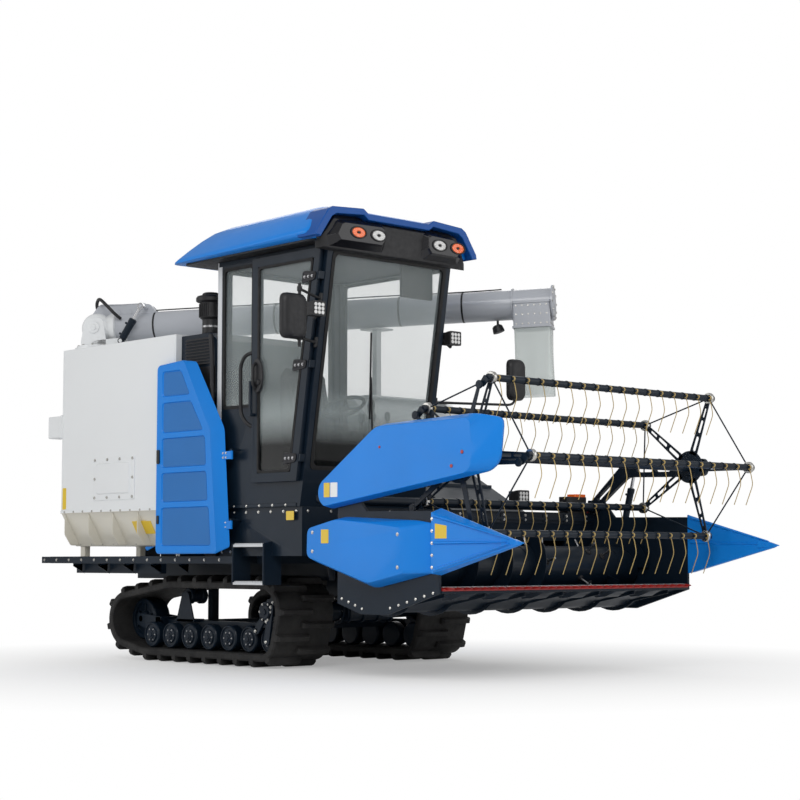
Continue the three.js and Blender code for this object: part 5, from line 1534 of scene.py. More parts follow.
@dataclass
class EngineBay:
    """The dark bay between the tank and the cab, with its engine and its air intake."""

    wall: float = -1105.0
    top: float = 2350.0
    intake: tuple[float, float] = (-470.0, -960.0)
    fins: int = 28

    def build(self, shop: Workshop) -> None:
        """Makes the bay, the engine and the pre-cleaner.

        Args:
            shop: The workshop.
        """
        shop.refine("engine_bay", Finish.NAVY, edge=5)
        slats = Shape()
        slat = Shape().loft(
            [
                [(-150, 0, 0), (-150, -9, -12), (-150, -9, -16), (-150, 0, -6)],
                [(150, 0, 0), (150, -9, -12), (150, -9, -16), (150, 0, -6)],
            ]
        )
        slats.add(
            shop.row.bake(
                slat, Finish.BLACK, Count=9, Start=Vector((-420, self.wall, 2320)), Step=Vector((0, 0, -22))
            )
        )
        slats.prism(Axis.Y, round_rect((-600, 1905), (-215, 2110), 20), self.wall - 4, self.wall + 2)
        shop.place("bay_slats", slats, Finish.BLACK, edge=1)
        hose = Shape().tube(
            filleted(
                [(-250, self.wall - 22, 2330), (-232, self.wall - 24, 2180), (-226, self.wall - 20, 1700)], 60
            ),
            16, 16,
        )
        shop.place("bay_hose", hose, Finish.BLACK)
        self.engine(shop)
        self.precleaner(shop)

    def engine(self, shop: Workshop) -> None:
        """Makes the engine: its block, head, sump and fan.

        Args:
            shop: The workshop.
        """
        block = Shape().prism(
            Axis.Y, rounded([(-590, 830), (-240, 830), (-240, 1320), (-590, 1320)], 26), -960, -380
        )
        block.prism(Axis.Y, rounded([(-540, 1310), (-290, 1310), (-305, 1520), (-525, 1520)], 22), -900, -440)
        block.prism(Axis.Y, rounded([(-560, 771), (-270, 771), (-250, 840), (-580, 840)], 18), -930, -410)
        for y in range(-870, -430, 110):
            block.prism(Axis.Y, round_rect((-515, 1515), (-315, 1560), 16), y, y + 70)
        shop.place("engine_casting", block, Finish.IRON, edge=4, replaces=["engine_block"])
        fan = Shape().lathe(
            (-415, -956, 1150), RIGHT, [(0, 60), (60, 60), (68, 52), (100, 50), (104, 20)], 32
        )
        blade = Shape().box((-26, -50, 40), (26, -44, 170)).moved(rotation(14, "Z"))
        for i in range(7):
            copy = Shape().add(blade.copy_mesh())
            fan.add(copy, Matrix.Translation((-415, -985, 1150)) @ Matrix.Rotation(math.tau * i / 7, 4, "Y"))
        shop.place("engine_fan", fan, Finish.BLACK, edge=1)

    def precleaner(self, shop: Workshop) -> None:
        """Makes the mushroom-shaped pre-cleaner with its ring of vanes.

        Args:
            shop: The workshop.
        """
        x, y = self.intake
        cap = Shape().lathe(
            (x, y, self.top),
            UP,
            [(0, 70), (6, 74), (14, 70), (22, 62), (118, 62), (126, 74), (132, 80), (238, 80),
             (246, 100), (252, 108),
             (276, 108), (288, 98), (296, 66), (310, 60), (315, 50), (315, 10)],
            48,
        )  # fmt: skip
        vane = Shape().box((-5, -2.2, 0), (5, 2.2, 96))
        ring = shop.ring.bake(vane, Finish.BLACK, Count=self.fins, Radius=82.0)
        cap.add(ring, Matrix.Translation((x, y, self.top + 136)))
        shop.place("air_precleaner_body", cap, Finish.BLACK, edge=1, replaces=["air_precleaner"])
        band = Shape().lathe((x, y, self.top + 60), UP, [(0, 62.5), (0, 66), (14, 66), (14, 62.5)], 40)
        shop.place("precleaner_band", band, Finish.STEEL)


@dataclass
class Roof:
    """The crowned cab roof with its arched brow, its rims and its lifting eye."""

    right: float = -1280.0
    left: float = 220.0
    rear: float = -520.0
    front: float = 1000.0
    eaves: float = 2838.0
    crown: float = 3115.0
    eye: tuple[float, float] = (480.0, -770.0)
    unloader: tuple[float, float] = (-1900.0, -950.0)
    heading: float = 35.8
    tube_clearance: float = 134.0

    def corner(self, edge: float, rear: float) -> list[tuple[float, float]]:
        """Returns the rear left corner, cut off along the stowed unloader tube.

        Args:
            edge: How far the outline stands in from the roof's sides.
            rear: The outline's rear X.

        Returns:
            The corner's two points, from the left side to the rear.
        """
        slope = math.tan(math.radians(self.heading))
        shift = self.tube_clearance / math.cos(math.radians(self.heading)) + edge * 0.7
        left = self.left - edge
        x = self.unloader[0] + (left - self.unloader[1] + shift) / slope
        y = self.unloader[1] + (rear - self.unloader[0]) * slope - shift
        if y > left - 20 or x < rear + 20:
            return [(rear + 24, left), (rear, left - 24)]
        return [(x, left), (rear, y)]

    def ring(
        self, edge: float, rear: float, front: float, height: float, droop: float, steps: int = 5
    ) -> list[Vector]:
        """Returns one level of the roof's skin.

        Args:
            edge: How far it stands in from the sides.
            rear: Its rear X.
            front: Its front X.
            height: Its height at the front.
            droop: How much lower its rear edge lies.
            steps: The stretches of each rounded corner.

        Returns:
            The level's points.
        """
        outline = [
            (rear, self.right + edge),
            (front, self.right + edge),
            (front, self.left - edge),
            *self.corner(edge, rear),
        ]
        points = []
        for x, y in rounded(outline, 70, steps):
            share = (self.front - x) / (self.front - self.rear)
            across = (y - (self.right + self.left) / 2) / (self.left - self.right) * 2
            points.append(Vector((x, y, height - droop * share**3 - 12 * max(0.0, share - 0.2) * across**2)))
        return points

    def build(self, shop: Workshop) -> None:
        """Makes the skin, the soffit, the brow and the eye.

        Args:
            shop: The workshop.
        """
        levels = [
            (46, self.rear + 44, self.front - 14, self.eaves + 14, 0),
            (12, self.rear + 10, self.front - 2, self.eaves + 26, 14),
            (0, self.rear, self.front, self.eaves + 46, 34),
            (2, self.rear + 2, self.front, self.eaves + 64, 40),
            (16, self.rear + 22, self.front - 3, self.eaves + 84, 42),
            (58, self.rear + 84, self.front - 12, self.eaves + 134, 44),
            (112, self.rear + 160, self.front - 30, self.eaves + 188, 40),
            (166, self.rear + 240, self.front - 60, self.eaves + 232, 34),
            (236, self.rear + 320, self.front - 110, self.eaves + 261, 26),
            (330, self.rear + 420, self.front - 190, self.eaves + 273, 16),
            (460, self.rear + 560, self.front - 320, self.eaves + 277, 6),
        ]
        skin = Shape().loft([self.ring(*level) for level in levels])
        shop.place("roof_skin", skin, Finish.BLUE, smooth=50, replaces=["cab_roof"])
        soffit = Shape().loft(
            [self.ring(56, self.rear + 60, self.front - 24, z, 0) for z in (self.eaves + 1, self.eaves + 16)]
        )
        shop.place("roof_soffit", soffit, Finish.BLACK, edge=2)
        self.brow(shop)
        self.lifting_eye(shop)

    def arch(self, drop: float, narrow: float) -> list[tuple[float, float]]:
        """Returns the brow's path over the two lamp pods, lowered and narrowed by these amounts."""
        middle = (self.right + self.left) / 2
        half = [(-750, 2858), (-742, 2892), (-640, 3040), (-600, 3064), (-326, 3082), (-282, 3052)]
        points = [(u + narrow * min(1, max(0, (-u - 300) / 300)), v - drop) for u, v in half]
        return [(middle + u, v) for u, v in points] + [(middle - u, v) for u, v in reversed(points)]

    def brow(self, shop: Workshop) -> None:
        """Makes the arched front rim."""
        outer, inner = self.arch(0, 0), self.arch(44, 34)
        inner[0], inner[-1] = (inner[0][0], outer[0][1]), (inner[-1][0], outer[-1][1])
        outline = outer + inner[::-1]
        brow = Shape().prism(Axis.X, outline, self.front - 130, self.front + 62)
        # The brow's deeper blue is painted shade on the roof's front rim.
        shop.place("roof_brow", brow, Finish.DEEP_BLUE, edge=8, steps=3, smooth=30)

    def lifting_eye(self, shop: Workshop) -> None:
        """Makes the lifting eye on its raised foot."""
        x, y = self.eye
        foot = Shape().lathe((x, y, self.crown - 34), UP, [(0, 62), (20, 58), (30, 34), (34, 20)], 32)
        shop.place("lifting_foot", foot, Finish.BLUE, edge=2)
        turns = [math.tau * i / 24 for i in range(24)]
        eye = Shape().tube(
            [(x, y + 11 * math.cos(t), self.crown + 10 + 11 * math.sin(t)) for t in turns], 3.6, 12,
            closed=True,
        )
        eye.rod((x, y, self.crown - 6), (x, y, self.crown + 2), 7, 16)
        shop.place("lifting_eye", eye, Finish.ZINC)


@dataclass
class LampFascia:
    """The dark panel under the roof's front with its two faceted lamp pods."""

    back: float = 988.0
    right: float = -1230.0
    left: float = 170.0
    low: float = 2768.0
    pods: tuple[tuple[float, float, tuple[float, float]], ...] = (
        (-1226.0, -616.0, (-914.0, -733.0)),
        (166.0, -312.0, (16.0, -160.0)),
    )

    def build(self, shop: Workshop) -> None:
        """Makes the panel, the pods and the lamps.

        Args:
            shop: The workshop.
        """
        panel = Shape().loft(
            [
                [
                    (self.back - 2, self.right + 6, 2780), (self.back - 2, self.left - 6, 2780),
                    (self.back - 2, self.left - 6, 3034), (self.back - 2, self.right + 6, 3034),
                ],
                [
                    (self.back + 30, self.right + 60, 2796), (self.back + 30, self.left - 60, 2796),
                    (self.back + 44, self.left - 90, 2990), (self.back + 44, self.right + 90, 2990),
                ],
            ]
        )
        cutter = Shape().prism(
            Axis.X,
            [
                (-1400, 2700), (-1200, 2850), (-1085, 3010), (-1060, 3022), (-840, 3036), (-800, 3010),
                (-260, 3010), (-220, 3036), (0, 3022), (25, 3010), (140, 2850), (340, 2700), (340, 3400),
                (-1400, 3400),
            ],
            900, 1200,
        )
        shop.place("fascia_panel", cut(panel, cutter), Finish.BLACK, edge=4, replaces=["lamp_fascia"])
        for i, (outer, inner, lamps) in enumerate(self.pods):
            self.pod(shop, ("right", "left")[i], outer, inner, lamps)

    def pod(self, shop: Workshop, name: str, outer: float, inner: float, lamps: tuple[float, float]) -> None:
        """Makes one pod.

        Args:
            shop: The workshop.
            name: The pod's side.
            outer: The Y of its outer end.
            inner: The Y of its inner end.
            lamps: The Y of its amber lamp and of its clear one.
        """
        way = 1 if inner > outer else -1
        back = [
            (outer + way * 10, 2856), (outer + way * 60, self.low + 12), (inner - way * 20, self.low + 16),
            (inner, 2850), (inner - way * 10, 3000), (inner - way * 40, 3030), (outer + way * 150, 3014),
            (outer + way * 120, 2996),
        ]
        front = [
            (outer + way * 120, 2880), (outer + way * 150, 2836), (inner - way * 70, 2840),
            (inner - way * 40, 2880), (inner - way * 46, 2968), (inner - way * 70, 2984),
            (outer + way * 190, 2976), (outer + way * 160, 2962),
        ]
        rings = [
            [(x, y, z) for y, z in outline]
            for x, outline in ((self.back, back), (self.back + 66, front))
        ]
        face = [
            (self.back + 84, y * 0.94 + (outer + inner) / 2 * 0.06, 2908 + (z - 2908) * 0.84)
            for y, z in front
        ]
        shop.place(f"lamp_pod_{name}", Shape().loft([*rings, face]), Finish.GLOSS_BLACK, edge=3, smooth=20)
        for y, lens in zip(lamps, (Finish.AMBER, Finish.CLEAR)):
            self.lamp(shop, f"{name}_{lens.name.lower()}", y, lens)

    def lamp(self, shop: Workshop, name: str, y: float, lens: Finish) -> None:
        """Makes an oval lamp: a bezel, a ribbed lens and a dark middle.

        Args:
            shop: The workshop.
            name: The piece's name, or the part of it after the underscore.
            y: The lamp's Y.
            lens: The finish of its lens.
        """
        x, z = self.back + 82, 2912
        place = Matrix.Translation((x, y, z)) @ Matrix.Diagonal((1, 1.75, 1, 1))
        bezel = Shape().lathe(
            (0, 0, 0), FORWARD, [(-4, 42), (6, 42), (9, 39), (9, 35), (2, 34)], 40
        ).moved(place)
        shop.place(f"lamp_bezel_{name}", bezel, Finish.BLACK)
        petal = Shape().loft(
            [
                [(10, -5, 0), (10, 5, 0), (32, 8, 0), (32, -8, 0)],
                [(12, -3, 5), (12, 3, 5), (30, 6, 4), (30, -6, 4)],
            ]
        )
        glass = shop.ring.bake(petal, lens, Count=12, Radius=0.001)
        made = Shape().lathe(
            (0, 0, 0), UP, [(-2, 34), (3, 34), (5, 30), (5, 14), (3, 10)], 36
        ).add(glass, Matrix.Translation((0, 0, 3)))
        made.moved(place @ rotation(90, "Y"))
        shop.place(f"lamp_lens_{name}", made, lens, "chassis")
        dot = Shape().spot((0, 0, 0), FORWARD, 8, 9).moved(place)
        shop.place(f"lamp_middle_{name}", dot, Finish.BLACK)


# ------------------------------------------------------------------ cab


@dataclass
class Cab:
    """The cab's frame, its panes and their seals, its door and its handles."""

    right: float = -1100.0
    left: float = 40.0
    rear: float = -200.0
    sill: tuple[float, float] = (745.0, 1340.0)
    brow: tuple[float, float] = (985.0, 2838.0)
    window_top: float = 2785.0
    door_rear: float = 250.0
    door_bottom: float = 1290.0
    door_outer: float = -1138.0

    def front(self, z: float) -> float:
        """Returns the X of the leaning front at a height."""
        (x0, z0), (x1, z1) = self.sill, self.brow
        return x0 + (x1 - x0) * (z - z0) / (z1 - z0)

    def window(self, rear: float, low: float, back: float, inset: float = 0.0) -> list[tuple[float, float]]:
        """Returns a side window's outline with a leaning front edge.

        Args:
            rear: The X of its rear edge.
            low: The height of its lower edge.
            back: How far its front edge stands behind the cab's front.
            inset: How far it is drawn in.

        Returns:
            Its four corners.
        """
        top = self.window_top - inset
        return [
            (rear + inset, low + inset),
            (self.front(low) - back - inset, low + inset),
            (self.front(top) - back - inset, top),
            (rear + inset, top),
        ]

    def build(self, shop: Workshop) -> None:
        """Makes the whole cab shell."""
        shop.refine("cab_frame", Finish.NAVY, edge=7)
        self.panes(shop)
        self.seals(shop)
        self.door(shop)
        self.door_fittings(shop)
        self.outside(shop)

    def panes(self, shop: Workshop) -> None:
        """Makes the panes with slightly rounded edges."""
        for node in ("windshield", "side_window_right", "side_window_left", "rear_window"):
            shop.refine(node, Finish.PANE, edge=1.5)
        shop.refine("door_glass", Finish.PANE, "cab_door", edge=1.5)

    def ring(self, outline: Sequence[Point], inner: Sequence[Point], low: float, high: float) -> Shape:
        """Returns a seal between two outlines with rounded corners, across Y."""
        return Shape().frame(Axis.Y, rounded(outline, 30), rounded(inner, 24), low, high)

    def seals(self, shop: Workshop) -> None:
        """Makes the black seals round the panes.

        Args:
            shop: The workshop.
        """
        made = Shape()
        corner = [(-145, 1790), (200, 1790), (200, 2785), (-145, 2785)]
        inner = [(-145 + 22, 1812), (178, 1812), (178, 2763), (-123, 2763)]
        made.add(self.ring(corner, inner, self.right - 3, self.right + 12))
        left = self.window(-140, 1340, 60)
        made.add(self.ring(left, self.window(-140, 1340, 60, 22), self.left - 12, self.left + 3))
        rings = []
        for grow, out in ((6, 5), (-20, 5), (-20, -11), (6, -11)):
            y0, y1 = -1050 - grow, -10 + grow
            z0, z1 = 1350 - grow, 2785 + grow
            rings.append(
                [
                    Vector((self.front(z) + out, y, z))
                    for y, z in rounded([(y0, z0), (y1, z0), (y1, z1), (y0, z1)], 40, 5)
                ]
            )
        made.loft(rings, closed=True)
        rear = rounded([(-1010, 1560), (-50, 1560), (-50, 2785), (-1010, 2785)], 30)
        inside = rounded([(-988, 1582), (-72, 1582), (-72, 2763), (-988, 2763)], 24)
        made.frame(Axis.X, rear, inside, self.rear - 3, self.rear + 12)
        shop.place("window_seals", made, Finish.GASKET, smooth=30)
        pillar = Shape().prism(
            Axis.Y, round_rect((self.rear + 2, 1110), (self.rear + 44, 2834), 8), self.right - 4,
            self.right + 2,
        )
        pillar.box((self.rear - 4, self.right - 2, 1104), (self.rear + 2, self.right + 52, 2836))
        shop.place("rear_pillar_trim", pillar, Finish.PALE_GREY, edge=2)

    def door(self, shop: Workshop) -> None:
        """Makes the door's frame and its seal."""
        shop.refine("cab_door", Finish.NAVY, "cab_door", edge=4)
        outer = self.window(self.door_rear, self.door_bottom, 55, 40)
        inner = self.window(self.door_rear, self.door_bottom, 55, 58)
        seal = self.ring(outer, inner, self.door_outer - 2, self.door_outer + 11)
        shop.place("door_seal", seal, Finish.GASKET, "cab_door", smooth=30)

    def door_fittings(self, shop: Workshop) -> None:
        """Makes the door's oval handle with its lock, and the plates of its hinges.

        Args:
            shop: The workshop.
        """
        y = self.door_outer
        bowl = Shape().prism(Axis.Y, arc((0, 0), 1, 0, 360, 40), -1, 0)
        bowl.moved(Matrix.Translation((305, y - 4, 1996)) @ Matrix.Diagonal((58, 14, 116, 1)))
        bowl.tube(
            filleted(
                [(292, y - 14, 2084), (292, y - 42, 2062), (292, y - 42, 1932), (292, y - 14, 1908)], 24
            ),
            11, 18,
        )
        bowl.lathe((322, y - 16, 1950), RIGHT, [(0, 22), (10, 20), (14, 14), (14, 4)], 24)
        shop.place("door_handle", bowl, Finish.BLACK, "cab_door", edge=3)
        plates, heads = Shape(), Shape()
        for z in (1420, 2037.5, 2620):
            x = self.front(z) - 34
            skew = (self.brow[0] - self.sill[0]) / (self.brow[1] - self.sill[1])
            outline = [
                (x - 150 - 42 * skew, z - 42), (x - 14 - 42 * skew, z - 26), (x - 14 + 26 * skew, z + 26),
                (x - 150 + 42 * skew, z + 42),
            ]
            plates.prism(Axis.Y, rounded(outline, 20), y - 8, y + 1)
            heads.add(shop.bolts([((x - 122, y - 8, z), (x - 46, y - 8, z), 3)], RIGHT))
        shop.place("door_hinge_plates", plates, Finish.IRON, "cab_door", edge=2)
        shop.place("door_hinge_bolts", heads, Finish.STEEL, "cab_door")

    def outside(self, shop: Workshop) -> None:
        """Makes the grab handle, the trims with the gutter and a front plate, the wiper, the bolts and the
        sun blind.

        Args:
            shop: The workshop.
        """
        y = self.right
        rail = filleted(
            [
                (240, y + 4, 1640), (200, y - 52, 1668), (136, y - 58, 1740), (130, y - 58, 2080),
                (180, y - 54, 2150), (236, y + 4, 2168),
            ],
            40, 6,
        )
        shop.place("grab_handle", Shape().tube(rail, 13, 18), Finish.BLACK)
        trim = Shape()
        trim.prism(Axis.X, round_rect((y + 130, 1128), (self.left - 130, 1320), 30), 696, 714)
        trim.box((self.rear + 10, y - 6, 1100), (self.front(1100) - 40, y + 1, 1124))
        trim.box((self.rear + 10, y - 5, 2800), (self.front(2800) - 18, y + 1, 2834))
        shop.place("cab_trims", trim, Finish.NAVY, edge=3)
        z = 1392
        wiper = Shape().lathe(
            (self.front(z) - 6, -520, z - 66), (0.98, 0, -0.16), [(0, 26), (18, 24), (30, 16), (34, 8)], 24
        )
        arm = [
            (self.front(z - 66) + 22, -520, z - 66), (self.front(1640) + 26, -560, 1640),
            (self.front(1980) + 16, -610, 1980),
        ]
        wiper.tube(filleted(arm, 60), 6, 12)
        wiper.loft(
            [
                [
                    (self.front(v) + d, -610 + (v - 1980) * -0.12 + w, v)
                    for d, w in ((4, -5), (4, 5), (14, 4), (14, -4))
                ]
                for v in (1700, 1980, 2280)
            ]
        )
        shop.place("wiper", wiper, Finish.BLACK)
        rows = [((self.rear + 60, y - 6, 1112), (560, y - 6, 1112), 6)]
        shop.place("cab_bolts", shop.bolts(rows, RIGHT, 7, 6), Finish.ZINC)
        lamp = Shape().prism(Axis.X, round_rect((-330, 2560), (-30, 2780), 14), 846, 868)
        shop.place("sun_blind", lamp, Finish.BLACK, edge=3)


@dataclass
class Interior:
    """The operator's seat, console, wheel and levers."""

    seat: tuple[float, float] = (60.0, -530.0)
    floor: float = 1130.3
    swell: float = 10.0
    pressure: float = 4.0
    frames: int = 20
    voxels: tuple[float, float] = (0.012, 0.006)

    def build(self, shop: Workshop) -> None:
        """Makes the cab's inside."""
        self.seat_base(shop)
        self.pad(shop, "seat_cushion", self.cushion_shape(), ["operator_seat"])
        self.pad(shop, "seat_back", self.back_shape(), [])
        self.console(shop)
        self.wheel(shop)

    def seat_base(self, shop: Workshop) -> None:
        """Makes the suspension base with its bellows and the armrest.

        Args:
            shop: The workshop.
        """
        x, y = self.seat
        base = Shape()
        base.prism(Axis.Z, round_rect((x + 10, y - 180), (x + 370, y + 180), 40), self.floor, self.floor + 40)
        for i in range(6):
            edge = 14 if i % 2 else 0
            z = self.floor + 40 + i * 36
            base.prism(
                Axis.Z, round_rect((x + 30 + edge, y - 165 + edge), (x + 350 - edge, y + 165 - edge), 40), z,
                z + 36,
            )
        base.prism(
            Axis.Z, round_rect((x - 10, y - 210), (x + 400, y + 210), 50), self.floor + 256, self.floor + 292
        )
        base.prism(
            Axis.Y, rounded([(x - 40, 1440), (x + 20, 1440), (x + 6, 1660), (x - 50, 1640)], 14), y - 60,
            y + 60,
        )
        shop.place("seat_base", base, Finish.BLACK, edge=4)

    def cushion_shape(self) -> Shape:
        """Returns the seat cushion before it swells."""
        x, y = self.seat
        rings = []
        for z, inset in ((1430, 26), (1446, 10), (1490, 6), (1520, 12), (1536, 34)):
            outline = [
                (x - 14 + inset, y - 240 + inset), (x + 430 - inset, y - 240 + inset),
                (x + 430 - inset, y + 240 - inset), (x - 14 + inset, y + 240 - inset),
            ]
            rings.append([(u, v, z) for u, v in rounded(outline, 80, 6)])
        return Shape().loft(rings)

    def back_shape(self) -> Shape:
        """Returns the backrest before it swells."""
        x, y = self.seat
        rings = []
        for share, inset in ((0.0, 40), (0.06, 12), (0.5, 4), (0.9, 22), (1.0, 60)):
            z = 1552 + share * 556
            lean = -34 * share
            outline = [
                (x - 14 + lean + inset * 0.3, y - 224 + inset),
                (x + 88 - 34 * share + lean - inset * 0.3, y - 224 + inset),
                (x + 88 - 34 * share + lean - inset * 0.3, y + 224 - inset),
                (x - 14 + lean + inset * 0.3, y + 224 - inset),
            ]
            rings.append([(u, v, z) for u, v in rounded(outline, 40, 6)])
        return Shape().loft(rings)

    def pad(self, shop: Workshop, name: str, shape: Shape, replaces: Sequence[str]) -> None:
        """Makes a vinyl pad, swollen as stuffing swells a cover.

        Args:
            shop: The workshop.
            name: The pad's name.
            shape: Its shape before it swells.
            replaces: The construction nodes that it stands for.
        """
        piece = shop.place(name, shape, Finish.VINYL, smooth=80, replaces=replaces)
        remesh = piece.modifiers.new("remesh", "REMESH")
        remesh.mode = "VOXEL"
        remesh.voxel_size = self.voxels[1]
        remesh.use_smooth_shade = True
        self.apply(piece)
        self.swelling(piece)
        smooth = piece.modifiers.new("smooth", "SMOOTH")
        smooth.factor, smooth.iterations = 0.5, 4
        self.apply(piece)
        self.seams(piece)
        rounding = piece.modifiers.new("rounding", "SUBSURF")
        rounding.levels = rounding.render_levels = 1

    @staticmethod
    def apply(piece: bpy.types.Object) -> None:
        """Turns a piece's modifiers into its plain mesh."""
        depsgraph = bpy.context.evaluated_depsgraph_get()
        old, made = piece.data, bpy.data.meshes.new_from_object(piece.evaluated_get(depsgraph))
        piece.modifiers.clear()
        piece.data = made
        bpy.data.meshes.remove(old)
        made.polygons.foreach_set("use_smooth", [True] * len(made.polygons))

    def swelling(self, piece: bpy.types.Object) -> None:
        """Blows a pad up with a short cloth simulation and caps how far it moves.

        Args:
            piece: The pad.
        """
        start = [v.co.copy() for v in piece.data.vertices]
        scene = bpy.context.scene
        cloth = piece.modifiers.new("cloth", "CLOTH")
        cloth.settings.use_pressure = True
        cloth.settings.uniform_pressure_force = self.pressure
        cloth.settings.effector_weights.gravity = 0.0
        cloth.point_cache.frame_start, cloth.point_cache.frame_end = 1, self.frames
        for step in range(1, self.frames + 1):
            scene.frame_set(step)
        self.apply(piece)
        scene.frame_set(1)
        cap = self.swell / 1000
        for vertex, old in zip(piece.data.vertices, start):
            move = vertex.co - old
            if move.length > cap:
                vertex.co = old + move.normalized() * cap

    def seams(self, piece: bpy.types.Object) -> None:
        """Presses sewn channels across a pad.

        Args:
            piece: The pad.
        """
        low = Vector(map(min, *(v.co for v in piece.data.vertices)))
        high = Vector(map(max, *(v.co for v in piece.data.vertices)))
        size = high - low
        along = 0 if size.z < size.x else 2
        other = 2 if along == 0 else 0
        for vertex in piece.data.vertices:
            share = (vertex.co[along] - low[along]) / size[along]
            across = abs((vertex.co.y - (low.y + high.y) / 2) / size.y) * 2
            groove = max(
                math.exp(-(((share - s) * 26) ** 2))
                for s in (0.28, 0.5, 0.72)
            ) if across < 0.62 else 0.0
            edge = math.exp(-(((across - 0.66) * 30) ** 2))
            front = (vertex.co[other] - low[other]) / size[other] > 0.6
            if front:
                vertex.co[other] -= 0.007 * max(groove, edge)

    def console(self, shop: Workshop) -> None:
        """Makes the side console, the front panel and their levers.

        Args:
            shop: The workshop.
        """
        low = self.floor
        body = Shape().prism(
            Axis.Y, rounded([(0, low), (560, low), (560, 1610), (520, 1640), (60, 1640), (0, 1580)], 30),
            -230, -13,
        )
        body.prism(
            Axis.Y, rounded([(520, low), (640, low), (640, 1480), (610, 1556), (540, 1560), (500, 1500)], 26),
            -900, -13,
        )
        body.prism(Axis.Y, rounded([(470, 1560), (600, 1556), (560, 1640), (500, 1650)], 16), -640, -420)
        shop.place("console_body", body, Finish.BLACK, edge=5, replaces=["control_console"])
        levers = Shape()
        for x, y, lean in ((180, -90, 14), (260, -150, -10), (330, -110, 6), (420, -60, 12)):
            levers.tube([(x, y, 1630), (x + lean, y, 1740)], 6, 12)
            levers.lathe((x + lean, y, 1734), UP, [(0, 12), (14, 19), (38, 22), (58, 18), (66, 8)], 24)
        levers.tube([(300, -120, 1630), (320, -120, 1800)], 9, 14)
        levers.lathe((320, -120, 1790), (0.1, 0, 1), [(0, 14), (12, 24), (60, 27), (92, 22), (104, 8)], 24)
        shop.place("console_levers", levers, Finish.GLOSS_BLACK)
        gauges = Shape()
        for y in (-580, -480):
            gauges.lathe((492, y, 1612), (-0.7, 0, 0.7), [(0, 40), (8, 40), (10, 36), (6, 34)], 28)
        shop.place("gauges", gauges, Finish.CLEAR)

    def wheel(self, shop: Workshop) -> None:
        """Makes the steering wheel on its column.

        Args:
            shop: The workshop.
        """
        centre = Vector((520, -560, 1800))
        tilt = Matrix.Translation(centre) @ rotation(-24, "Y")
        turns = [math.tau * i / 40 for i in range(40)]
        wheel = Shape().tube([(150 * math.cos(t), 150 * math.sin(t), 0) for t in turns], 13, 14, closed=True)
        wheel.lathe((0, 0, -34), UP, [(0, 26), (20, 42), (34, 40), (40, 24)], 28)
        for turn in (90, 210, 330):
            a = math.radians(turn)
            wheel.tube(
                [(34 * math.cos(a), 34 * math.sin(a), -12), (146 * math.cos(a), 146 * math.sin(a), 0)], 8, 12
            )
        wheel.moved(tilt)
        wheel.rod((560, -560, 1540), (524, -560, 1790), 18, 20, 2)
        shop.place("steering_wheel", wheel, Finish.BLACK)


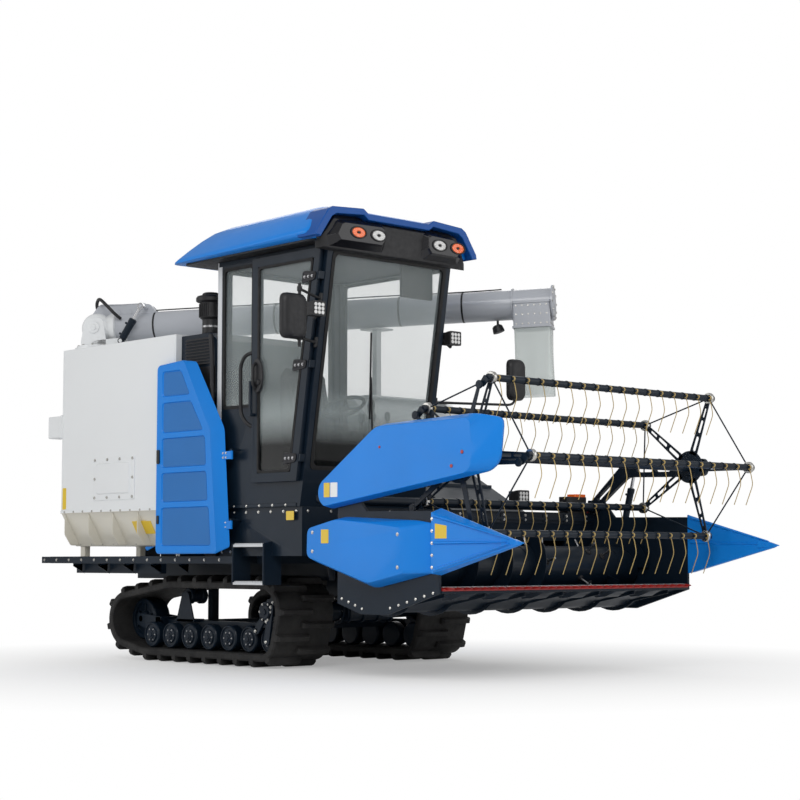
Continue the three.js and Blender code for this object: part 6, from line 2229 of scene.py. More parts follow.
@dataclass
class Mirrors:
    """The two mirrors on their arms, and the work lights on the front pillars."""

    def build(self, shop: Workshop) -> None:
        """Makes both mirrors and the lights.

        Args:
            shop: The workshop.
        """
        cab = Cab()
        x, y = 985, -1350
        arms = Shape()
        for z, top in ((2470, 2500), (2180, 2180)):
            arms.tube(
                filleted(
                    [
                        (cab.front(z) - 16, cab.right - 2, z), (cab.front(z) + 10, cab.right - 70, z),
                        (x, y, top),
                    ],
                    40,
                ),
                9, 16,
            )
            arms.prism(
                Axis.Y,
                rounded(
                    [
                        (cab.front(z - 34) - 28, z - 34), (cab.front(z - 34) - 2, z - 34),
                        (cab.front(z + 34) - 2, z + 34), (cab.front(z + 34) - 28, z + 34),
                    ],
                    8,
                ),
                cab.right - 15, cab.right - 0.5,
            )
        arms.rod((x, y, 2120), (x, y, 2536), 11, 20, 2)
        for z in (2180, 2500):
            arms.lathe((x, y, z - 16), UP, [(0, 17), (32, 17)], 20)
        shop.place("mirror_arms_right", arms, Finish.BLACK, edge=1)
        self.head(shop, "right", Vector((x + 14, y - 60, 2316)), 205, 296)
        left = Shape().tube(
            filleted(
                [
                    (cab.front(1850) - 16, cab.left + 2, 1850), (cab.front(1850) + 40, cab.left + 120, 1850),
                    (1050, 615, 1850), (1050, 615, 2010),
                ],
                60,
            ),
            9, 16,
        )
        left.prism(
            Axis.Y,
            rounded(
                [
                    (cab.front(1816) - 28, 1816), (cab.front(1816) - 2, 1816), (cab.front(1884) - 2, 1884),
                    (cab.front(1884) - 28, 1884),
                ],
                8,
            ),
            cab.left + 0.5, cab.left + 15,
        )
        shop.place("mirror_arm_left", left, Finish.BLACK, edge=1)
        self.head(shop, "left", Vector((1064, 615, 2030)), 165, 296)
        self.work_light(
            shop, "right", Vector((cab.front(2380) + 62, -1200, 2384)),
            Vector((cab.front(2380) - 10, cab.right + 12, 2384)),
        )
        self.work_light(
            shop, "left", Vector((cab.front(2300) + 14, 118, 2300)),
            Vector((cab.front(2300) - 16, cab.left + 2, 2300)),
        )

    def head(self, shop: Workshop, name: str, centre: Vector, width: float, height: float) -> None:
        """Makes one mirror head with a crowned back and its glass.

        Args:
            shop: The workshop.
            name: The side.
            centre: The head's middle.
            width: Its width across Y.
            height: Its height.
        """
        rings = []
        for x, share in ((-26, 0.94), (-22, 1.0), (0, 1.0), (16, 0.93), (26, 0.78), (31, 0.5)):
            u, v = width / 2 * share, height / 2 * (0.4 * share + 0.6 if share < 0.9 else share)
            outline = rounded([(-u, -v), (u, -v), (u, v), (-u, v)], 52, 7)
            rings.append([centre + Vector((x, a, b)) for a, b in outline])
        node = f"mirror_{name}"
        shop.place(f"mirror_head_{name}", Shape().loft(rings), Finish.BLACK, smooth=50, replaces=[node])
        u, v = width / 2 - 14, height / 2 - 14
        outline = rounded([(-u, -v), (u, -v), (u, v), (-u, v)], 42, 7)
        glass = Shape().loft([[centre + Vector((x, a, b)) for a, b in outline] for x in (-29, -25)])
        shop.place(f"mirror_pane_{name}", glass, Finish.MIRROR, edge=1)

    def work_light(
        self, shop: Workshop, name: str, centre: Vector, foot: Vector, body: str = "chassis"
    ) -> None:
        """Makes a square work light with cooling fins on a bracket.

        Args:
            shop: The workshop.
            name: The side.
            centre: The lamp's middle.
            foot: The bracket's foot on the pillar.
            body: The body that it rides on.
        """
        case = Shape()
        outline = round_rect((-56, -50), (56, 50), 12)
        case.loft(
            [
                [centre + Vector((x, a * s, b * s)) for a, b in outline]
                for x, s in ((-30, 0.86), (-4, 0.96), (22, 1.0), (34, 1.0))
            ]
        )
        fin = Shape().box((-22, -2, -44), (22, 2, 44))
        fins = shop.row.bake(
            fin, Finish.BLACK, Count=9, Start=centre + Vector((-46, -44, 0)), Step=Vector((0, 11, 0))
        )
        case.add(fins)
        case.tube(
            filleted(
                [
                    foot, foot + Vector((6, (centre.y - foot.y) * 0.4, -30)), centre + Vector((-16, 0, -66)),
                    centre + Vector((-10, 0, -40)),
                ],
                20,
            ),
            7, 14,
        )
        shop.place(f"work_light_{name}", case, Finish.BLACK, body, edge=1)
        pane = Shape()
        spot = Shape().spot((0, 0, 0), FORWARD, 13, 5, 16)
        for v in (-26, 0, 26):
            pane.add(
                shop.row.bake(
                    Shape().add(spot.copy_mesh()), Finish.CLEAR, Count=3, Start=centre + Vector((33, -30, v)),
                    Step=Vector((0, 30, 0)),
                )
            )
        shop.place(f"work_light_lens_{name}", pane, Finish.CLEAR, body)


@dataclass
class Platform:
    """The cab's platform with its two steps."""

    steps: tuple[float, float] = (590.0, 847.0)
    xs: tuple[float, float] = (50.0, 390.0)
    outer: float = -1150.0
    inner: float = -1000.0
    tooth: float = 17.0

    def build(self, shop: Workshop) -> None:
        """Makes the platform, the serrated treads and the fittings.

        Args:
            shop: The workshop.
        """
        shop.refine("cab_platform", Finish.NAVY, edge=4)
        treads = Shape()
        for z in self.steps:
            treads.prism(
                Axis.Z, round_rect((self.xs[0] + 4, self.outer - 6), (self.xs[1] - 4, self.inner), 6), z - 14,
                z + 3,
            )
            count = int((self.xs[1] - self.xs[0] - 20) / self.tooth)
            tooth = Shape().loft(
                [
                    [(-6, -72, 0), (6, -72, 0), (6, 72, 0), (-6, 72, 0)],
                    [(-3, -70, 9), (3, -70, 9), (3, 70, 9), (-3, 70, 9)],
                ]
            )
            start = Vector((self.xs[0] + 16, (self.outer + self.inner) / 2, z + 2))
            treads.add(
                shop.row.bake(
                    tooth, Finish.PALE_GREY, Count=count, Start=start, Step=Vector((self.tooth, 0, 0))
                )
            )
        shop.place("step_treads", treads, Finish.PALE_GREY, edge=1)
        fit = Shape()
        for x in (self.xs[0] + 3, self.xs[1] - 3):
            fit.tube([(x, self.outer - 2, 578), (x, self.outer - 2, 856)], 8, 14)
        fit.tube(
            filleted(
                [
                    (690, -700, 790), (742, -700, 770), (742, -700, 720), (742, -620, 720), (742, -620, 770),
                    (690, -620, 790),
                ],
                24,
            ),
            9, 14,
        )
        shop.place("step_rods", fit, Finish.NAVY)
        rows = [((-160, -1080, 1070), (640, -1080, 1070), 7), ((-160, -1080, 800), (30, -1080, 800), 3)]
        front = shop.bolts([((700, -1030, 1070), (700, -10, 1070), 6)], FORWARD)
        shop.place("platform_bolts", shop.bolts(rows, RIGHT).add(front), Finish.ZINC)
        film = Shape().prism(Axis.Y, round_rect((560, 1010), (640, 1070), 6), -1101.5, -1099.5)
        shop.place("platform_film", film, Finish.YELLOW)


# ------------------------------------------------------------------ rams


@dataclass
class Ram:
    """A hydraulic cylinder between two pins in a plane across Y."""

    name: str
    base: tuple[float, float]
    lug: tuple[float, float]
    y: float
    radius: float
    pin: float
    barrel: float
    width: float
    rod: float
    grip: float
    place: Matrix = field(default_factory=Matrix)

    def at(self, reach: float) -> Vector:
        """Returns the place on the cylinder's line at a distance from its base pin."""
        start, end = Vector(self.base), Vector(self.lug)
        here = start + (end - start).normalized() * reach
        return Vector((here.x, self.y, here.y))

    def build(self, shop: Workshop) -> None:
        """Makes the barrel with its gland and ports, and the rod with its eye.

        Args:
            shop: The workshop.
        """
        start, ahead = self.at(0), (self.at(1) - self.at(0))
        eye = self.pin * 1.7
        tube = Shape().lathe(
            start,
            ahead,
            [(self.pin, self.radius * 0.7), (self.pin * 1.5, self.radius), (self.barrel - 34, self.radius),
             (self.barrel - 32, self.radius + 2.5), (self.barrel - 4, self.radius + 2.5),
             (self.barrel, self.radius - 2),
             (self.barrel + 3, self.rod + 5), (self.barrel + 4, self.rod + 0.3)],
            32,
        )  # fmt: skip
        tube.rod(
            (start.x, self.y - self.width / 2, start.z), (start.x, self.y + self.width / 2, start.z), eye, 32,
            2,
        )
        side = ahead.cross(Vector(LEFT))
        for reach in (self.pin * 3.2, self.barrel - 52):
            port = self.at(reach)
            tube.rod(port + side * (self.radius - 4), port + side * (self.radius + 16), 9, 14, 2)
        tube.moved(self.place)
        shop.place(
            f"{self.name}_ram_tube", tube, Finish.NAVY, f"{self.name}_barrel", edge=1.5,
            replaces=[f"{self.name}_ram_barrel"],
        )
        reach = math.dist(self.base, self.lug)
        end = self.at(reach)
        rod = Shape().rod(self.at(self.grip), self.at(reach - self.pin - 4), self.rod, 32, 1)
        rod.rod(
            (end.x, self.y - self.width / 2, end.z), (end.x, self.y + self.width / 2, end.z), self.pin + 12,
            32, 2,
        )
        rod.moved(self.place)
        shop.place(
            f"{self.name}_ram_piston", rod, Finish.CHROME, f"{self.name}_rod", edge=1,
            replaces=[f"{self.name}_ram_rod"],
        )


# ------------------------------------------------------------------ unloader


@dataclass
class Unloader:
    """The swinging unloading auger: its turret, its tube, its spout and its clear sleeve."""

    place: tuple[float, float, float] = (-1900.0, -950.0, 2530.0)
    heading: float = 35.8
    pitch: float = 1.9
    length: float = 3540.0
    radius: float = 112.0
    base: float = -149.7
    ears: float = 140.0
    ram_base: tuple[float, float] = (240.0, -115.0)
    ram_lug: tuple[float, float] = (400.0, 135.0)
    spout: tuple[float, float] = (3250.0, 3525.0)
    spout_half: float = 125.0
    spout_bottom: float = -190.0
    sleeve: float = 500.0

    @property
    def turret(self) -> Matrix:
        """Returns the turret's matrix on the drawing."""
        return Matrix.Translation(self.place) @ rotation(self.heading, "Z")

    @property
    def boom(self) -> Matrix:
        """Returns the boom's matrix on the drawing."""
        return self.turret @ rotation(-self.pitch, "Y")

    def build(self, shop: Workshop) -> None:
        """Makes the whole unloader.

        Args:
            shop: The workshop.
        """
        self.base_ring(shop)
        self.barrel(shop)
        self.fittings(shop)
        self.outlet(shop)
        self.clear_sleeve(shop)
        tilt = math.radians(self.pitch)
        u, v = self.ram_lug
        lug = (u * math.cos(tilt) - v * math.sin(tilt), u * math.sin(tilt) + v * math.cos(tilt))
        Ram(
            "unloader", self.ram_base, lug, y=-self.ears - 45, radius=28, pin=14, barrel=190, width=34,
            rod=14, grip=60, place=self.turret,
        ).build(shop)

    def base_ring(self, shop: Workshop) -> None:
        """Makes the turret's bolted flange, its neck, its ears and the ram's arm.

        Args:
            shop: The workshop.
        """
        made = Shape().lathe(
            (0, 0, self.base), UP,
            [(0, 172), (0, 175), (12, 175), (14, 172), (14, 150), (24, 140), (27, 128)], 56,
        )
        for side in (-1, 1):
            outline = rounded([(-110, self.base + 2), (110, self.base + 2), (70, 74), (-70, 74)], 40, 6)
            made.prism(Axis.Y, outline, *sorted((side * self.ears, side * (self.ears - 15))))
            made.lathe(
                (0, side * self.ears, 0), (0, side, 0), [(0, 46), (8, 46), (10, 40), (10, 26), (16, 22)], 32
            )
        x, z = self.ram_base
        arm = [
            (-40, self.base + 2), (80, self.base + 2), (x + 32, z - 32), (x + 32, z + 32), (x - 30, z + 30),
            (0, self.base + 50),
        ]
        made.prism(Axis.Y, rounded(arm, 22), -self.ears, -self.ears + 15)
        made.rod((x, -self.ears - 70, z), (x, -self.ears + 5, z), 14, 24, 2)
        made.moved(self.turret)
        shop.place(
            "unloader_turret_casting", made, Finish.WHITE, "unloader_turret", edge=3,
            replaces=["unloader_elbow"],
        )
        heads = shop.bolt_ring((0, 0, self.base + 14), UP, 162, 12, 9).moved(self.turret)
        shop.place("turret_bolts", heads, Finish.ZINC, "unloader_turret")

    def barrel(self, shop: Workshop) -> None:
        """Makes the tube with its flanges, the ball at its hinge and the mast over it.

        Args:
            shop: The workshop.
        """
        r = self.radius
        tube = Shape().lathe(
            (0, 0, 0),
            FORWARD,
            [(60, r - 6), (150, r), (1752, r), (1754, r + 20), (1764, r + 20), (1765, r + 17),
             (1767, r + 17), (1768, r + 20),
             (1778, r + 20), (1780, r), (self.length - 8, r), (self.length - 6, r + 22),
             (self.length + 5, r + 22),
             (self.length + 8, r + 16), (self.length + 8, 60),
             (self.length + 16, 54), (self.length + 16, 20)],
            72,
        )  # fmt: skip
        shop.place(
            "unloader_pipe", tube.moved(self.boom), Finish.GREY, "unloader_boom", smooth=30,
            replaces=["unloader_tube"],
        )
        ball = Shape()
        profile = [
            (-123, 66), (-118, 92), (-96, 112), (-60, 119), (0, 120), (60, 119), (96, 112), (118, 92),
            (123, 66),
        ]
        ball.lathe((0, 0, 0), LEFT, profile, 56)
        ball.lathe((0, 0, 0), FORWARD, [(70, 104), (112, 122), (130, 124), (150, 124), (158, 113)], 56)
        shop.place("unloader_ball", ball.moved(self.boom), Finish.WHITE, "unloader_boom", smooth=40)
        x, z = self.ram_lug
        mast = Shape()
        outline = rounded([(-60, r - 20), (x + 90, r - 20), (x + 30, z + 35), (20, z + 55)], 24)
        mast.prism(Axis.Y, outline, -50, -35)
        mast.prism(
            Axis.Y, rounded([(120, r - 20), (x + 84, r - 20), (x + 30, z + 30), (160, z + 40)], 20), 35, 50
        )
        mast.box((30, -50, z + 36), (x - 20, 50, z + 46))
        mast.rod((x, -self.ears - 65, z), (x, 52, z), 14, 24, 2)
        for d in (170, 260):
            mast.lathe((d, -51, z - 20), RIGHT, [(0, 22), (3, 22), (4, 16)], 28)
        shop.place("unloader_mast", mast.moved(self.boom), Finish.GREY, "unloader_boom", edge=2.5)

    def fittings(self, shop: Workshop) -> None:
        """Makes the bolts, the hose, the cable with its clips and the lamp under the tube.

        Args:
            shop: The workshop.
        """
        r = self.radius
        heads = shop.bolt_ring((self.length + 7, 0, 0), FORWARD, r + 11, 12, 8)
        heads.add(shop.bolt_ring((1779, 0, 0), FORWARD, r + 11, 12, 7))
        shop.place("unloader_bolts", heads.moved(self.boom), Finish.ZINC, "unloader_boom")
        path = [(140, -30, r + 6)]
        path += [
            (x, -18 + 8 * math.sin(x / 190), r + 8 + 3 * math.sin(x / 270))
            for x in range(300, int(self.length) - 380, 120)
        ]
        path += [(self.length - 380, -18, r + 7)]
        cable = Shape().tube(filleted(path, 50, 3), 5, 8)
        for x in range(460, int(self.length) - 400, 480):
            cable.lathe((x, 0, 0), FORWARD, [(0, r + 0.5), (0, r + 1.6), (14, r + 1.6), (14, r + 0.5)], 48)
        shop.place("unloader_cable", cable.moved(self.boom), Finish.BLACK, "unloader_boom")
        hose = [
            (210, -112, 60), (180, -150, 90), (120, -168, 160), (60, -140, 215), (20, -80, 225),
            (-10, -40, 190), (0, -30, 128),
        ]
        shop.place(
            "unloader_hose", Shape().tube(filleted(hose, 60), 13, 14).moved(self.boom), Finish.BLACK,
            "unloader_boom",
        )
        lamp = Shape().lathe(
            (3120, 0, -r - 62), (0.3, 0, -1), [(-30, 26), (-20, 38), (14, 44), (26, 44), (28, 38)], 32
        )
        lamp.tube([(3120, 0, -r + 4), (3120, 0, -r - 40)], 9, 14)
        shop.place("unloader_lamp", lamp.moved(self.boom), Finish.BLACK, "unloader_boom")

    def outlet(self, shop: Workshop) -> None:
        """Makes the folded spout box with its rivets.

        Args:
            shop: The workshop.
        """
        x0, x1 = self.spout
        half, low = self.spout_half, self.spout_bottom
        made = Shape()
        outer = round_rect((x0, -half), (x1, half), 14)
        inner = round_rect((x0 + 8, -half + 8), (x1 - 8, half - 8), 10)
        made.frame(Axis.Z, outer, inner, low, 8)
        made.frame(Axis.Z, round_rect((x0 - 8, -half - 8), (x1 + 8, half + 8), 16), inner, low, low + 16)
        made.frame(Axis.Z, round_rect((x0 - 6, -half - 6), (x1 + 6, half + 6), 16), inner, -8, 12)
        made.lathe(
            (x0 - 14, 0, 0), FORWARD,
            [(0, self.radius + 1), (0, self.radius + 13), (12, self.radius + 13), (12, self.radius + 1)], 56,
        )
        shop.place(
            "spout_box", made.moved(self.boom), Finish.GREY, "unloader_boom", edge=2,
            replaces=["discharge_spout"],
        )
        rivets = Shape()
        for z in (low + 30, low + 100, -24):
            rows = [((x0 + 24, -half, z), (x1 - 24, -half, z), 6)]
            rivets.add(shop.bolts(rows, RIGHT, 5, 4))
            rivets.add(shop.bolts([((x0 + 24, half, z), (x1 - 24, half, z), 6)], LEFT, 5, 4))
            rivets.add(shop.bolts([((x1, -half + 24, z), (x1, half - 24, z), 5)], FORWARD, 5, 4))
        shop.place("spout_rivets", rivets.moved(self.boom), Finish.ZINC, "unloader_boom")

    def clear_sleeve(self, shop: Workshop) -> None:
        """Makes the clear plastic sleeve that hangs from the spout, with its soft folds.

        Args:
            shop: The workshop.
        """
        x0, x1 = self.spout[0] + 3, self.spout[1] - 3
        half = self.spout_half - 3
        around = round_rect((x0, -half), (x1, half), 20, 4)
        dense: list[Vector] = []
        for a, b in zip(around, around[1:] + around[:1]):
            steps = max(1, int(math.dist(a, b) / 24))
            dense += [Vector(a).lerp(Vector(b), k / steps) for k in range(steps)]
        middle = Vector(((x0 + x1) / 2, 0))
        rings = []
        for k in range(26):
            share = k / 25
            z = self.spout_bottom + 2 - share * (self.sleeve + 1)
            ring = []
            for i, point in enumerate(dense):
                turn = math.tau * i / len(dense)
                fold = 7 * share * math.sin(5 * turn + 0.8 + share)
                fold += 3 * share * math.sin(11 * turn + 4 * share)
                out = (point - middle).normalized() * (fold - 4 * math.sin(math.pi * share))
                ring.append((point.x + out.x, point.y + out.y, z))
            rings.append(ring)
        shrink = 0.985
        inner = [
            [(middle.x + (x - middle.x) * shrink, y * shrink, z) for x, y, z in ring]
            for ring in reversed(rings)
        ]
        skin = Shape().loft(rings + inner, closed=True).moved(self.boom)
        piece = shop.place(
            "clear_sleeve", skin, Finish.SLEEVE, "unloader_boom", smooth=60, replaces=["discharge_sleeve"]
        )


# ------------------------------------------------------------------ thresher and frame


@dataclass
class Thresher:
    """The thresher's white body, its blue side door and the straw hood behind it."""

    outer: float = 1100.0
    door: tuple[tuple[float, float], tuple[float, float]] = ((-1900.0, 830.0), (-120.0, 1860.0))
    hinge: tuple[float, float] = (1110.3, 1866.0)

    def build(self, shop: Workshop) -> None:
        """Makes the body, the door and the hood."""
        shop.refine("thresher_body", Finish.WHITE, edge=7)
        self.skins(shop)
        self.side_door(shop)
        self.hood(shop)

    def skins(self, shop: Workshop) -> None:
        """Makes the pressed panels, seams and bolts on the body.

        Args:
            shop: The workshop.
        """
        made = Shape()
        for x0, x1 in ((-1960, -1260), (-1220, -620), (-180, 60)):
            rim = round_rect((x0, 90), (x1, 1040), 40)
            face = round_rect((x0 + 14, 104), (x1 - 14, 1026), 34)
            made.loft([[(x, y, 1948) for x, y in rim], [(x, y, 1960) for x, y in face]])
        for x in (-2010, 40):
            made.box((x, self.outer - 2, 800), (x + 26, self.outer + 5, 1680))
        made.prism(Axis.X, round_rect((40, 1180), (140, 1560), 20), 196, 206)
        shop.place("thresher_panels", made, Finish.WHITE, edge=2, smooth=24)
        rows = [((-1940, self.outer + 5, 1905), (20, self.outer + 5, 1905), 12)]
        rows += [((x + 13, self.outer + 5, 850), (x + 13, self.outer + 5, 1650), 7) for x in (-2010, 40)]
        heads = shop.bolts(rows, LEFT)
        heads.add(
            shop.bolts(
                [((200, 60, 1660), (200, 1060, 1660), 8), ((200, 60, 800), (200, 1060, 800), 8)], FORWARD
            )
        )
        shop.place("thresher_bolts", heads, Finish.ZINC)
        box = Shape().box((-2006, self.outer - 2, 1892), (66, self.outer + 5, 1918))
        shop.place("thresher_rail", box, Finish.NAVY, edge=2)

    def side_door(self, shop: Workshop) -> None:
        """Makes the lift-up side door with pressed fields, latches and hinge barrels.

        Args:
            shop: The workshop.
        """
        (x0, z0), (x1, z1) = self.door
        near, far = self.outer + 6, self.outer + 41
        base = round_rect((x0, z0), (x1, z1), 40, 6)
        face = round_rect((x0 + 40, z0 + 40), (x1 - 40, z1 - 30), 60, 6)
        mid = round_rect((x0 + 4, z0 + 4), (x1 - 4, z1 - 3), 40, 6)
        body = Shape().loft(
            [
                [(x, near, z) for x, z in base], [(x, near + 16, z) for x, z in mid],
                [(x, far, z) for x, z in face],
            ]
        )
        tool = Shape()
        for k in range(3):
            left = x0 + 90 + k * 548
            for low, high in ((z0 + 80, z0 + 500), (z0 + 545, z1 - 80)):
                wide = round_rect((left, low), (left + 500, high), 50, 5)
                slim = round_rect((left + 16, low + 16), (left + 484, high - 16), 40, 5)
                tool.loft([[(x, far + 4, z) for x, z in wide], [(x, far - 10, z) for x, z in slim]])
        body = cut(body, tool)
        y, z = self.hinge
        for x in (-1700, -1000, -320):
            body.rod((x - 60, y, z), (x + 60, y, z), 10, 20, 2)
        shop.place(
            "thresher_door_panel", body, Finish.BLUE, "thresher_door", edge=3, smooth=24,
            replaces=["thresher_side_door"],
        )
        latch = Shape()
        for x in (x0 + 330, x1 - 330):
            latch.prism(Axis.Y, round_rect((x - 46, z0 + 14), (x + 46, z0 + 56), 12), near + 8, far + 6)
            latch.tube(
                filleted(
                    [
                        (x - 34, far + 2, z0 + 36), (x - 34, far + 26, z0 + 36), (x + 34, far + 26, z0 + 36),
                        (x + 34, far + 2, z0 + 36),
                    ],
                    14,
                ),
                5, 12,
            )
        shop.place("thresher_door_latches", latch, Finish.BLACK, "thresher_door", edge=2)

    def hood(self, shop: Workshop) -> None:
        """Makes the straw hood with its ribs, its curtain and its bolts.

        Args:
            shop: The workshop.
        """
        shop.refine("straw_hood", Finish.BLUE, edge=5)
        ribs = Shape()
        for y in (120, 480, 840):
            ribs.loft(
                [
                    [
                        (-2497, y - 30, 900), (-2497, y + 30, 900), (-2497, y + 30, 1350),
                        (-2497, y - 30, 1350),
                    ],
                    [
                        (-2506, y - 18, 915), (-2506, y + 18, 915), (-2506, y + 18, 1335),
                        (-2506, y - 18, 1335),
                    ],
                ]
            )
        shop.place("hood_ribs", ribs, Finish.BLUE, edge=2, smooth=24)
        flap = Shape()
        for k in range(7):
            y = -92 + k * 163
            flap.loft(
                [
                    [
                        (-2486 - 3 * math.sin(k), y, 880), (-2479, y, 880), (-2479, y + 158, 880),
                        (-2486, y + 158, 880),
                    ],
                    [
                        (-2478, y + 2, 690), (-2471, y + 2, 690), (-2471 - 4 * math.cos(k), y + 155, 690),
                        (-2478, y + 155, 690),
                    ],
                ]
            )
        shop.place("hood_curtain", flap, Finish.GASKET, edge=1)
        heads = shop.bolts([((-2496, -60, 1372), (-2496, 1020, 1372), 9)], BACKWARD)
        shop.place("hood_bolts", heads, Finish.ZINC)


@dataclass
class Chassis:
    """The welded main frame with its deck, its rails and its tail lamps."""

    rear: float = -2150.0
    half: float = 1150.0
    deck: float = 770.0

    def build(self, shop: Workshop) -> None:
        """Makes the frame's skin and its fittings.

        Args:
            shop: The workshop.
        """
        shop.refine("main_frame", Finish.NAVY, edge=4)
        made = Shape()
        for side in (-1, 1):
            near, far = sorted((side * (self.half - 52), side * (self.half + 1)))
            for z in (self.deck - 51, self.deck - 7):
                made.box((self.rear - 90, near, z), (-300, far, z + 8))
            for x in range(-2000, -300, 340):
                a, b = sorted((side * (self.half - 160), side * (self.half - 50)))
                made.prism(
                    Axis.X,
                    [(a, 719), (b, 719), ((b if side > 0 else a), 700), ((a if side > 0 else b), 640)], x - 5,
                    x + 5,
                )
        made.box((self.rear - 180, -1148, self.deck - 46), (self.rear - 60, -1000, self.deck - 2))
        shop.place("deck_rails", made, Finish.NAVY, edge=2)
        heads = shop.bolts([((-2320, -self.half, 745), (-100, -self.half, 745), 14)], RIGHT)
        heads.add(shop.bolts([((-2120, self.half, 745), (120, self.half, 745), 14)], LEFT))
        heads.add(shop.bolts([((self.rear, -900, 745), (self.rear, 900, 745), 8)], BACKWARD, 9, 8))
        shop.place("frame_bolts", heads, Finish.ZINC)
        for name, y in (("right", -1060), ("left", 1060)):
            case = Shape().prism(
                Axis.X, round_rect((y - 70, 722), (y + 70, 766), 10), self.rear - 22, self.rear + 2
            )
            shop.place(f"tail_lamp_case_{name}", case, Finish.BLACK, edge=2)
            lens = Shape().prism(
                Axis.X, round_rect((y - 62, 728), (y + 62, 760), 8), self.rear - 28, self.rear - 20
            )
            shop.place(f"tail_lamp_lens_{name}", lens, Finish.AMBER, edge=2)


# ------------------------------------------------------------------ header


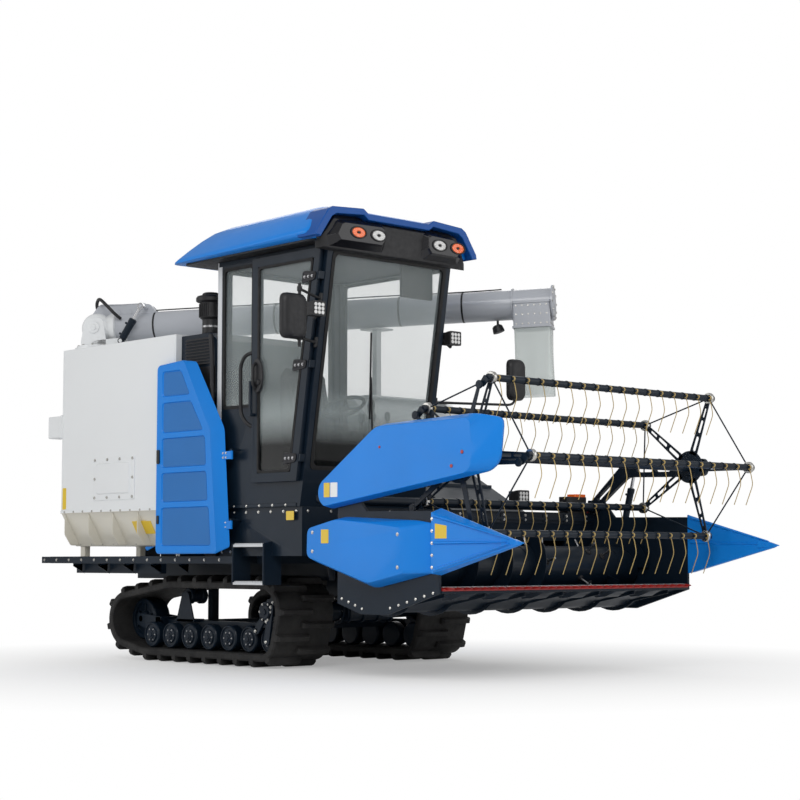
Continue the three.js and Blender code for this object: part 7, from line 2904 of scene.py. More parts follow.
@dataclass
class Header:
    """The cutting header: its feeder, trough, knife, dividers and side cover."""

    half: float = 1210.0
    plate: float = 20.0
    auger: tuple[float, float] = (1550.0, 690.0)
    trough: float = 268.0
    knife: tuple[float, float] = (2135.0, 556.0)
    pitch: float = 76.2
    feeder: tuple[float, float] = (150.0, 900.0)
    near_cover: tuple[tuple[float, float], ...] = (
        (985, 960), (975, 745), (1585, 570), (2125, 672), (2125, 960), (1960, 985), (1300, 1018),
    )  # fmt: skip
    far_cover: tuple[tuple[float, float], ...] = (
        (1010, 945), (1005, 765), (1585, 600), (1915, 665), (1885, 940), (1560, 975), (1280, 1000),
    )  # fmt: skip

    def build(self, shop: Workshop) -> None:
        """Makes all of the header.

        Args:
            shop: The workshop.
        """
        shop.refine("feeder_house", Finish.NAVY, "header", edge=4)
        shop.refine("header_frame", Finish.NAVY, "header", edge=3)
        self.feeder_ribs(shop)
        self.back_beam(shop)
        self.end_plates(shop)
        self.skids(shop)
        self.cutter(shop)
        self.dividers(shop)
        self.side_cover(shop)
        Ram(
            "header", (230, 560), (820, 642.7), y=285, radius=36, pin=20, barrel=392, width=60, rod=20,
            grip=208,
        ).build(shop)

    def feeder_ribs(self, shop: Workshop) -> None:
        """Makes the feeder house's ribs and its bolted seams.

        Args:
            shop: The workshop.
        """
        right, left = self.feeder
        made = Shape()
        for share in (0.2, 0.45, 0.7, 0.92):
            x = 350 + share * 880
            top = 1380 - share * 480 + 3
            made.box((x - 10, right - 4, top - 10), (x + 10, left + 4, top + 12))
            low = 920 - share * 420
            for y in (right, left):
                made.box((x - 8, y - 7, low + 14), (x + 8, y + 7, top - 4))
        shop.place("feeder_ribs", made, Finish.NAVY, "header", edge=3)
        heads = shop.bolts([((400, right - 1, 1270), (1200, right - 1, 870), 9)], RIGHT)
        heads.add(shop.bolts([((400, left + 1, 1270), (1200, left + 1, 870), 9)], LEFT))
        shop.place("feeder_bolts", heads, Finish.ZINC, "header")

    def back_beam(self, shop: Workshop) -> None:
        """Makes the fittings on the header's back beam: brackets, lamps, a control box and a lever.

        Args:
            shop: The workshop.
        """
        made = Shape()
        for y in range(-1050, 1101, 215):
            made.prism(Axis.Y, rounded([(1209, 1000), (1209, 860), (1284, 1000)], 10), y - 5, y + 5)
            made.prism(Axis.X, round_rect((y - 30, 1010), (y + 30, 1070), 12), 1285, 1292)
        made.box((1282, -1188, 1022), (1296, 1188, 1040))
        shop.place("beam_brackets", made, Finish.NAVY, "header", edge=2)
        rows = [((1292, -1050, 1055), (1292, 1100, 1055), 11), ((1292, -1050, 1025), (1292, 1100, 1025), 11)]
        shop.place("beam_bolts", shop.bolts(rows, FORWARD), Finish.ZINC, "header")
        Mirrors().work_light(shop, "header", Vector((1252, 448, 1180)), Vector((1246, 448, 1078)), "header")
        case = Shape().prism(Axis.Z, round_rect((1202, 900), (1290, 1110), 14), 1078, 1196)
        shop.place("reel_valve_box", case, Finish.BLACK, "header", edge=4)
        # The cap takes the amber lamp-lens finish, so it glows faintly: painted glow on a part that is no
        # lamp.
        top = Shape().prism(Axis.Z, round_rect((1206, 985), (1286, 1106), 12), 1190, 1216)
        shop.place("reel_valve_cap", top, Finish.AMBER, "header", edge=5)
        lever = Shape().rod((1246, 1150, 1076), (1246, 1150, 1110), 24, 24, 3)
        lever.tube([(1246, 1150, 1100), (1262, 1150, 1150)], 9, 14)
        shop.place("reel_lock_lever", lever, Finish.RED, "header", edge=2)

    def end_plates(self, shop: Workshop) -> None:
        """Makes the auger's bearings and the brackets and bolts on the header's end plates.

        Args:
            shop: The workshop.
        """
        x, z = self.auger
        made, heads = Shape(), Shape()
        for side in (-1, 1):
            out = side * self.half
            made.lathe(
                (x, out - side * 1, z), (0, side, 0),
                [
                    (0, 92), (10, 92), (12, 88), (12, 60), (20, 54), (24, 44)
                ] if side > 0 else [(0, 40), (0.2, 40)],
                40,
            )
            inner = side * (self.half - self.plate)
            made.lathe((x, inner + side * 1, z), (0, -side, 0), [(0, 120), (4, 120), (5, 64), (6.5, 60)], 44)
            for cx, cz, w, h in ((1320, 520, 90, 60), (1780, 520, 80, 46), (2010, 556, 60, 30)):
                low, high = sorted((out - side, out + side * 12))
                if side < 0:
                    low, high = out - 0.2, out + 1
                made.prism(
                    Axis.Y, round_rect((cx - w / 2, cz - h / 2), (cx + w / 2, cz + h / 2), 14), low, high
                )
            if side > 0:
                heads.add(shop.bolt_ring((x, out + 11, z), (0, side, 0), 76, 6, 9))
                heads.add(
                    shop.bolts(
                        [((1240, out, 960), (1240, out, 560), 6), ((2090, out, 960), (2090, out, 640), 5)],
                        (0, side, 0), 8, 7,
                    )
                )
            heads.add(
                shop.bolts(
                    [((1250, out, 500), (1440, out, 440), 4), ((1700, out, 448), (2080, out, 545), 6)],
                    (0, side, 0), 7, 6,
                )
            )
        shop.place("end_plate_fittings", made, Finish.NAVY, "header", edge=1.5)
        shop.place("end_plate_bolts", heads, Finish.ZINC, "header")

    def skids(self, shop: Workshop) -> None:
        """Makes the scalloped skids and the stiffeners under the trough.

        Args:
            shop: The workshop.
        """
        x, z = self.auger
        made = Shape()
        for k in range(7):
            y = -1080 + k * 360
            path = [
                (x + (self.trough + 10) * math.cos(a), z + (self.trough + 10) * math.sin(a))
                for a in (math.radians(200 + i * 10) for i in range(12))
            ]
            outer = [
                (x + (self.trough + 34) * math.cos(a), z + (self.trough + 34) * math.sin(a))
                for a in (math.radians(200 + i * 10) for i in range(12))
            ]
            outline = [
                *path, (self.knife[0] - 90, self.knife[1] - 15), (self.knife[0] - 90, self.knife[1] - 40),
                *outer[::-1],
            ]
            made.prism(Axis.Y, outline, y - 5, y + 5)
        for k in range(6):
            y = -900 + k * 360
            rings = []
            for u, drop in ((-60, 4), (-30, 26), (20, 46), (90, 40), (150, 16), (176, 2)):
                reach = 120 - abs(u - 40) * 0.42
                cx = self.knife[0] - 230 + u
                top = self.knife[1] - 16
                rings.append(
                    [
                        (cx, y - reach, top), (cx, y + reach, top), (cx, y + reach * 0.7, top - drop),
                        (cx, y - reach * 0.7, top - drop),
                    ]
                )
            made.loft(rings)
        shop.place("header_skids", made, Finish.NAVY, "header", edge=2)

    def cutter(self, shop: Workshop) -> None:
        """Makes the knife: its bar, its red guards, its steel sections with the strip over them, and its
        bolts.

        Args:
            shop: The workshop.
        """
        x, z = self.knife
        half = self.half - self.plate - 5
        count = int(2 * half / self.pitch)
        first = -(count - 1) * self.pitch / 2
        bar = Shape().box((x - 60, -half, z + 0.5), (x + 2, half, z + 14))
        bar.box((x - 40, -half, z + 14), (x - 22, half, z + 22))
        guard = Shape().loft(
            [
                [
                    (u, -w, -h), (u, w, -h), (u, w, h), (u, w * 0.6, h * 1.3), (u, -w * 0.6, h * 1.3),
                    (u, -w, h),
                ]
                for u, w, h in (
                    (-52, 11, 5), (-8, 14, 8), (14, 13, 8), (38, 8, 6), (56, 4, 3.4), (62, 1.6, 1.4)
                )
            ]
        )
        row = shop.row.bake(
            guard, Finish.RED, Count=count, Start=Vector((x, first, z + 15)), Step=Vector((0, self.pitch, 0))
        )
        shop.place("knife_guards", bar.add(row), Finish.RED, "header", edge=0.8, replaces=["cutter_bar"])
        blade = Shape().loft([[(-26, -35, d), (-26, 35, d), (34, 8, d), (34, -8, d)] for d in (0, 3)])
        blades = shop.row.bake(
            blade, Finish.STEEL, Count=count - 1, Start=Vector((x, first + self.pitch / 2, z + 23)),
            Step=Vector((0, self.pitch, 0)),
        )
        blades.box((x - 36, -half + 20, z + 22), (x - 20, half - 20, z + 27))
        shop.place("knife_sections", blades, Finish.STEEL, "header")
        rows = [((x - 50, first, z + 14), (x - 50, -first, z + 14), count // 2)]
        shop.place("knife_bolts", shop.bolts(rows, UP, 6, 6), Finish.ZINC, "header")

    def dividers(self, shop: Workshop) -> None:
        """Makes the pointed crop dividers with their tip shoes, seams and films.

        Args:
            shop: The workshop.
        """
        for name, side in (("right", -1), ("left", 1)):
            shop.refine(f"divider_{name}", Finish.BLUE, "header", edge=7)
            corners = ((-1, -1), (1, -1), (1, 1), (-1, 1))
            sizes = ((2700, 853, 27), (2790, 846, 15), (2858, 840, 2))
            tip = Shape().loft(
                [[(x, side * (1240 + a * w), z + b * w) for a, b in corners] for x, z, w in sizes]
            )
            shop.place(f"divider_tip_{name}", tip, Finish.BLUE, "header", edge=1)
            seam = Shape()
            low, high = sorted((side * (self.half - self.plate + 2), side * (self.half + 68)))
            seam.box((2131, low, 664), (2150, high, 1026))
            shop.place(f"divider_flange_{name}", seam, Finish.DEEP_BLUE, "header", edge=4)
            out = side * (self.half + 69)
            heads = shop.bolts([((2141, out, 700), (2141, out, 990), 5)], (0, side, 0), 8, 6)
            shop.place(f"divider_bolts_{name}", heads, Finish.ZINC, "header")
            ribs = Shape()
            for start, end in (
                ((2156, 1010), (2760, 866)), ((2156, 682), (2760, 838)), ((2156, 846), (2740, 848))
            ):
                rings = []
                for (a, b), out, half in ((start, 1281, 15), (end, 1262, 5)):
                    rings.append(
                        [
                            (a, side * (out - 8), b - half), (a, side * (out + 7), b - half * 0.3),
                            (a, side * (out + 7), b + half * 0.3), (a, side * (out - 8), b + half),
                        ]
                    )
                ribs.loft(rings)
            shop.place(f"divider_ribs_{name}", ribs, Finish.BLUE, "header", edge=1)
        inner = Shape()
        for (a, b), (c, d) in (((2156, 1036), (2780, 868)), ((2156, 866), (2760, 850))):
            rings = [
                [(x, y + dy, z + dz) for dy, dz in ((4, -w), (-8, -w * 0.3), (-8, w * 0.3), (4, w))]
                for x, y, z, w in ((a, 1191, b, 14), (c, 1226, d, 5))
            ]
            inner.loft(rings)
        shop.place("divider_inner_ribs", inner, Finish.BLUE, "header", edge=1)
        film = Shape().loft(
            [
                [
                    (2168, -1278 + d, 872), (2262, -1272 + d, 872), (2262, -1272 + d, 948),
                    (2168, -1278 + d, 962),
                ]
                for d in (-3, 3)
            ]
        )
        shop.place("divider_film", film, Finish.YELLOW, "header")

    def side_cover(self, shop: Workshop) -> None:
        """Makes the faceted drive cover on the header's right end.

        Args:
            shop: The workshop.
        """
        near = rounded(self.near_cover, 46, 4)
        far = rounded(self.far_cover, 40, 4)
        inner, outer = -self.half - 0.5, -self.half - 90
        body = Shape().loft(
            [
                [(x, inner, z) for x, z in near], [(x, inner - 16, z) for x, z in near],
                [(x, outer, z) for x, z in far],
            ]
        )
        shop.place(
            "header_cover_shell", body, Finish.BLUE, "header", edge=9, smooth=24,
            replaces=["header_side_cover"],
        )
        rim = Shape().frame(Axis.Y, near, EngineCover.shrunk(near, 26), inner - 4, inner + 0.2)
        shop.place("header_cover_rim", rim, Finish.DEEP_BLUE, "header")
        film = Shape().prism(Axis.Y, round_rect((1150, 850), (1222, 938), 6), outer - 2, outer + 1)
        shop.place("header_cover_film", film, Finish.YELLOW, "header")
        heads = shop.bolts(
            [((1064, outer, 800), (1064, outer, 920), 2), ((1860, outer, 700), (1860, outer, 900), 2)], RIGHT,
            9, 6,
        )
        shop.place("header_cover_bolts", heads, Finish.ZINC, "header")


@dataclass
class Auger:
    """The header's auger: its drum, its two opposed flights and its retracting fingers."""

    centre: tuple[float, float] = (1550.0, 690.0)
    half: float = 1182.0
    flight: float = 250.0
    pitch: float = 320.0
    steps: int = 36
    mouth: tuple[float, float] = (180.0, 870.0)
    fingers: int = 12

    def ribbon(self, start: float, end: float) -> Shape:
        """Returns one helical flight between two Y places, thinner at its rim.

        Args:
            start: Where it starts.
            end: Where it ends.

        Returns:
            The flight.
        """
        x, z = self.centre
        count = round(abs(end - start) / self.pitch * self.steps)
        rings = []
        for i in range(count + 1):
            y = start + (end - start) * i / count
            turn = math.tau * i / self.steps
            c, s = math.cos(turn), math.sin(turn)
            rings.append(
                [
                    (x + r * c, y + d, z + r * s)
                    for r, d in ((138, -4), (self.flight - 0.6, -2.4), (self.flight - 0.6, 2.4), (138, 4))
                ]
            )
        return Shape().loft(rings)

    def build(self, shop: Workshop) -> None:
        """Makes the auger.

        Args:
            shop: The workshop.
        """
        x, z = self.centre
        drum = Shape().lathe(
            (x, -self.half, z), LEFT,
            [
                (0, 60), (0, 146), (4, 150), (2 * self.half - 4, 150), (2 * self.half, 146),
                (2 * self.half, 60),
            ],
            72,
        )
        drum.rod((x, -1208, z), (x, 1208, z), 29.5, 32)
        for y in (-600, 60, 980):
            drum.lathe((x, y, z), LEFT, [(0, 150), (0, 152.5), (26, 152.5), (26, 150)], 72)
        shop.place("auger_drum", drum, Finish.NAVY, "auger", smooth=30, replaces=["header_auger"])
        flights = self.ribbon(-self.half + 10, self.mouth[0])
        flights.add(self.ribbon(self.half - 10, self.mouth[1]))
        shop.place("auger_flights", flights, Finish.NAVY, "auger", smooth=30)
        made, caps = Shape(), Shape()
        for i in range(self.fingers):
            y = 230 + (i % 6) * 118
            turn = math.radians(17 + i * 75)
            out = Vector((math.cos(turn), 0, math.sin(turn)))
            foot = Vector((x, y, z)) + out * 146
            made.lathe(foot, out, [(0, 8), (80, 8), (88, 6), (89, 2)], 16)
            caps.lathe(foot, out, [(2, 24), (8, 24), (12, 17), (16, 14), (16, 8.2)], 20)
        shop.place("auger_fingers", made, Finish.STEEL, "auger")
        shop.place("finger_guides", caps, Finish.BLACK, "auger", edge=1)
        bits = Shape()
        for k in range(9):
            y = -1100 + k * 130
            turn = math.radians(40 + k * 146)
            place = Matrix.Translation((x, y, z)) @ Matrix.Rotation(-turn, 4, "Y")
            bits.add(Shape().box((149, -16, -26), (152.4, 16, 26)), place)
        shop.place("auger_patches", bits, Finish.NAVY, "auger", edge=1)


# ------------------------------------------------------------------ reel


@dataclass
class Reel:
    """The reel: its arms, its five-armed spiders, its eccentric, its bats and its tines."""

    centre: tuple[float, float] = (2260.0, 1377.0)
    pivot: tuple[float, float] = (1300.0, 1120.0)
    radius: float = 490.0
    bats: int = 5
    phase: float = 69.5
    bat_half: float = 1095.0
    bat_radius: float = 22.0
    spider_y: float = 1060.0
    arm_inner: float = 1145.0
    arm_outer: float = 1180.0
    header_half: float = 1210.0
    offset: tuple[float, float] = (-42.43, -42.43)
    eccentric_y: float = -1123.0
    disc: float = 98.0
    tines: int = 17
    tine_length: float = 250.0

    def bat_place(self, index: int, shift: Point = (0, 0)) -> Vector:
        """Returns the X and Z of a bat's axis, or of its crank pin."""
        turn = math.radians(self.phase + 72 * index)
        return Vector(
            (
                self.centre[0] + shift[0] + self.radius * math.cos(turn),
                self.centre[1] + shift[1] + self.radius * math.sin(turn),
            )
        )

    def build(self, shop: Workshop) -> None:
        """Makes all of the reel."""
        self.arms(shop)
        self.arm_fittings(shop)
        self.cover(shop)
        self.rotor(shop)
        self.eccentric(shop)
        for index in range(self.bats):
            self.bat(shop, index)
        Ram(
            "reel", (1480, 800), (1640, 1395), y=1235, radius=24, pin=12, barrel=470, width=30, rod=12,
            grip=200,
        ).build(shop)

    def slot(self, start: Point, end: Point, radius: float) -> list[tuple[float, float]]:
        """Returns the outline of a long hole with round ends."""
        a, b = Vector(start), Vector(end)
        turn = math.degrees(math.atan2(b.y - a.y, b.x - a.x))
        return arc(b, radius, turn - 90, 180, 10) + arc(a, radius, turn + 90, 180, 10)

    def arms(self, shop: Workshop) -> None:
        """Makes the two bent arms with their long holes, their tube and the eccentric's disc.

        Args:
            shop: The workshop.
        """
        x, z = self.centre
        px, pz = self.pivot
        outline = [
            (px - 55, pz), (px, pz - 50), (px + 60, pz), (1640, 1330), (x - 60, z - 62), (x + 60, z - 57),
            (x + 80, z), (x + 60, z + 60), (x - 60, z + 60), (1600, 1430),
        ]
        plate = rounded(outline, 40, 6)
        made = Shape()
        for side in (-1, 1):
            low, high = sorted((side * self.arm_inner, side * self.arm_outer))
            arm = Shape().prism(Axis.Y, plate, low, high)
            tool = Shape()
            for start, end, r in (
                ((1742, 1379), (1850, 1377), 17), ((1905, 1376), (2010, 1375), 17),
                ((2060, 1374), (2150, 1374), 15), ((1370, 1182), (1470, 1262), 15),
            ):
                tool.prism(Axis.Y, self.slot(start, end, r), low - 4, high + 4)
            made.add(cut(arm, tool))
        made.rod((px, -self.header_half + 2, pz), (px, self.header_half - 2, pz), 29.4, 36)
        made.rod((px + 8, -self.arm_inner + 2, pz + 2), (px + 8, self.arm_inner - 2, pz + 2), 30, 36)
        ex, ez = x + self.offset[0], z + self.offset[1]
        made.lathe((ex, -self.arm_inner - 1, ez), LEFT, [(0, self.disc), (37, self.disc)], 64)
        for bx, bz in ((1700, 1379.6), (x + 70, z)):
            made.rod((bx, -self.arm_outer + 1, bz), (bx, -1216, bz), 18, 24)
        made.rod((1640, self.arm_outer - 1, 1395), (1640, 1253, 1395), 12, 24, 2)
        shop.place("reel_arm_pair", made, Finish.NAVY, "reel_frame", edge=3, replaces=["reel_arms"])

    def arm_fittings(self, shop: Workshop) -> None:
        """Makes the bearings at the arms' ends and their bolts.

        Args:
            shop: The workshop.
        """
        x, z = self.centre
        px, pz = self.pivot
        bearing, heads = Shape(), Shape()
        out = self.arm_outer
        bearing.lathe((x, out - 1, z), LEFT, [(0, 58), (12, 56), (22, 44), (26, 34), (26, 8)], 36)
        heads.add(shop.bolt_ring((x, out + 9, z), LEFT, 48, 4, 8))
        heads.add(
            shop.bolts(
                [
                    ((1520, out, 1305), (1560, out, 1345), 2), ((1690, out, 1378), (1690, out, 1378), 1),
                    ((2210, out, 1340), (2210, out, 1412), 2),
                ],
                LEFT, 9, 7,
            )
        )
        bearing.lathe((px, out - 1, pz), LEFT, [(0, 46), (6, 46), (8, 42), (8, 31)], 32)
        shop.place("reel_bearings", bearing, Finish.STEEL, "reel_frame", edge=1)
        shop.place("reel_arm_bolts", heads, Finish.ZINC, "reel_frame")

    def cover(self, shop: Workshop) -> None:
        """Makes the blue drive cover outside the right arm, with its films and reflectors.

        Args:
            shop: The workshop.
        """
        x, z = self.centre
        inner, outer = -self.header_half - 6, -self.header_half - 90
        near = arc((1205, 1170), 105, 130, 120, 6) + [
            (x + 325, z - 112), (x + 400, z - 57), (x + 430, z + 196), (x + 200, z + 235), (1650, 1588)
        ]
        far = arc((1208, 1172), 92, 130, 120, 6) + [
            (x + 180, z - 122), (x + 232, z - 80), (x + 240, z - 27), (x + 220, z + 203), (1660, 1570)
        ]
        near, far = rounded(near, 50, 3), rounded(far, 44, 3)
        body = Shape().loft(
            [
                [(a, inner, b) for a, b in near], [(a, inner - 18, b) for a, b in near],
                [(a, outer, b) for a, b in far],
            ]
        )
        shop.place(
            "reel_cover_shell", body, Finish.BLUE, "reel_frame", edge=9, smooth=24,
            replaces=["reel_drive_cover"],
        )
        film = Shape().prism(Axis.Y, round_rect((1176, 1142), (1232, 1234), 6), outer - 2, outer + 1)
        shop.place("reel_cover_film", film, Finish.YELLOW, "reel_frame")
        label = Shape().prism(Axis.Y, round_rect((1240, 1142), (1306, 1234), 6), outer - 2, outer + 1)
        shop.place("reel_cover_label", label, Finish.WHITE, "reel_frame")
        rim = Shape().frame(Axis.Y, near, EngineCover.shrunk(near, 24), inner - 4, inner + 0.2)
        shop.place("reel_cover_rim", rim, Finish.DEEP_BLUE, "reel_frame")
        spots = Shape()
        for a, b in ((2330, 1300), (2420, 1380)):
            spots.spot((a, outer - 0.5, b), RIGHT, 11, 6, 20)
        spots.spot((1700, outer - 0.5, 1440), RIGHT, 8, 5, 20)
        shop.place("reel_cover_studs", spots, Finish.RED, "reel_frame")

    def rotor(self, shop: Workshop) -> None:
        """Makes the reel's shaft and its two spiders with slotted arms and tie rods.

        Args:
            shop: The workshop.
        """
        x, z = self.centre
        made = Shape().rod((x, -self.arm_outer + 1, z), (x, self.arm_outer - 1, z), 29.4, 40, 2)
        made.rod((x, -self.spider_y + 40, z), (x, self.spider_y - 40, z), 32, 40, 2)
        ties, heads, rings = Shape(), Shape(), Shape()
        for side in (-1, 1):
            y = side * self.spider_y
            made.lathe(
                (x, y - side * 16, z), (0, side, 0),
                [(0, 56), (11, 60), (11, 110), (21, 110), (21, 60), (34, 52), (34, 32)], 48,
            )
            heads.add(shop.bolt_ring((x, y + side * 5, z), (0, side, 0), 84, 5, 9))
            for index in range(self.bats):
                place = self.bat_place(index)
                out = (place - Vector(self.centre)).normalized()
                across = Vector((-out.y, out.x))
                a, b = Vector(self.centre) + out * 86, place - out * 26
                arm = Shape().prism(
                    Axis.Y,
                    [
                        tuple(a + across * 31), tuple(a - across * 31), tuple(b - across * 17),
                        tuple(b + across * 17),
                    ],
                    y - 5, y + 5,
                )
                tool = Shape()
                for near, far, r in ((0.26, 0.42, 13), (0.52, 0.66, 11), (0.74, 0.84, 8)):
                    tool.prism(
                        Axis.Y,
                        self.slot(
                            Vector(self.centre) + out * 490 * near, Vector(self.centre) + out * 490 * far, r
                        ),
                        y - 12, y + 12,
                    )
                made.add(cut(arm, tool))
                rings.lathe(
                    (place.x, y - 15, place.y), LEFT,
                    [(0, 24.6), (0, 35), (4, 38), (26, 38), (30, 35), (30, 24.6)], 32,
                )
                following = self.bat_place(index + 1)
                ties.tube([(place.x, y, place.y), (following.x, y, following.y)], 5, 12)
        shop.place("reel_spiders", made, Finish.NAVY, "reel", edge=1.5, replaces=["reel_rotor"])
        shop.place("reel_tie_rods", ties, Finish.NAVY, "reel")
        shop.place("bat_bearings", rings, Finish.ZINC, "reel", edge=1)
        shop.place("spider_bolts", heads, Finish.ZINC, "reel")

    def eccentric(self, shop: Workshop) -> None:
        """Makes the ring and arms that keep the tines hanging.

        Args:
            shop: The workshop.
        """
        x, z = self.centre[0] + self.offset[0], self.centre[1] + self.offset[1]
        y = self.eccentric_y
        made = Shape()
        bore, hub = self.disc + 0.8, self.disc + 32
        outer, inner = arc((x, z), hub, 0, 360, 64), arc((x, z), bore, 0, 360, 64)
        made.frame(Axis.Y, outer, inner, y - 5, y + 5)
        for index in range(self.bats):
            place = self.bat_place(index, self.offset)
            out = (place - Vector((x, z))).normalized()
            across = Vector((-out.y, out.x))
            a, b = Vector((x, z)) + out * (hub - 6), place - out * 16
            made.prism(
                Axis.Y,
                [
                    tuple(a + across * 22), tuple(a - across * 22), tuple(b - across * 11),
                    tuple(b + across * 11),
                ],
                y - 4, y + 4,
            )
            made.lathe(
                (place.x, y - 8, place.y), LEFT,
                [(0, 11.2), (0, 24), (2, 26), (14, 26), (16, 24), (16, 11.2)], 28,
            )
        shop.place("eccentric_ring", made, Finish.NAVY, "reel_crank", edge=1, replaces=["reel_eccentric"])

    def tine(self) -> Shape:
        """Returns one spring tine: two coils at the front of the bat, then a kinked leg."""
        coil = [
            (25 + 13 * math.cos(t), 5 * t / math.tau - 8, 13 * math.sin(t))
            for t in (math.tau * (i / 12 - 0.5) for i in range(25))
        ]
        leg = [(28, 4, -30), (44, 6, -self.tine_length * 0.46), (-10, 0, -self.tine_length)]
        return Shape().tube([*coil, *filleted([coil[-1], *leg], 24, 4)[1:]], 3, 6)

    def bat(self, shop: Workshop, index: int) -> None:
        """Makes one bat with its crank and its row of tines.

        Args:
            shop: The workshop.
            index: The bat's number from 0.
        """
        place, crank = self.bat_place(index), self.bat_place(index, self.offset)
        body, half = f"bat_{index + 1}", self.bat_half
        made = Shape().rod((place.x, -half, place.y), (place.x, half, place.y), self.bat_radius, 28, 2)
        outline = [
            (place.x + 18, place.y - 18), (place.x - 18, place.y + 18), (crank.x - 14, crank.y + 14),
            (crank.x - 14, crank.y - 14), (crank.x + 14, crank.y - 14),
        ]
        made.prism(Axis.Y, rounded(outline, 12), -half - 10, -half + 1)
        made.rod((crank.x, self.eccentric_y - 10, crank.y), (crank.x, -half - 9, crank.y), 10, 20, 1)
        made.lathe((place.x, half - 8, place.y), LEFT, [(0, 25), (10, 25), (12, 20), (12, 6)], 24)
        shop.place(
            f"reel_bat_tube_{index + 1}", made, Finish.NAVY, body, edge=1, replaces=[f"reel_bat_{index + 1}"]
        )
        step = (2 * half - 130) / (self.tines - 1)
        spots = {
            "Count": self.tines,
            "Start": Vector((place.x, -half + 75, place.y)),
            "Step": Vector((0, step, 0)),
        }
        row = shop.row.bake(self.tine(), Finish.TINE, **spots)
        shop.place(f"reel_tines_{index + 1}", row, Finish.TINE, body, smooth=60)
        clip = Shape().lathe((0, -15, 0), LEFT, [(0, 22.2), (0, 25), (5, 25), (5, 22.2)], 20)
        clips = shop.row.bake(clip, Finish.NAVY, **spots)
        shop.place(f"tine_clips_{index + 1}", clips, Finish.NAVY, body)


# ------------------------------------------------------------------ the stage


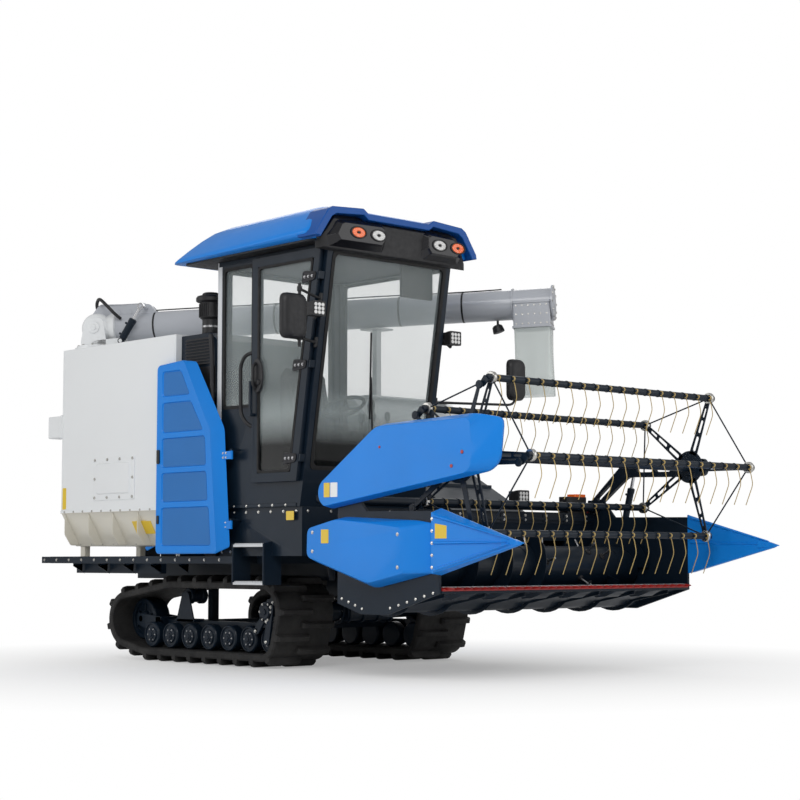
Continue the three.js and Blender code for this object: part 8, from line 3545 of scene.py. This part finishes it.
@dataclass
class Stage:
    """The plain floor, the soft lamps and the camera."""

    focal: float = 82.755
    eye: tuple[float, float, float] = (9.88, -8.865, 0.746)
    turn: float = 46.8
    tilt: float = 4.97
    floor_radius: float = 60.0

    def build(self) -> None:
        """Sets up the whole stage."""
        self.floor()
        self.lamps()
        self.world()
        self.camera()
        bpy.context.scene.view_settings.view_transform = "Standard"

    def floor(self) -> None:
        """Makes the floor, which fades to white far from the machine."""
        points = arc((0, 0), self.floor_radius, 0, 360, 96)
        mesh = bpy.data.meshes.new("floor")
        mesh.from_pydata([(x, y, -0.0015) for x, y in points], [], [tuple(range(len(points)))])
        recipe = Recipe("floor_paper")
        recipe.set(Roughness=0.85, Specular_IOR_Level=0.2)
        recipe.colour(recipe.blend(recipe.noise(0.8, 3), (0.90, 0.90, 0.90), (0.92, 0.92, 0.92)))
        distance = recipe.node("ShaderNodeVectorMath")
        distance.operation = "LENGTH"
        recipe.tree.links.new(recipe.where, distance.inputs[0])
        far = recipe.node(
            "ShaderNodeMapRange", Value=distance.outputs["Value"], From_Min=1.0, From_Max=4.4, To_Min=0.3
        )
        path = recipe.node("ShaderNodeLightPath")
        seen = recipe.node("ShaderNodeMath")
        seen.operation = "MULTIPLY"
        recipe.tree.links.new(far.outputs["Result"], seen.inputs[0])
        recipe.tree.links.new(path.outputs["Is Camera Ray"], seen.inputs[1])
        glow = recipe.node("ShaderNodeEmission", Color=(1, 1, 1, 1), Strength=1.0)
        mix = recipe.node("ShaderNodeMixShader", Fac=seen.outputs[0])
        recipe.tree.links.new(recipe.shader.outputs[0], mix.inputs[1])
        recipe.tree.links.new(glow.outputs[0], mix.inputs[2])
        recipe.tree.links.new(mix.outputs[0], recipe.tree.nodes["Material Output"].inputs["Surface"])
        mesh.materials.append(recipe.material)
        floor = bpy.data.objects.new("floor", mesh)
        bpy.context.scene.collection.objects.link(floor)

    def lamps(self) -> None:
        """Places the soft lamps round the machine."""
        centre = Vector((0, 0, 1.2))
        for name, place, power, size in (
            ("key", (6.5, -7.5, 7.5), 400, 5.0),
            ("fill", (9.0, 5.0, 4.0), 150, 6.0),
            ("side", (-6.0, -9.0, 3.5), 150, 6.0),
            ("back", (-7.0, 7.0, 7.0), 190, 6.0),
        ):
            lamp = bpy.data.lights.new(name, "AREA")
            lamp.energy, lamp.size = power, size
            made = bpy.data.objects.new(name, lamp)
            made.location = place
            made.rotation_euler = (centre - Vector(place)).to_track_quat("-Z", "Y").to_euler()
            bpy.context.scene.collection.objects.link(made)

    def world(self) -> None:
        """Makes a white surround that lights the machine softly."""
        world = bpy.data.worlds.new("surround")
        bpy.context.scene.world = world
        world.use_nodes = True
        tree = world.node_tree
        path = tree.nodes.new("ShaderNodeLightPath")
        seen = tree.nodes.new("ShaderNodeMath")
        seen.operation = "MAXIMUM"
        tree.links.new(path.outputs["Is Camera Ray"], seen.inputs[0])
        tree.links.new(path.outputs["Is Transmission Ray"], seen.inputs[1])
        level = tree.nodes.new("ShaderNodeMapRange")
        level.inputs["To Min"].default_value = 0.42
        level.inputs["To Max"].default_value = 1.0
        tree.links.new(seen.outputs[0], level.inputs["Value"])
        ground = tree.nodes["Background"]
        ground.inputs["Color"].default_value = (1, 1, 1, 1)
        tree.links.new(level.outputs["Result"], ground.inputs["Strength"])

    def camera(self) -> None:
        """Places the camera at the machine's front right corner, a little above the ground."""
        turn, tilt = math.radians(self.turn), math.radians(self.tilt)
        level = Vector((-math.sin(turn), math.cos(turn), 0))
        ahead = level * math.cos(tilt) + Vector((0, 0, math.sin(tilt)))
        right = Vector((math.cos(turn), math.sin(turn), 0))
        data = bpy.data.cameras.new("camera")
        data.sensor_width, data.lens = 36.0, self.focal
        data.clip_end = 200.0
        camera = bpy.data.objects.new("camera", data)
        turned = Matrix((right, right.cross(ahead), -ahead)).transposed().to_4x4()
        camera.matrix_world = Matrix.Translation(self.eye) @ turned
        bpy.context.scene.collection.objects.link(camera)
        bpy.context.scene.camera = camera


PARTS = [
    RunningGear("right", -1),
    RunningGear("left", 1),
    Drive(),
    GrainTank(),
    EngineCover(),
    EngineBay(),
    Roof(),
    LampFascia(),
    Cab(),
    Interior(),
    Mirrors(),
    Platform(),
    Unloader(),
    Thresher(),
    Chassis(),
    Header(),
    Auger(),
    Reel(),
]


def main() -> None:
    """Builds the machine's pieces in order, then the stage."""
    logging.basicConfig(level=logging.INFO, format="%(message)s")
    shop = Workshop()
    for part in PARTS:
        part.build(shop)
        log.info("%s done", type(part).__name__)
    Stage().build()
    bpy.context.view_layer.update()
    log.info("%d pieces", len(shop.made))


if __name__ == "__main__":
    main()
